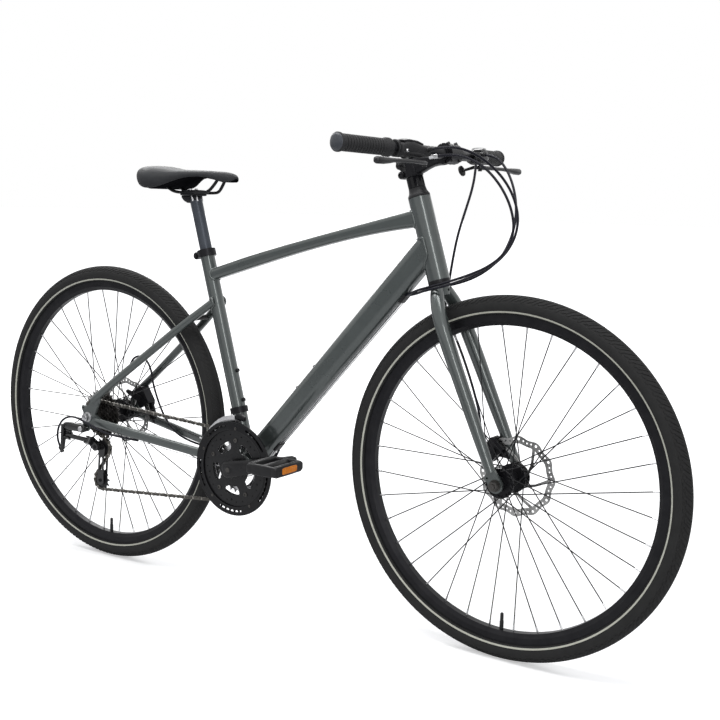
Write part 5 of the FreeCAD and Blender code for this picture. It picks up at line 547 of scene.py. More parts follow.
def flat_plate(outline, holes, thickness, place=Vector(), lean=0.0):
    """Plate in the side plane, from points (along, up) of its outline and holes, leant and moved to a place."""
    curve = bpy.data.curves.new("plate", "CURVE")
    curve.dimensions = "2D"
    curve.fill_mode = "BOTH"
    curve.extrude = thickness / 2
    for points in [outline] + holes:
        spline = curve.splines.new("POLY")
        spline.points.add(len(points) - 1)
        for control, (along, up) in zip(spline.points, points):
            control.co = (along, up, 0, 1)
        spline.use_cyclic_u = True
    holder = bpy.data.objects.new("plate", curve)
    bpy.context.collection.objects.link(holder)
    mesh = plain_mesh(holder)
    mesh.transform(Matrix(((1, 0, 0, 0), (0, 0, -1, 0), (0, 1, 0, 0), (0, 0, 0, 1))))
    mesh.transform(Matrix.Translation(place) @ Matrix.Rotation(math.radians(-lean), 4, "Y"))
    return mesh


def ring_spot(radius, degrees):
    """Point (along, up) so far out in the side plane, at an angle up from straight ahead."""
    return radius * math.cos(math.radians(degrees)), radius * math.sin(math.radians(degrees))


def ring_points(radius, steps, first=0.0, last=360.0, swell=0.0, lobes=0):
    """Points of an arc in the side plane, waved in and out where it has lobes."""
    gaps = steps if last - first == 360.0 else steps - 1
    turns = [first + (last - first) * (step / gaps) for step in range(steps)]
    return [ring_spot(radius + swell * math.cos(lobes * math.radians(turn)), turn) for turn in turns]


def round_hole(radius, reach, degrees, steps=10):
    """Round outline in the side plane, its centre so far out at an angle."""
    along, up = ring_spot(reach, degrees)
    return [(along + x, up + z) for x, z in ring_points(radius, steps)]


DISC_LOBES, DISC_ARMS, DISC_THICK, DISC_WAVE, WINDOW_WAVE = 12, 6, 0.0018, 0.0022, 0.001
BAND_OUT, BAND_IN, BAND_GAP, CARRIER, DISC_BORE = 0.0778, 0.0645, 0.0006, 0.0275, 0.0175
ARM_HALF, ARM_STEP, ARM_SWIRL, SWIRL_POWER = 0.0032, 60, 34.0, 1.4
BIG_VENT, SMALL_VENT = (0.0027, 0.0735), 0.0019
SMALL_VENTS = ((0.27, 0.0715), (0.5, 0.0695), (0.73, 0.0715))
SCREW_HOLE, SCREW_CIRCLE = 0.0024, 0.022
DISC_SCREW = ((0, 0.0026), (0.0028, 0.0024), (0.0036, 0.0014), (0.0036, 0), (0, 0))
brushed = finish_of("brushed_disc", (0.3, 0.3, 0.3), (0.44, 0.44, 0.43), (0.24, 0.4), metal=1.0, mottle=120.0,
                    grain=3000.0, depth=0.12)


def arm_edge(turn, share, side):
    """Point on the edge of a swirling disc arm, at a share of the way in from the braking band."""
    reach = BAND_IN + (CARRIER - BAND_IN) * share
    return ring_spot(reach, turn - ARM_SWIRL * share ** SWIRL_POWER + side * math.degrees(ARM_HALF / reach))


disc_holes = [ring_points(DISC_BORE, 36)]
for lobe in range(DISC_LOBES):
    turn = 360 * lobe / DISC_LOBES
    disc_holes.append(round_hole(*BIG_VENT, turn, 12))
    disc_holes += [round_hole(SMALL_VENT, reach, turn + 360 / DISC_LOBES * step) for step, reach in SMALL_VENTS]
edge_out, edge_in = math.degrees(ARM_HALF / BAND_IN), math.degrees(ARM_HALF / CARRIER)
for arm in range(DISC_ARMS):
    turn, after = ARM_STEP * arm, ARM_STEP * (arm + 1)
    window = ring_points(BAND_IN - BAND_GAP, 18, turn + edge_out, after - edge_out, WINDOW_WAVE, DISC_LOBES)
    window += [arm_edge(after, share, -1) for share in (0.33, 0.66)]
    window += ring_points(CARRIER, 5, turn - ARM_SWIRL + edge_in, after - ARM_SWIRL - edge_in)[::-1]
    window += [arm_edge(turn, share, 1) for share in (0.66, 0.33)]
    disc_holes += [window, round_hole(SCREW_HOLE, SCREW_CIRCLE, turn)]
disc_outline = ring_points(BAND_OUT, 180, swell=DISC_WAVE, lobes=DISC_LOBES)
screw_template = turn_outline(DISC_SCREW, X * SCREW_CIRCLE, Y, X, 12, closed=False)
for (end, axle), middle in zip(WHEELS, (0.0395, 0.0522)):
    plate = flat_plate(disc_outline, disc_holes, DISC_THICK, axle + Y * middle)
    screws = repeat_round(screw_template.copy(), DISC_ARMS, axle + Y * (middle + DISC_THICK / 2), black_steel)
    fit(end + "_brake_disc", [plate], brushed, 30.0, end + "_wheel", "bright_steel", end + "_rotor")
    fit(end + "_disc_screws", [screws], black_steel, 40.0, end + "_wheel", "black_steel")


# The saddle is a moulded foam pad in a thin black cover, stretched over a plastic shell. Its
# crown dips a little in the middle, and its skirt is deep behind and rises towards the nose.
# The shell stands on two bent steel rails.

SADDLE_BACK, SADDLE_LONG = -0.3915, 0.2465
STATION_SHARES = (0.0, 0.03, 0.1, 0.2, 0.3, 0.4, 0.5, 0.6, 0.7, 0.8, 0.9, 0.97, 1.0)
HALF_WIDTHS = (0.044, 0.059, 0.071, 0.075, 0.068, 0.0545, 0.0405, 0.032, 0.027, 0.024, 0.021, 0.0165, 0.0085)
TOP_LEVELS = (0.9372, 0.9397, 0.9404, 0.9393, 0.9354, 0.9328, 0.9318, 0.9313, 0.9305, 0.9294, 0.9275, 0.9232,
              0.9175)
LIP_LEVELS = (0.918, 0.9085, 0.8945, 0.8895, 0.894, 0.904, 0.913, 0.9165, 0.916, 0.912, 0.9065, 0.907, 0.9105)
PAD_SECTION = ((0.0, 1.0), (0.2, 0.993), (0.38, 0.972), (0.54, 0.935), (0.68, 0.875), (0.8, 0.79), (0.9, 0.67),
               (0.965, 0.52), (0.995, 0.35), (0.99, 0.18), (0.955, 0.05), (0.905, 0.0))
PAD_UNDERSIDE = ((0.875, 0.0008), (0.86, 0.0032), (0.6, 0.0032), (0.3, 0.0032), (0.0, 0.0032))
PAD_STATIONS = 40
SHELL_SHARES = (0.035, 0.1, 0.2, 0.3, 0.4, 0.5, 0.6, 0.7, 0.8, 0.9, 0.965)
SHELL_SECTION = ((0.0, 0.002), (0.5, 0.002), (1.0, 0.002), (1.0, -0.0012), (0.92, -0.002), (0.5, -0.002),
                 (0.0, -0.002))
SHELL_RISE, SHELL_WIDE, RAIL_RADIUS = 0.0010, 0.84, 0.0035
RAIL_ROUTE = ((-338, 21, 897), (-326, 21, 894), (-314, 21, 887), (-300, 21, 883), (-280, 21, 882),
              (-222, 20, 882), (-208, 18, 885), (-196, 15, 898), (-188, 13, 909), (-185, 12, 914))
cover = finish_of("saddle_cover", (0.02, 0.021, 0.023), (0.028, 0.029, 0.031), (0.5, 0.62), mottle=38.0,
                  grain=1300.0, depth=0.35, specular=0.18)
shade = finish_of("saddle_shade", (0.005, 0.005, 0.006), (0.009, 0.009, 0.01), (0.85, 0.95), mottle=40.0,
                  depth=0.2, specular=0.0)


def between(shares, values, share):
    """Smooth value of a table at a share of the length."""
    after = next(number for number, edge in enumerate(shares) if share <= edge or edge == shares[-1])
    first = max(after - 1, 0)
    lower, upper = max(first - 1, 0), min(after + 1, len(values) - 1)
    near, far = values[first], values[after]
    gap = shares[after] - shares[first]
    way = (share - shares[first]) / gap if gap else 0.0
    slope_near = (far - values[lower]) / (shares[after] - shares[lower]) * gap if after else 0.0
    slope_far = (values[upper] - near) / (shares[upper] - shares[first]) * gap if after else 0.0
    return (near * (1 + 2 * way) * (1 - way) ** 2 + slope_near * way * (1 - way) ** 2
            + far * way ** 2 * (3 - 2 * way) + slope_far * way ** 2 * (way - 1))


def loft(sections):
    """Mesh through outlines of as many points each, closed at both ends."""
    count = len(sections[0])
    vertices = [point for outline in sections for point in outline]
    faces = []
    for first in range(0, len(vertices) - count, count):
        for place in range(count):
            other = (place + 1) % count
            faces.append((first + place, first + other, first + count + other, first + count + place))
    faces.append(tuple(range(count))[::-1])
    faces.append(tuple(range(len(vertices) - count, len(vertices))))
    return plain_points(vertices, faces)


def saddle_row(share, half_outline):
    """Section across the saddle from (across, level) points of its left half."""
    outline = half_outline + [(-across, level) for across, level in half_outline[-2:0:-1]]
    return [(SADDLE_BACK + SADDLE_LONG * share, across, level) for across, level in outline]


pad_rows = []
for station in range(PAD_STATIONS + 1):
    share = 0.5 - 0.5 * math.cos(math.pi * station / PAD_STATIONS)
    half, top, lip = [between(STATION_SHARES, values, share)
                      for values in (HALF_WIDTHS, TOP_LEVELS, LIP_LEVELS)]
    outline = [(wide * half, lip + (top - lip) * high) for wide, high in PAD_SECTION]
    pad_rows.append(saddle_row(share, outline + [(wide * half, lip + rise) for wide, rise in PAD_UNDERSIDE]))
rough_pad = add_mesh("rough_pad", loft(pad_rows), cover, 180.0)
rough_pad.data.materials.append(shade)
ring = len(pad_rows[0])
for number, face in enumerate(rough_pad.data.polygons):
    under = len(PAD_SECTION) <= number % ring < ring - len(PAD_SECTION)
    face.material_index = 1 if under and number < PAD_STATIONS * ring else 0
soften = rough_pad.modifiers.new("soften", "SUBSURF")
soften.levels = soften.render_levels = 1
pad = add_mesh("saddle_pad", plain_mesh(rough_pad), None, 180.0)
settle(pad, "seat", "vinyl", "saddle_cushion")
shell_rows = []
for share in SHELL_SHARES:
    half, lip = [between(STATION_SHARES, values, share) for values in (HALF_WIDTHS, LIP_LEVELS)]
    shell_rows.append(saddle_row(share, [(SHELL_WIDE * half * across, lip + SHELL_RISE + rise)
                                         for across, rise in SHELL_SECTION]))
fit("saddle_shell", [loft(shell_rows)], shade, 40.0, "seat", "black_plastic", "saddle_base")
rail_routes = [millimetres([(x, y * side, z) for x, y, z in RAIL_ROUTE]) for side in (-1, 1)]
rails = [smooth_line(route, RAIL_RADIUS) for route in rail_routes]
fit("saddle_rails", rails, black_steel, 60.0, "seat", "black_steel", "saddle_base")


# The headset's cone cover is moulded plastic, and the spacer above it is a polished black ring.
# Both sit on the steering tube under the stem, which clamps them down.

HEAD_TOP = HEAD_BOTTOM + HEAD_WAY * 0.165
TUBE_BORE = 0.0144
CONE_OUTLINE = ((TUBE_BORE, 0.0003), (0.0212, 0.0003), (0.0219, 0.0012), (0.0216, 0.0048), (0.0203, 0.0068),
                (0.0182, 0.0112), (0.0172, 0.0158), (0.0169, 0.0186), (0.0164, 0.0190), (TUBE_BORE, 0.0190))
SPACER_OUTLINE = ((TUBE_BORE, 0.0192), (0.0163, 0.0192), (0.0168, 0.0197), (0.0168, 0.0403), (0.0163, 0.0408),
                  (TUBE_BORE, 0.0408))
gloss_black = finish_of("gloss_black", (0.004, 0.004, 0.005), (0.007, 0.007, 0.008), (0.08, 0.14), depth=0.02,
                        specular=0.22)
cone, spacer = [turn_outline(outline, HEAD_TOP, HEAD_WAY, Y, 48) for outline in (CONE_OUTLINE, SPACER_OUTLINE)]
fit("headset_cover", [cone], black_plastic, 30.0, "steering", "black_plastic", "headset_spacers")
fit("headset_spacer", [spacer], gloss_black, 30.0, "steering", "gloss_plastic", "headset_spacers")


# The stem is forged from aluminium and shot black. A split sleeve grips the steering tube with
# two bolts behind, and its arm narrows to the cradle that the handlebar lies in. The bar is a
# bent alloy tube under a bolted faceplate.

def section(centre, wide, tall, width, height, power, steps):
    """Points of a rounded outline: power 2 is an ellipse, and higher is squarer."""
    points = []
    for step in range(steps):
        turn = 2 * math.pi * step / steps
        side, rise = math.cos(turn), math.sin(turn)
        points.append(centre + wide * (math.copysign(abs(side) ** (2 / power), side) * width / 2)
                      + tall * (math.copysign(abs(rise) ** (2 / power), rise) * height / 2))
    return points


def soft_loft(stations, wide, tall, power, steps=28, crown=0.5):
    """Loft of (centre, width, height) stations whose two ends are rounded off."""
    rows = []
    for end, other in ((0, 1), (-1, -2)):
        centre, width, height = stations[end]
        way = (centre - stations[other][0]).normalized()
        reach = min(width, height) * crown * 0.5
        caps = []
        for turn in (80, 55, 30):
            shrink = reach * 2 * (1 - math.cos(math.radians(turn)))
            place = centre + way * (reach * (math.sin(math.radians(turn)) - 1))
            caps.append((place, width - shrink, height - shrink))
        base = (centre - way * reach, width, height)
        rows.append(caps + [base] if end == 0 else [base] + caps[::-1])
    full = rows[0] + list(stations[1:-1]) + rows[1]
    return loft([section(centre, wide, tall, width, height, power, steps) for centre, width, height in full])


def along(start, way, table):
    """Stations (centre, width, height) on a line, from a table of (reach, width, height)."""
    return [(start + way * reach, width, height) for reach, width, height in table]


def sleeve(start, end, outer, inner, edge, steps=40):
    """Ring about the line between two points, with its outer edges broken."""
    axis = end - start
    long = axis.length
    outline = [(inner, 0), (outer - edge, 0), (outer, edge), (outer, long - edge), (outer - edge, long),
               (inner, long)]
    return turn_outline(outline, start, axis.normalized(), axis.orthogonal().normalized(), steps)


def bolt_head(centre, way, radius, height):
    """Screw head with a round recess and a broken edge."""
    outline = [(0, height * 0.35), (radius * 0.5, height * 0.35), (radius * 0.55, height),
               (radius * 0.85, height), (radius, height * 0.8), (radius, 0), (0, 0)]
    return turn_outline(outline, centre, way, way.orthogonal().normalized(), 18, closed=False)


STEM_BASE, STEM_WAY = HEAD_TOP + HEAD_WAY * 0.041, HEAD_WAY.cross(Y) * -1
STEM_MIDDLE = STEM_BASE + HEAD_WAY * 0.020
BAR_AT = STEM_MIDDLE + STEM_WAY * 0.084
STEM_ARM = ((0.0130, 0.0300, 0.0370), (0.022, 0.0300, 0.0350), (0.034, 0.0280, 0.0300), (0.046, 0.0272, 0.0272),
            (0.057, 0.0310, 0.0290), (0.066, 0.0400, 0.0330), (0.0705, 0.0420, 0.0340))
CRADLE_OUT, CRADLE_IN, CRADLE_HALF, CRADLE_STEPS = 0.0195, 0.0128, 0.0209, 14
CRADLE_FROM, CRADLE_TO = 95, 265
PINCH_EAR = ((-0.0118, 0.0160, 0.0155), (-0.004, 0.0165, 0.0160), (0.004, 0.0165, 0.0160),
             (0.0118, 0.0160, 0.0155))
EAR_BACK, EAR_RISES, NECK_WIDE, NECK_TALL, NECK_LONG = 0.0225, (-0.0095, 0.0095), 0.0225, 0.0115, 0.007
PINCH_OUT, PINCH_RADIUS, PINCH_HEIGHTS = 0.0116, 0.0043, ((-1, 0.004), (1, 0.003))
SLEEVE_LOW, SLEEVE_HIGH, SLEEVE_OUT, SLEEVE_EDGE = 0.0002, 0.0398, 0.0182, 0.0018
dress(black_alloy, "stem_faceplate", "handlebar")
dress(black_steel, "stem_bolts")


def cradle_arc(radius, first, last):
    """Arc round the bar's middle between two angles up from the stem's way."""
    turns = [math.radians(first + (last - first) * step / CRADLE_STEPS) for step in range(CRADLE_STEPS + 1)]
    return [BAR_AT + STEM_WAY * (radius * math.cos(turn)) + HEAD_WAY * (radius * math.sin(turn))
            for turn in turns]


cradle = cradle_arc(CRADLE_OUT, CRADLE_FROM, CRADLE_TO) + cradle_arc(CRADLE_IN, CRADLE_TO, CRADLE_FROM)
stem_parts = [sleeve(STEM_BASE + HEAD_WAY * SLEEVE_LOW, STEM_BASE + HEAD_WAY * SLEEVE_HIGH, SLEEVE_OUT,
                     TUBE_BORE, SLEEVE_EDGE, 56),
              loft([section(centre, Y, HEAD_WAY, width, height, 2.8, 36)
                    for centre, width, height in along(STEM_MIDDLE, STEM_WAY, STEM_ARM)]),
              loft([[point + Y * place for point in cradle] for place in (-CRADLE_HALF, CRADLE_HALF)])]
ear_bolts = []
for rise in EAR_RISES:
    ear = STEM_MIDDLE - STEM_WAY * EAR_BACK + HEAD_WAY * rise
    neck = [section(end, Y, HEAD_WAY, NECK_WIDE, NECK_TALL, 4.0, 24)
            for end in (ear, ear + STEM_WAY * NECK_LONG)]
    stem_parts += [soft_loft(along(ear, Y, PINCH_EAR), STEM_WAY, HEAD_WAY, 2.2, 24), loft(neck)]
    ear_bolts += [bolt_head(ear + Y * (side * PINCH_OUT), Y * side, PINCH_RADIUS, height)
                  for side, height in PINCH_HEIGHTS]
fit("stem_forging", stem_parts, black_alloy, 35.0, "steering", "black_alloy", "stem")
fit("stem_pinch_bolts", ear_bolts, black_steel, 30.0, "steering", "black_steel")


# The grips are ribbed rubber sleeves with a plain collar at each end. A hard domed cap closes
# the bar's end, and the sleeves are pushed on over the bar with glue.

BAR_SWEEP, BAR_LIFT, BAR_BEND, BAR_HALF = math.radians(10.9), math.radians(1.2), 0.045, 0.305


def bar_way(side):
    """The way that the bar points outwards from its bend."""
    flat = math.cos(BAR_SWEEP) * math.cos(BAR_LIFT)
    return Vector((-math.sin(BAR_SWEEP), side * flat, math.sin(BAR_LIFT))).normalized()


def bar_place(side, reach):
    """Point on the bar's middle line, so far to the side."""
    way = bar_way(side)
    return BAR_AT + Y * (side * BAR_BEND) + way * ((reach - BAR_BEND) / abs(way.y))


GRIP_RIBS, GRIP_BORE, FIRST_RIB, RIB_STEP = 15, 0.0112, 0.0090, 0.0068
OUTER_COLLAR = ((GRIP_BORE, 0.0004), (0.0165, 0.0004), (0.0171, 0.0014), (0.0171, 0.0052), (0.0160, 0.0068),
                (0.0150, 0.0074))
GRIP_RIB = ((0.0150, 0.0), (0.0152, 0.0006), (0.0152, 0.0044), (0.0150, 0.005), (0.0139, 0.0054),
            (0.0139, 0.0064))
INNER_COLLAR = ((0.0150, 0.1125), (0.0152, 0.1165), (0.0162, 0.1188), (0.0171, 0.1202), (0.0172, 0.1282),
                (0.0166, 0.1296), (GRIP_BORE, 0.1296))
CAP_OUTLINE = ((0, -0.0038), (0.006, -0.0036), (0.0108, -0.0028), (0.0142, -0.0014), (0.0157, 0.0002),
               (0.0157, 0.0008), (0, 0.0008))
grip_rubber = finish_of("grip_rubber", (0.011, 0.011, 0.012), (0.018, 0.018, 0.019), (0.55, 0.7), mottle=60.0,
                        grain=1400.0, depth=0.3, specular=0.35)
cap_plastic = finish_of("cap_plastic", (0.03, 0.034, 0.042), (0.042, 0.047, 0.056), (0.3, 0.42), mottle=50.0)
ribs = [(radius, FIRST_RIB + rib * RIB_STEP + reach) for rib in range(GRIP_RIBS) for radius, reach in GRIP_RIB]
grip_outline = [*OUTER_COLLAR, *ribs, *INNER_COLLAR]
grips, caps = [], []
for side in (-1, 1):
    tip, inward = bar_place(side, BAR_HALF), -bar_way(side)
    grips.append(turn_outline(grip_outline, tip, inward, Z, 48))
    caps.append(turn_outline(CAP_OUTLINE, tip, inward, Z, 48, closed=False))
fit("grip_sleeves", grips, grip_rubber, 35.0, "steering", "grip_rubber", "grips")
fit("grip_caps", caps, cap_plastic, 40.0, "steering", "black_plastic", "grips")


# The brake and gear controls share one moulded housing on each side: a clamp band round the
# bar, a bracket for the lever, a shifter pod under a glossy cap, and barrel adjusters.

LEVER_BRACKET = ((0.1635, 0.008, -0.001, 0.026, 0.024), (0.154, 0.009, -0.001, 0.034, 0.029),
                 (0.140, 0.010, 0.0, 0.036, 0.030), (0.124, 0.012, -0.002, 0.032, 0.027),
                 (0.110, 0.016, -0.003, 0.025, 0.022), (0.099, 0.0195, -0.004, 0.019, 0.017))
SHIFTER_POD = ((0.161, 0.012, -0.0085, 0.022, 0.010), (0.150, 0.009, -0.009, 0.036, 0.0128),
               (0.134, 0.008, -0.009, 0.042, 0.0138), (0.117, 0.009, -0.009, 0.038, 0.0132),
               (0.105, 0.012, -0.0088, 0.024, 0.0105))
POD_BROW = ((0.158, 0.009, 0.0125, 0.020, 0.006), (0.148, 0.008, 0.0135, 0.030, 0.0085),
            (0.130, 0.010, 0.0128, 0.028, 0.0085), (0.113, 0.0145, 0.0095, 0.018, 0.006))
POD_CAP = ((0, 0.0012), (0.009, 0.001), (0.0128, 0.0), (0.0136, -0.0016), (0.0136, -0.004), (0, -0.004))
BARREL = [(0.0027, -0.0005), (0.0034, -0.0005), (0.0039, 0.0006)]
for ring in range(4):
    BARREL += [(0.0044, 0.0012 + ring * 0.0014), (0.0040, 0.0019 + ring * 0.0014)]
BARREL += [(0.0036, 0.0074), (0.0036, 0.0150), (0.0027, 0.0150)]
FRONT_BRAKE_LINE = ((386, 94, 958), (391, 83, 934), (391, 72, 900), (384, 60, 858), (374, 51, 812),
                    (366, 48, 760), (361, 46, 716), (358, 37, 682), (367, 32, 652), (386, 32, 616),
                    (406, 33, 574), (424, 34, 530), (438, 35, 490), (446, 35, 462), (449, 34, 442))
chrome = finish_of("chrome", (0.6, 0.6, 0.61), (0.72, 0.72, 0.73), (0.12, 0.22), metal=1.0, mottle=60.0,
                   grain=1200.0, depth=0.05)


def by_bar(side, reach, forward, rise):
    """Place by the bar: so far out, so far ahead of it and so far above it."""
    return bar_place(side, reach) + X * forward + Z * rise


def bar_loft(side, table, power):
    """Rounded moulding from (reach, forward, rise, width, height) stations by the bar."""
    stations = [(by_bar(side, *place), width, height) for *place, width, height in table]
    return soft_loft(stations, X, Z, power)


housings, pod_caps, collars, pod_screws = [], [], [], []
for side, routes in ((-1, (REAR_BRAKE_LOOP, REAR_GEAR_LOOP)), (1, (FRONT_BRAKE_LINE, FRONT_GEAR_LOOP))):
    housings += [sleeve(bar_place(side, 0.1485), bar_place(side, 0.1635), 0.0158, 0.0112, 0.0015),
                 bar_loft(side, LEVER_BRACKET, 3.0), bar_loft(side, SHIFTER_POD, 2.4)]
    pod_caps += [bar_loft(side, POD_BROW, 2.6),
                 turn_outline(POD_CAP, by_bar(side, 0.1335, 0.006, -0.0158), -Z, X, 32, closed=False)]
    pod_screws += [bolt_head(by_bar(side, reach, forward, 0.0128), Z, 0.0021, 0.0014)
                   for reach, forward in ((0.152, 0.016), (0.120, 0.019))]
    pod_screws.append(bolt_head(by_bar(side, 0.156, 0.0225, -0.004), X, 0.0032, 0.003))
    for route in routes:
        start, after = millimetres(route[:2])
        back = (start - after).normalized()
        barrel = turn_outline(BARREL, start, back, back.orthogonal().normalized(), 20)
        (collars if route is REAR_BRAKE_LOOP else housings).append(barrel)
fit("control_bodies", housings, black_plastic, 40.0, "steering", "black_plastic", "control_housings")
fit("control_caps", pod_caps, gloss_black, 40.0, "steering", "gloss_plastic", "control_housings")
fit("cable_barrels", collars, chrome, 40.0, "steering", "bright_steel", "control_housings")
fit("control_screws", pod_screws, bright_steel, 30.0, "steering", "bright_steel", "control_housings")


# Each brake lever is a forged blade, slim in the middle and thick and round at its tip, on a pin
# under its housing. The shift lever behind it is a moulded thumb paddle with a ribbed pad.

POD_FLOOR = BAR_AT.z - 0.016
LEVER_LEVEL, SHIFTER_LEVEL, BLADE_LINE = POD_FLOOR - 0.0054, POD_FLOOR - 0.0039, BAR_AT.x + 0.016
LEVER_ROOT = ((-0.001, 0.1035, 0.0130, 0.0086), (0.0, 0.110, 0.0160, 0.0092), (0.002, 0.120, 0.0135, 0.0090))
LEVER_BLADE = ((0.0, 0.140, 0.0, 0.0098, 0.0080), (0.0012, 0.165, 0.0, 0.0084, 0.0072),
               (0.0012, 0.200, 0.0, 0.0084, 0.0072), (0.0, 0.226, -0.0006, 0.0094, 0.0080),
               (-0.0006, 0.240, -0.0014, 0.0122, 0.0108), (-0.001, 0.256, -0.0020, 0.0136, 0.0128),
               (-0.001, 0.2825, -0.0022, 0.0140, 0.0132))
PAD_FACE = Vector((-0.93, 0, -0.36)).normalized()
PAD_DISH = ((0, 0.0012), (0.0058, 0.0014), (0.0062, 0.0020), (0.0068, 0.0014), (0.0072, 0.0022),
            (0.0092, 0.0026), (0.0105, 0.0018), (0.0110, 0.0002), (0.0107, -0.0020), (0.0090, -0.0030),
            (0, -0.0032))
lever_black = finish_of("lever_black", (0.012, 0.012, 0.013), (0.02, 0.02, 0.022), (0.28, 0.4), metal=0.4,
                        mottle=40.0, grain=1500.0, depth=0.06)
for side, name in ((-1, "right"), (1, "left")):
    pivot = bar_place(side, 0.110) + X * 0.023
    pivot.z = LEVER_LEVEL
    stations = [(Vector((pivot.x + ahead, side * out, LEVER_LEVEL)), width, height)
                for ahead, out, width, height in LEVER_ROOT]
    stations += [(Vector((BLADE_LINE + ahead, side * out, LEVER_LEVEL + rise)), width, height)
                 for ahead, out, rise, width, height in LEVER_BLADE]
    blade = [soft_loft(stations, X, Z, 2.3, 24, 1.0), bolt_head(pivot - Z * 0.0046, -Z, 0.0042, 0.0026)]
    fit(name + "_lever_blade", blade, lever_black, 40.0, name + "_brake_lever_body", "black_plastic",
        name + "_brake_lever")
    root, pad_at = bar_place(side, 0.140) - X * 0.002, bar_place(side, 0.117) - X * 0.020
    root.z, pad_at.z = SHIFTER_LEVEL, SHIFTER_LEVEL - 0.0078
    lean = (pad_at - root).normalized()
    stations = along(root, lean, ((-0.0075, 0.0120, 0.0062), (0.0, 0.0155, 0.0066), (0.012, 0.0120, 0.0060)))
    stations += along(pad_at, lean, ((-0.006, 0.0120, 0.0056), (0.0, 0.0150, 0.0050)))
    paddle = [soft_loft(stations, Z.cross(lean), Z, 2.4, 20),
              turn_outline(PAD_DISH, pad_at, PAD_FACE, Y, 32, closed=False)]
    fit(name + "_thumb_paddle", paddle, black_plastic, 40.0, name + "_shift_lever_body", "black_plastic",
        name + "_shift_lever")


# The front brake's cable is one length of lined cover from the left lever down behind the fork
# crown to the brake's arm, clipped to the fork leg.

front_line = smooth_line(millimetres(FRONT_BRAKE_LINE), COVER_RADIUS)
fit("front_brake_line", [front_line], cable_cover, 60.0, "steering", "cable_cover", "front_brake_cable")


# The seatpost is a drawn tube, blue-black and satin, pushed into the seat tube. Its head carries
# two cast clamp plates that grip the saddle's rails, with a wedge behind and two plated bolts.

POST_HEAD, SEAT_TOP = Vector((-0.258, 0, 0.8597)), Vector((-0.2272, 0, 0.751))
RAIL_REST = Vector((-0.258, 0, 0.8817))
POST_LOW = SEAT_TOP - SEAT_WAY * 0.170
POST_LONG = (POST_HEAD - POST_LOW).length + 0.0125
POST_OUTLINE = ((0, 0), (0.0136, 0), (0.0136, POST_LONG - 0.0015), (0.0125, POST_LONG), (0, POST_LONG))
CLAMP_WIDE, CLAMP_BACK = 0.055, 0.009
CLAMP_PLATES = ((-0.0068, -0.0004, 1.0), (0.0004, 0.0066, 0.86))
CLAMP_STATIONS = ((-0.0228, 0.62), (-0.017, 0.9), (0.0, 1.0), (0.017, 0.9), (0.0228, 0.62))
CLAMP_WEDGE = ((-0.020, -0.0055, 0.034, 0.030), (-0.019, -0.011, 0.034, 0.030),
               (-0.0155, -0.0180, 0.028, 0.027), (-0.0115, -0.0225, 0.023, 0.022))
CLAMP_NECK = ((0.006, 0.0268, 0.0268), (0.0155, 0.030, 0.031))
post_blue = finish_of("post_blue", (0.045, 0.051, 0.063), (0.056, 0.063, 0.076), (0.3, 0.4), metal=0.45,
                      mottle=25.0, grain=1600.0, depth=0.08, specular=0.3)
clamp, clamp_bolts = [], []
for low, high, shrink in CLAMP_PLATES:
    plate = RAIL_REST - X * CLAMP_BACK + Z * ((low + high) / 2)
    stations = [(plate + X * reach, CLAMP_WIDE * share * shrink, high - low) for reach, share in CLAMP_STATIONS]
    clamp.append(soft_loft(stations, Y, Z, 4.0, 32))
wedge = [(RAIL_REST + Vector((x, 0, z)), width, height) for x, z, width, height in CLAMP_WEDGE]
clamp += [soft_loft(wedge, X, Y, 4.0, 32, 0.25),
          soft_loft(along(POST_HEAD, SEAT_WAY, CLAMP_NECK), X, Y, 2.4, 32, 0.1)]
for side in (-1, 1):
    for forward, out in ((0.0112, 0.0078), (0.0024, 0.0134)):
        foot = POST_HEAD + SEAT_WAY * 0.004 + Vector((forward, out * side, 0))
        clamp_bolts.append(bar_between(foot, foot + SEAT_WAY * 0.0135, 0.0022, 12))
    clamp_bolts.append(bolt_head(RAIL_REST + Vector((-0.010, 0.010 * side, 0.0066)), Z, 0.0038, 0.003))
post = turn_outline(POST_OUTLINE, POST_LOW, SEAT_WAY, Y, 48, closed=False)
fit("seatpost_tube", [post], post_blue, 30.0, "seat", "black_alloy", "seatpost")
fit("seatpost_clamp", clamp, black_alloy, 35.0, "seat", "black_alloy", "seatpost")
fit("seatpost_bolts", clamp_bolts, bright_steel, 35.0, "seat", "bright_steel", "seatpost")


# The chainset has forged black cranks. The right one's spider carries three stamped rings, the
# small ones plated and the large one black, behind a moulded guard ring with long slots.
# The freewheel at the back is seven stamped sprockets of dark steel.

CRANK_LEAN, CRANK_LONG, CRANK_FACE, CRANK_THICK = 14.0, 0.170, 0.0624, 0.015
CRANKS = ((-1, CRANK_LEAN, "right"), (1, CRANK_LEAN + 180, "left"))
CRANK_ARM = ((-0.0195, 0.030, 0.0140), (-0.010, 0.0375, 0.0150), (0.004, 0.0380, 0.0150),
             (0.030, 0.0340, 0.0150), (0.065, 0.0300, 0.0146), (0.110, 0.0265, 0.0140),
             (0.150, 0.0255, 0.0140), (0.172, 0.0255, 0.0140), (0.1825, 0.0205, 0.0130))
CRANK_CAP = ((0, 0.0012), (0.008, 0.001), (0.0105, 0.0002), (0.0112, -0.001), (0, -0.001))
SPIDER_ARMS, SPIDER_STEP, SPIDER_OUT, SPIDER_IN = 5, 72, -0.0541, -0.0484
SPIDER_ARM = ((0.008, 0.021), (0.022, 0.0185), (0.042, 0.0155), (0.056, 0.0155), (0.0655, 0.0125))
FACE_AT, FACE_THICK, FACE_OUT, FACE_IN = -0.0569, 0.0006, 0.0836, 0.0192
WINDOW_OUT, WINDOW_IN, WINDOW_HALF, WINDOW_CORNERS = 0.0590, 0.0400, 17, ((0.0560, 21), (0.0480, 22))
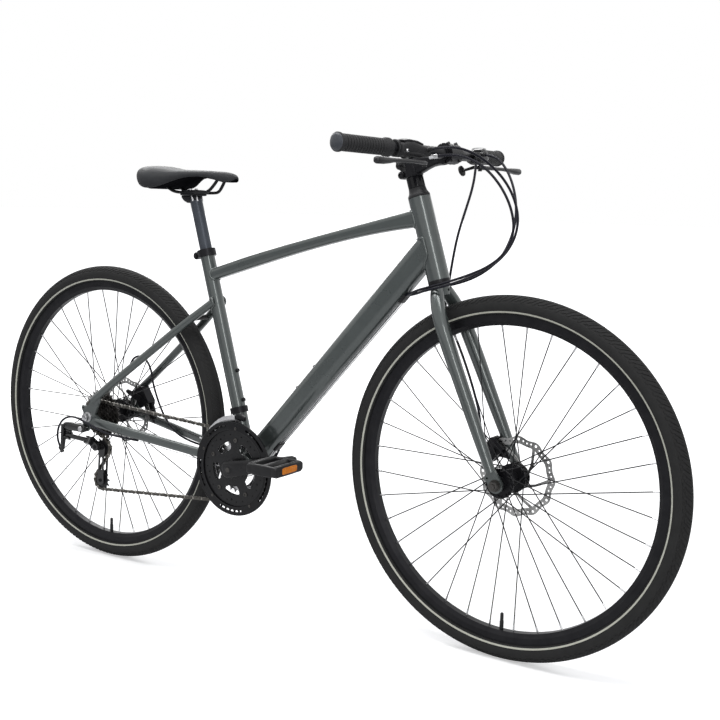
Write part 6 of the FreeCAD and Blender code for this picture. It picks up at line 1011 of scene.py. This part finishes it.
SPINDLE_HALF, SPINDLE_RADIUS = 0.0684, 0.0085
PEDAL_AXLE_FROM, PEDAL_AXLE_TO, PEDAL_AXLE_RADIUS = 0.070, 0.1594, 0.006
RING_BOLT_AT, GUARD_BOLT_AT, SLOT_OUT, SLOT_IN = 0.0625, 0.0892, 0.0962, 0.0914
GUARD_AT, GUARD_THICK, GUARD_OUT, GUARD_IN, SLOT_HALF = -0.0591, 0.0026, 0.1030, 0.0842, 19
RIM_BEAD = ((0.1012, -0.0575), (0.1040, -0.0578), (0.1040, -0.0604), (0.1030, -0.0609), (0.1010, -0.0607),
            (0.1002, -0.0600))
INNER_BEAD = ((0.0840, -0.0575), (0.0858, -0.0575), (0.0862, -0.0606), (0.0852, -0.0609), (0.0842, -0.0606))
LARGE_RING_AT = -0.051
crank_black = finish_of("crank_black", (0.008, 0.008, 0.009), (0.013, 0.013, 0.014), (0.26, 0.4), metal=0.3,
                        mottle=45.0, grain=1500.0, specular=0.35)
ring_plate = finish_of("ring_plate", (0.0, 0.0, 0.0), (0.0, 0.0, 0.0), (0.22, 0.36), metal=0.9, mottle=90.0,
                       grain=2000.0)
tree = ring_plate.node_tree
place = add_node(tree, "ShaderNodeTexCoord")
across_axle = add_node(tree, "ShaderNodeSeparateXYZ")
which_ring = add_node(tree, "ShaderNodeMath", {1: LARGE_RING_AT}, operation="GREATER_THAN")
plating = add_node(tree, "ShaderNodeMix", {6: (0.012, 0.012, 0.013, 1), 7: (0.62, 0.62, 0.63, 1)},
                   data_type="RGBA")
link_up(tree, (place, "Object", across_axle, 0), (across_axle, "Y", which_ring, 0),
        (which_ring, 0, plating, "Factor"), (plating, 2, tree.nodes["Principled BSDF"], "Base Color"))
dress(ring_plate, "chainrings")
dress(dark_steel, "freewheel")
cranks, crank_bolts = [], []
spindles = [bar_between(BRACKET - Y * SPINDLE_HALF, BRACKET + Y * SPINDLE_HALF, SPINDLE_RADIUS, 24)]
for side, lean, name in CRANKS:
    way = side_slope(lean)
    middle = BRACKET + Y * (side * (CRANK_FACE + CRANK_THICK / 2))
    outer = middle + Y * (side * CRANK_THICK / 2)
    cranks += [soft_loft(along(middle, way, CRANK_ARM), side_slope(lean + 90), Y, 3.4, 36, 0.7),
               turn_outline(CRANK_CAP, outer, Y * side, X, 32, closed=False)]
    crank_bolts += [bolt_head(outer + way * CRANK_LONG, Y * side, 0.0072, 0.0012),
                    bolt_head(outer + Y * (side * 0.0010), Y * side, 0.0052, 0.0010)]
    eye = BRACKET + way * CRANK_LONG
    spindles.append(bar_between(eye + Y * (side * PEDAL_AXLE_FROM), eye + Y * (side * PEDAL_AXLE_TO),
                                PEDAL_AXLE_RADIUS, 20))
hub = BRACKET + Y * ((SPIDER_OUT + SPIDER_IN) / 2)
face_holes, guard_holes = [ring_points(FACE_IN, 40)], [ring_points(GUARD_IN, 140)]
for arm in range(SPIDER_ARMS):
    arm_turn = CRANK_LEAN + SPIDER_STEP * arm
    way, flat = side_slope(arm_turn), side_slope(arm_turn + 90)
    rows = [(hub + way * reach, width, SPIDER_IN - SPIDER_OUT - 0.0002) for reach, width in SPIDER_ARM]
    cranks.append(soft_loft(rows, flat, Y, 4.0, 28, 0.6))
    crank_bolts += [bolt_head(BRACKET + way * RING_BOLT_AT + Y * (FACE_AT - 0.0003), -Y, 0.0046, 0.0018),
                    bolt_head(BRACKET + way * GUARD_BOLT_AT + Y * (GUARD_AT - 0.0013), -Y, 0.0032, 0.0010)]
    turn = arm_turn + SPIDER_STEP / 2
    window = ring_points(WINDOW_OUT, 9, turn - WINDOW_HALF, turn + WINDOW_HALF)
    window += [ring_spot(radius, turn + aside) for radius, aside in WINDOW_CORNERS]
    window += ring_points(WINDOW_IN, 7, turn + WINDOW_HALF, turn - WINDOW_HALF)
    window += [ring_spot(radius, turn - aside) for radius, aside in WINDOW_CORNERS[::-1]]
    face_holes += [window, round_hole(0.0022, 0.0700, turn)]
    face_holes += [round_hole(0.0015, 0.0745, turn + aside, 8) for aside in (-24, -10, 10, 24)]
    guard_holes.append(ring_points(SLOT_OUT, 14, turn - SLOT_HALF, turn + SLOT_HALF)
                       + ring_points(SLOT_IN, 14, turn + SLOT_HALF, turn - SLOT_HALF))
cranks.append(sleeve(BRACKET + Y * SPIDER_IN, BRACKET - Y * (CRANK_FACE + 0.001), 0.0189, 0.0086, 0.0006))
ring_face = flat_plate(ring_points(FACE_OUT, 140), face_holes, FACE_THICK, BRACKET + Y * FACE_AT)
guard = [flat_plate(ring_points(GUARD_OUT, 160), guard_holes, GUARD_THICK, BRACKET + Y * GUARD_AT),
         turn_outline(RIM_BEAD, BRACKET, Y, X, 160), turn_outline(INNER_BEAD, BRACKET, Y, X, 140)]
fit("crank_forgings", cranks, crank_black, 35.0, "crank", "black_alloy", "crank_arms")
fit("guard_ring", guard, gloss_black, 30.0, "crank", "gloss_plastic", "chain_guard")
fit("chainring_face", [ring_face], crank_black, 30.0, "crank", "black_steel")
fit("chainset_bolts", crank_bolts, dark_steel, 30.0, "crank", "dark_steel")
fit("crank_spindles", spindles, dark_steel, 40.0, "crank", "dark_steel", "crank_arms")


# The pedals are moulded nylon cages with toothed edges, turning on steel spindles. Each has an
# amber reflector clipped into its front and its back edge.

PEDAL_NEAR, PEDAL_WIDE, PEDAL_HALF = 0.0804, 0.092, 0.038
PEDAL_EDGE = ((-0.046, 0.0125, 0.016), (-0.040, 0.013, 0.0225), (0.0, 0.013, 0.0235), (0.040, 0.013, 0.0225),
              (0.046, 0.0125, 0.016))
PEDAL_RAIL = ((-0.034, 0.0105, 0.020), (-0.012, 0.0105, 0.0225), (0.012, 0.0105, 0.0225),
              (0.034, 0.0105, 0.020))
PEDAL_BARREL = ((0.0063, -0.0455), (0.0098, -0.0455), (0.0108, -0.0440), (0.0108, 0.0440), (0.0098, 0.0455),
                (0.0063, 0.0455))
TEETH, FIRST_TOOTH, TOOTH_STEP, TOOTH_LOW, TOOTH_HIGH, TOOTH_RADIUS = 9, -0.036, 0.009, 0.0112, 0.0119, 0.0021
LENS_WIDE, LENS_TALL, LENS_SECTIONS = 0.050, 0.0142, ((-0.003, 0.0), (0.0009, 0.0), (0.0014, 0.0012))
amber = finish_of("amber_reflector", (0.62, 0.16, 0.006), (0.75, 0.24, 0.012), (0.15, 0.24), mottle=220.0,
                  grain=700.0, depth=0.5, coat=0.6)
for side, lean, name in CRANKS:
    centre = BRACKET + side_slope(lean) * CRANK_LONG
    centre.y = side * (PEDAL_NEAR + PEDAL_WIDE / 2)
    cage, lenses = [turn_outline(PEDAL_BARREL, centre, Y, X, 32)], []
    for end in (-1, 1):
        edge = centre + X * (end * (PEDAL_HALF - 0.0065))
        cage.append(soft_loft(along(edge, Y, PEDAL_EDGE), X, Z, 5.0, 28, 0.25))
        for tooth in range(TEETH):
            spot = edge + Y * (FIRST_TOOTH + TOOTH_STEP * tooth)
            cage += [bar_between(spot + Z * (rise * TOOTH_LOW), spot + Z * (rise * TOOTH_HIGH), TOOTH_RADIUS, 6)
                     for rise in (-1, 1)]
        lens = centre + X * (end * (PEDAL_HALF - 0.0012))
        lenses.append(loft([section(lens + X * (end * reach), Y, Z, LENS_WIDE - inset, LENS_TALL - inset,
                                    7.0, 28) for reach, inset in LENS_SECTIONS]))
        cage.append(soft_loft(along(centre + Y * (end * 0.0405), X, PEDAL_RAIL), Y, Z, 5.0, 24, 0.2))
    fit(name + "_pedal_cage", cage, black_plastic, 35.0, name + "_pedal_body", "black_plastic", name + "_pedal")
    fit(name + "_pedal_reflectors", lenses, amber, 30.0, name + "_pedal_body", "amber_reflector")


# The chain is riveted from waisted steel plates, an inner and an outer pair by turns, with a
# roller at every pin. It is oiled, so its outer plates are dark brown-grey and the rest is paler.

LINK_PITCH, PLATE_ROUND, PLATE_WAIST, PLATE_THICK = 0.0127, 0.0041, 0.0026, 0.001
PLATE_STEPS, PLATE_ARC, OUTER_HALF, WELD_GAP = 6, 124, 0.0029, 2e-6
chain_steel = finish_of("chain_steel", (0.2, 0.19, 0.175), (0.36, 0.345, 0.32), (0.3, 0.48), metal=0.95,
                        mottle=90.0, grain=2000.0)
chain_brown = finish_of("chain_brown", (0.055, 0.052, 0.047), (0.11, 0.105, 0.096), (0.28, 0.45), metal=0.9,
                        mottle=140.0, grain=2400.0, depth=0.15)
link_tree, link_in, link_out, link_keys = geometry_tree(
    "links_on_places", ("Geometry", "Geometry"), ("Template", "Object"), ("Finish", "Material"))
to_places = add_node(link_tree, "GeometryNodeMeshToPoints")
lean_of = add_node(link_tree, "GeometryNodeInputNamedAttribute", {"Name": "lean"}, data_type="FLOAT")
about = add_node(link_tree, "ShaderNodeCombineXYZ")
turned = add_node(link_tree, "FunctionNodeEulerToRotation")
pattern = add_node(link_tree, "GeometryNodeObjectInfo")
strung = add_node(link_tree, "GeometryNodeInstanceOnPoints")
made = add_node(link_tree, "GeometryNodeRealizeInstances")
finish = add_node(link_tree, "GeometryNodeSetMaterial")
link_up(link_tree, (link_in, "Geometry", to_places, "Mesh"), (lean_of, "Attribute", about, "Y"),
        (about, 0, turned, 0), (link_in, "Template", pattern, "Object"), (to_places, 0, strung, "Points"),
        (pattern, "Geometry", strung, "Instance"), (turned, 0, strung, "Rotation"), (strung, 0, made, 0),
        (made, 0, finish, "Geometry"), (link_in, "Finish", finish, "Material"), (finish, 0, link_out, 0))


def loose_groups(mesh):
    """Points of each separate solid of a mesh."""
    work = bmesh.new()
    work.from_mesh(mesh)
    bmesh.ops.remove_doubles(work, verts=work.verts, dist=WELD_GAP)
    groups, left_over = [], set(work.verts)
    while left_over:
        group, waiting = [], [left_over.pop()]
        while waiting:
            vertex = waiting.pop()
            group.append(vertex.co.copy())
            for edge in vertex.link_edges:
                other = edge.other_vert(vertex)
                if other in left_over:
                    left_over.discard(other)
                    waiting.append(other)
        groups.append(group)
    work.free()
    return groups


def farthest(spots, start):
    """The one of some points that is farthest from a point, seen from the side."""
    return max(spots, key=lambda spot: math.hypot(spot.x - start.x, spot.z - start.z))


link_places = {"inner": [], "outer": []}
for group in loose_groups(nodes["chain"].data):
    spots = [nodes["chain"].matrix_world @ point for point in group]
    middle = sum(spots, Vector()) / len(spots)
    far = farthest(spots, middle)
    opposite = farthest(spots, far)
    kind = "outer" if max(abs(spot.y - middle.y) for spot in spots) > OUTER_HALF else "inner"
    centre = Vector(((far.x + opposite.x) / 2, middle.y, (far.z + opposite.z) / 2))
    link_places[kind].append((centre, math.atan2(opposite.z - far.z, far.x - opposite.x)))


def link_plates(offset, pin_half, pin_radius, pin_sides):
    """One link about its middle: two waisted plates, and the rollers or rivets of its two pins."""
    outline = []
    for end, first in ((1, -PLATE_ARC / 2), (-1, 180 - PLATE_ARC / 2)):
        for step in range(PLATE_STEPS + 1):
            x, z = ring_spot(PLATE_ROUND, first + PLATE_ARC * step / PLATE_STEPS)
            outline.append((end * LINK_PITCH / 2 + x, z))
        outline.append((0.0, end * PLATE_WAIST))
    shapes = [flat_plate(outline, [], PLATE_THICK, Y * (side * offset)) for side in (-1, 1)]
    for end in (-1, 1):
        pin = X * (end * LINK_PITCH / 2)
        shapes.append(bar_between(pin - Y * pin_half, pin + Y * pin_half, pin_radius, pin_sides))
    return join_meshes(shapes)


def string_links(places, template, material):
    """Plain mesh of a link repeated at each of its places along the chain."""
    points = plain_points([spot for spot, lean in places], [])
    points.attributes.new("lean", "FLOAT", "POINT").data.foreach_set("value", [lean for spot, lean in places])
    return grow(link_tree, link_keys, points, template, Finish=material)


for kind, material, link in (("inner", chain_steel, link_plates(0.00185, 0.00125, 0.0036, 12)),
                             ("outer", chain_brown, link_plates(0.00293, 0.00373, 0.0018, 10))):
    links = string_links(link_places[kind], link, material)
    fit("chain_" + kind + "_links", [links], material, 35.0, "frame", "chain_steel", "chain")


# The front gear's cage is pressed from plated sheet: two curved plates and a bridge over the chain.
# A cast black arm above them slides it across from the clamp on the seat tube.

CAGE_OUT, CAGE_IN, CAGE_SHEET = -0.0528, -0.0422, 0.0014
OUTER_PLATE = ((91, 0.1135), (95, 0.1152), (101, 0.1155), (108, 0.1145), (115, 0.1128), (122, 0.1108),
               (129, 0.109), (135, 0.1078))
INNER_PLATE = ((86, 0.112), (92, 0.1155), (101, 0.1155), (110, 0.113), (119, 0.109), (128, 0.104), (135, 0.099))
BRIDGE_TURNS, BRIDGE_REACH = (91, 95, 99, 103), 0.1148
GEAR_ARM = ((79, 0.1105, 0.010), (83, 0.112, 0.0135), (88, 0.1125, 0.0135), (92.5, 0.1115, 0.009))
plates = []
for middle, inner, edges in ((CAGE_OUT, 0.1062, OUTER_PLATE), (CAGE_IN, 0.0875, INNER_PLATE)):
    outline = [ring_spot(outer, turn) for turn, outer in edges]
    outline += [ring_spot(inner, turn) for turn, outer in edges[::-1]]
    plates.append(flat_plate(outline, [], CAGE_SHEET, BRACKET + Y * middle))
bridge_middle = BRACKET + Y * ((CAGE_OUT + CAGE_IN) / 2)
plates.append(loft([section(bridge_middle + side_slope(turn) * BRIDGE_REACH, Y, side_slope(turn),
                            CAGE_IN - CAGE_OUT + CAGE_SHEET, CAGE_SHEET, 8.0, 20) for turn in BRIDGE_TURNS]))
stations = [(BRACKET + side_slope(turn) * reach - Y * 0.0455, tall, 0.011) for turn, reach, tall in GEAR_ARM]
pin = BRACKET + side_slope(92) * 0.1135
gear_arm = [soft_loft(stations, side_slope(86), Y, 4.0, 24),
            bar_between(pin - Y * 0.0435, pin - Y * 0.0235, 0.003, 16)]
for name, meshes, material, slot in (("front_gear_cage", plates, bright_steel, "bright_steel"),
                                     ("front_gear_arm", gear_arm, black_alloy, "black_alloy")):
    fit(name, meshes, material, 35.0, "front_derailleur_body", slot, "front_derailleur_cage")


# The rear gear's link is a cast arm between two pins, and its cage is a pair of pressed plates
# round the two moulded pulleys. A plated bolt holds it to the dropout, and the wire's end hangs loose.

LINK_FRONT, LINK_PIN = Vector((-0.534, -0.068, 0.294)), Vector((0, 0.5, math.cos(math.radians(30))))
LINK_SIDE = Vector((0, math.cos(math.radians(30)), -0.5))
LINK_WAY = X * math.cos(math.radians(14)) + LINK_SIDE * math.sin(math.radians(14))
LINK_REAR, LINK_FLAT = LINK_FRONT - LINK_WAY * 0.058, LINK_PIN.cross(LINK_WAY)
LINK_ARM = ((-0.0073, 0.0125, 0.0112), (0.0, 0.0148, 0.0118), (0.016, 0.0140, 0.0112), (0.029, 0.0132, 0.0106),
            (0.042, 0.0140, 0.0112), (0.058, 0.0148, 0.0118), (0.0653, 0.0125, 0.0112))
HANGER, KNEE = Vector((-0.537, -0.082, 0.325)), Vector((-0.590, -0.082, 0.325))
STOP, STOP_WAY = Vector((-0.604, -0.087, 0.262)), Vector((0.51, 0.13, -0.85)).normalized()
UPPER_ARM = ((0.0085, 0.0165, 0.0140), (0.0, 0.0205, 0.0150), (-0.020, 0.0185, 0.0150))
KNEE_END = ((0.010, 0.0200, 0.0150), (-0.010, 0.0165, 0.0140))
REAR_ARM = ((-0.6025, -0.0825, 0.3285, 0.0085, 0.0135), (-0.6030, -0.0825, 0.314, 0.0090, 0.0145),
            (-0.6030, -0.0835, 0.296, 0.0090, 0.0140), (-0.6035, -0.0850, 0.280, 0.0085, 0.0115))
EAR_STATIONS = ((-0.0135, 0.013), (-0.006, 0.0165), (-0.001, 0.0175))
STOP_BARREL = ((0.0027, -0.0125), (0.0036, -0.0125), (0.0046, -0.0105), (0.0046, -0.0085), (0.0041, -0.008),
               (0.0046, -0.0075), (0.0046, -0.0045), (0.0041, -0.004), (0.0046, -0.0035), (0.0046, 0.003),
               (0.0027, 0.003))
GUIDE_PULLEY, TENSION_PULLEY = Vector((-0.505, 0, 0.277)), Vector((-0.5108, 0, 0.1982))
CAGE_PIVOT = Vector((-0.514, 0, 0.281))
CAGE_LONG = (TENSION_PULLEY - GUIDE_PULLEY).length
CAGE_LEAN = math.degrees(math.atan2(TENSION_PULLEY.z - GUIDE_PULLEY.z, TENSION_PULLEY.x - GUIDE_PULLEY.x))
CAGE_ROUND, CAGE_WAIST, CAGE_THICK, CAGE_STEPS, CAGE_ARC = 0.0118, 0.0088, 0.0019, 12, 160
CAGE_HOLE = ((CAGE_LONG * 0.3 + 0.002, -0.004), (CAGE_LONG * 0.68, -0.0045), (CAGE_LONG * 0.72, 0.0),
             (CAGE_LONG * 0.68, 0.0045), (CAGE_LONG * 0.3 + 0.002, 0.004), (CAGE_LONG * 0.26, 0.0))
LOOSE_END = ((-600, -88, 258), (-596, -90, 250), (-588, -92, 240), (-584, -91, 229), (-586, -90, 219))
gear_black = finish_of("gear_black", (0.007, 0.007, 0.008), (0.013, 0.013, 0.014), (0.16, 0.3), mottle=70.0,
                       grain=1500.0)
dress(gear_black, "rear_derailleur_knuckle")
dress(black_plastic, "guide_pulley", "tension_pulley")
upper_arm = along(HANGER, X, UPPER_ARM) + along(KNEE, X, KNEE_END)
rear_arm = [(Vector(place), width, height) for *place, width, height in REAR_ARM]
rear_arm.append((STOP + Vector((0.0010, 0.0005, 0.0035)), 0.0080, 0.0090))
casting = [soft_loft(upper_arm, Z, Y, 3.2, 28, 0.7), soft_loft(rear_arm, X, Y, 3.0, 24, 0.6)]
for near, far in ((0.0062, 0.0092), (-0.0062, -0.0092)):
    ear = LINK_REAR + LINK_PIN * ((near + far) / 2)
    stations = [(ear + X * reach, wide, abs(far - near)) for reach, wide in EAR_STATIONS]
    casting += [bar_between(LINK_REAR + LINK_PIN * near, LINK_REAR + LINK_PIN * far, 0.0095, 32),
                soft_loft(stations, LINK_FLAT, LINK_PIN, 4.0, 20, 0.2)]
casting += [bar_between(LINK_REAR + LINK_PIN * 0.0092, LINK_REAR + LINK_PIN * 0.0105, 0.0042, 20),
            bar_between(LINK_REAR + LINK_PIN * 0.008, KNEE - Z * 0.006 + X * 0.001, 0.0068, 24),
            turn_outline(STOP_BARREL, STOP, STOP_WAY, Y, 24)]
fit("rear_gear_bracket", casting, gear_black, 40.0, "frame", "black_steel", "rear_derailleur_bracket")
link_arm = soft_loft(along(LINK_REAR, LINK_WAY, LINK_ARM), LINK_FLAT, LINK_PIN, 2.8, 32, 0.9)
fit("rear_gear_link", [link_arm], gear_black, 40.0, "derailleur_link_body", "gloss_plastic",
    "rear_derailleur_link")
cage_outline = []
for end, first, edge, turns in ((0.0, 100, -CAGE_WAIST, (0.3, 0.7)), (CAGE_LONG, -80, CAGE_WAIST, (0.7, 0.3))):
    for step in range(CAGE_STEPS + 1):
        x, z = ring_spot(CAGE_ROUND, first + CAGE_ARC * step / CAGE_STEPS)
        cage_outline.append((end + x, z))
    cage_outline += [(CAGE_LONG * share, edge) for share in turns]
cage = [flat_plate(cage_outline, [CAGE_HOLE], CAGE_THICK, GUIDE_PULLEY + Y * level, CAGE_LEAN)
        for level in (-0.0535, -0.0415)]
cage += [bar_between(CAGE_PIVOT - Y * 0.0526, CAGE_PIVOT - Y * 0.0545, 0.0118, 32),
         bar_between(CAGE_PIVOT - Y * 0.0535, CAGE_PIVOT - Y * 0.0678, 0.005, 20)]
cage_bolts = [bolt_head(CAGE_PIVOT - Y * 0.0676, -Y, 0.0046, 0.0012)]
for pulley in (GUIDE_PULLEY, TENSION_PULLEY):
    cage_bolts += [bar_between(pulley - Y * 0.0546, pulley - Y * 0.0404, 0.0025, 12),
                   bolt_head(pulley - Y * 0.0544, -Y, 0.0042, 0.0022)]
for name, meshes, material in (("rear_gear_cage", cage, gear_black),
                               ("rear_gear_screws", cage_bolts, black_steel)):
    fit(name, meshes, material, 30.0, "derailleur_cage_body", "black_steel", "rear_derailleur_cage")
fixings = [smooth_line(millimetres(LOOSE_END), WIRE_RADIUS, sides=1),
           bolt_head(HANGER - Y * 0.0085, -Y, 0.0062, 0.003)]
fit("rear_gear_fixings", fixings, bright_steel, 35.0, "frame", "bright_steel")


# Each brake's caliper is a black casting on a plated adaptor bracket with drilled slots. A knob
# sets the inner pad, two socket screws hold the casting to its bracket, and a steel arm pulls it.

STRAP_HALF, STRAP_ROUND, STRAP_THICK = 0.021, 0.0065, 0.0022
STRAP_HOLE, STRAP_HOLE_AT = 0.0032, 0.0085
KNOB_OUTLINE = ((0, 0.0085), (0.0052, 0.0083), (0.0066, 0.0072), (0.0070, 0.0), (0, 0.0))
CALIPER_REACH, STRAP_RISE, KNOB_DROP = 0.070, 0.006, 0.006
dress(black_alloy, "front_brake_caliper", "rear_brake_caliper")
dress(black_steel, "front_brake_arm", "rear_brake_arm")
strap_outline = [(x - STRAP_HALF, z) for x, z in ring_points(STRAP_ROUND, 10, 90, 270)]
strap_outline += [(x + STRAP_HALF, z) for x, z in ring_points(STRAP_ROUND, 10, -90, 90)]
strap_holes = [round_hole(STRAP_HOLE, STRAP_HOLE_AT, turn) for turn in (0, 180)]
for (end, axle), angle, face, body in zip(WHEELS, (139.0, 33.0), (0.0521, 0.0648), ("steering", "frame")):
    out, run = side_slope(angle), side_slope(angle + 90)
    middle = axle + out * CALIPER_REACH + Y * face
    strap_at = middle + out * STRAP_RISE
    strap = flat_plate(strap_outline, strap_holes, STRAP_THICK, strap_at + Y * 0.0013, angle + 90)
    screws = [bolt_head(strap_at + run * reach + Y * 0.0024, Y, 0.0042, 0.0036)
              for reach in (-STRAP_HALF, STRAP_HALF)]
    knob = turn_outline(KNOB_OUTLINE, middle - out * KNOB_DROP, Y, X, 28, closed=False)
    fit(end + "_brake_adaptor", [strap], bright_steel, 30.0, body, "bright_steel")
    fit(end + "_brake_screws", screws, black_steel, 30.0, body, "black_steel")
    fit(end + "_brake_knob", [knob], black_plastic, 35.0, body, "black_plastic")


# The studio: a pale floor that fades into a white surround, a long soft lamp overhead, one in
# front and two behind, and the camera at the photograph's angle.

AZIMUTH, ELEVATION, ROLL = math.radians(33.1356), math.radians(7.9748), math.radians(1.4339)
AIM, DISTANCE, FOCAL_PIXELS = Vector((0.186, 0, 0.55047)), 2.2778, 1113.589
PICTURE_PIXELS, SENSOR = 720, 36.0
back = Vector((math.sin(AZIMUTH) * math.cos(ELEVATION), -math.cos(AZIMUTH) * math.cos(ELEVATION),
               math.sin(ELEVATION)))
level = (-back).cross(Z).normalized()
upright = level.cross(-back)
across = level * math.cos(ROLL) + upright * math.sin(ROLL)
upward = upright * math.cos(ROLL) - level * math.sin(ROLL)
camera = bpy.data.objects.new("camera", bpy.data.cameras.new("camera"))
camera.data.sensor_width = SENSOR
camera.data.lens = SENSOR * FOCAL_PIXELS / PICTURE_PIXELS
facing = Matrix((across, upward, back)).transposed().to_4x4()
camera.matrix_world = Matrix.Translation(AIM + back * DISTANCE) @ facing
bpy.context.collection.objects.link(camera)
bpy.context.scene.camera = camera

world = bpy.data.worlds.new("studio")
world.use_nodes = True
bpy.context.scene.world = world
tree = world.node_tree
surround = tree.nodes["Background"]
surround.inputs["Color"].default_value = (0.93, 0.95, 1.0, 1)
surround.inputs["Strength"].default_value = 0.42
seen = add_node(tree, "ShaderNodeBackground", {"Color": (1, 1, 1, 1)})
ray = add_node(tree, "ShaderNodeLightPath")
seen_or_mirrored = add_node(tree, "ShaderNodeMath", operation="MAXIMUM")
any_of_them = add_node(tree, "ShaderNodeMath", operation="MAXIMUM")
choice = add_node(tree, "ShaderNodeMixShader")
link_up(tree, (ray, "Is Camera Ray", seen_or_mirrored, 0), (ray, "Is Glossy Ray", seen_or_mirrored, 1),
        (seen_or_mirrored, "Value", any_of_them, 0), (ray, "Is Transmission Ray", any_of_them, 1),
        (any_of_them, "Value", choice, "Fac"), (surround, "Background", choice, 1),
        (seen, "Background", choice, 2), (choice, "Shader", tree.nodes["World Output"], "Surface"))

FLOOR_HALF = 60
corners = [(x * FLOOR_HALF, y * FLOOR_HALF, 0) for x, y in ((-1, -1), (1, -1), (1, 1), (-1, 1))]
floor_mesh = plain_points(corners, [(0, 1, 2, 3)])
floor = bpy.data.objects.new("floor", floor_mesh)
bpy.context.collection.objects.link(floor)
floor_material = bpy.data.materials.new("studio_floor")
floor_material.use_nodes = True
tree = floor_material.node_tree
matt = tree.nodes["Principled BSDF"]
matt.inputs["Roughness"].default_value = 0.9
speck = add_node(tree, "ShaderNodeTexNoise", {"Scale": 3.0})
pale = add_node(tree, "ShaderNodeMapRange", {"To Min": 0.84, "To Max": 0.86})
glow = add_node(tree, "ShaderNodeEmission")
spot = add_node(tree, "ShaderNodeTexCoord")
reach = add_node(tree, "ShaderNodeVectorMath", operation="LENGTH")
fade = add_node(tree, "ShaderNodeMapRange", {"From Min": 0.6, "From Max": 3.2, "To Min": 0.42, "To Max": 1.0},
                interpolation_type="SMOOTHSTEP")
ray = add_node(tree, "ShaderNodeLightPath")
nothing = add_node(tree, "ShaderNodeEmission", {"Strength": 0.0})
shown = add_node(tree, "ShaderNodeMixShader")
both = add_node(tree, "ShaderNodeAddShader")
link_up(tree, (speck, "Fac", pale, "Value"), (pale, "Result", matt, "Base Color"), (spot, "Object", reach, 0),
        (reach, "Value", fade, "Value"), (fade, "Result", glow, "Strength"),
        (ray, "Is Camera Ray", shown, "Fac"), (nothing, "Emission", shown, 1),
        (glow, "Emission", shown, 2), (matt, "BSDF", both, 0),
        (shown, "Shader", both, 1), (both, "Shader", tree.nodes["Material Output"], "Surface"))
floor_mesh.materials.append(floor_material)

LAMP_AIM = Vector((0, 0, 0.5))
LAMPS = (("top_lamp", (0.1, -0.7, 2.7), 3.4, 0.7, 42.0), ("front_lamp", (2.4, -2.3, 1.5), 0.5, 2.2, 24.0),
         ("rim_lamp", (-1.3, 1.3, 2.3), 3.0, 0.5, 22.0), ("rear_lamp", (-2.4, 1.9, 2.2), 1.2, 1.8, 26.0))
for name, place, long, deep, watts in LAMPS:
    lamp = bpy.data.objects.new(name, bpy.data.lights.new(name, "AREA"))
    lamp.data.shape = "RECTANGLE"
    lamp.data.size, lamp.data.size_y = long, deep
    lamp.data.energy = watts
    lamp.location = place
    lamp.rotation_euler = (LAMP_AIM - Vector(place)).to_track_quat("-Z", "Y").to_euler()
    bpy.context.collection.objects.link(lamp)

bpy.context.scene.view_settings.view_transform = "Standard"
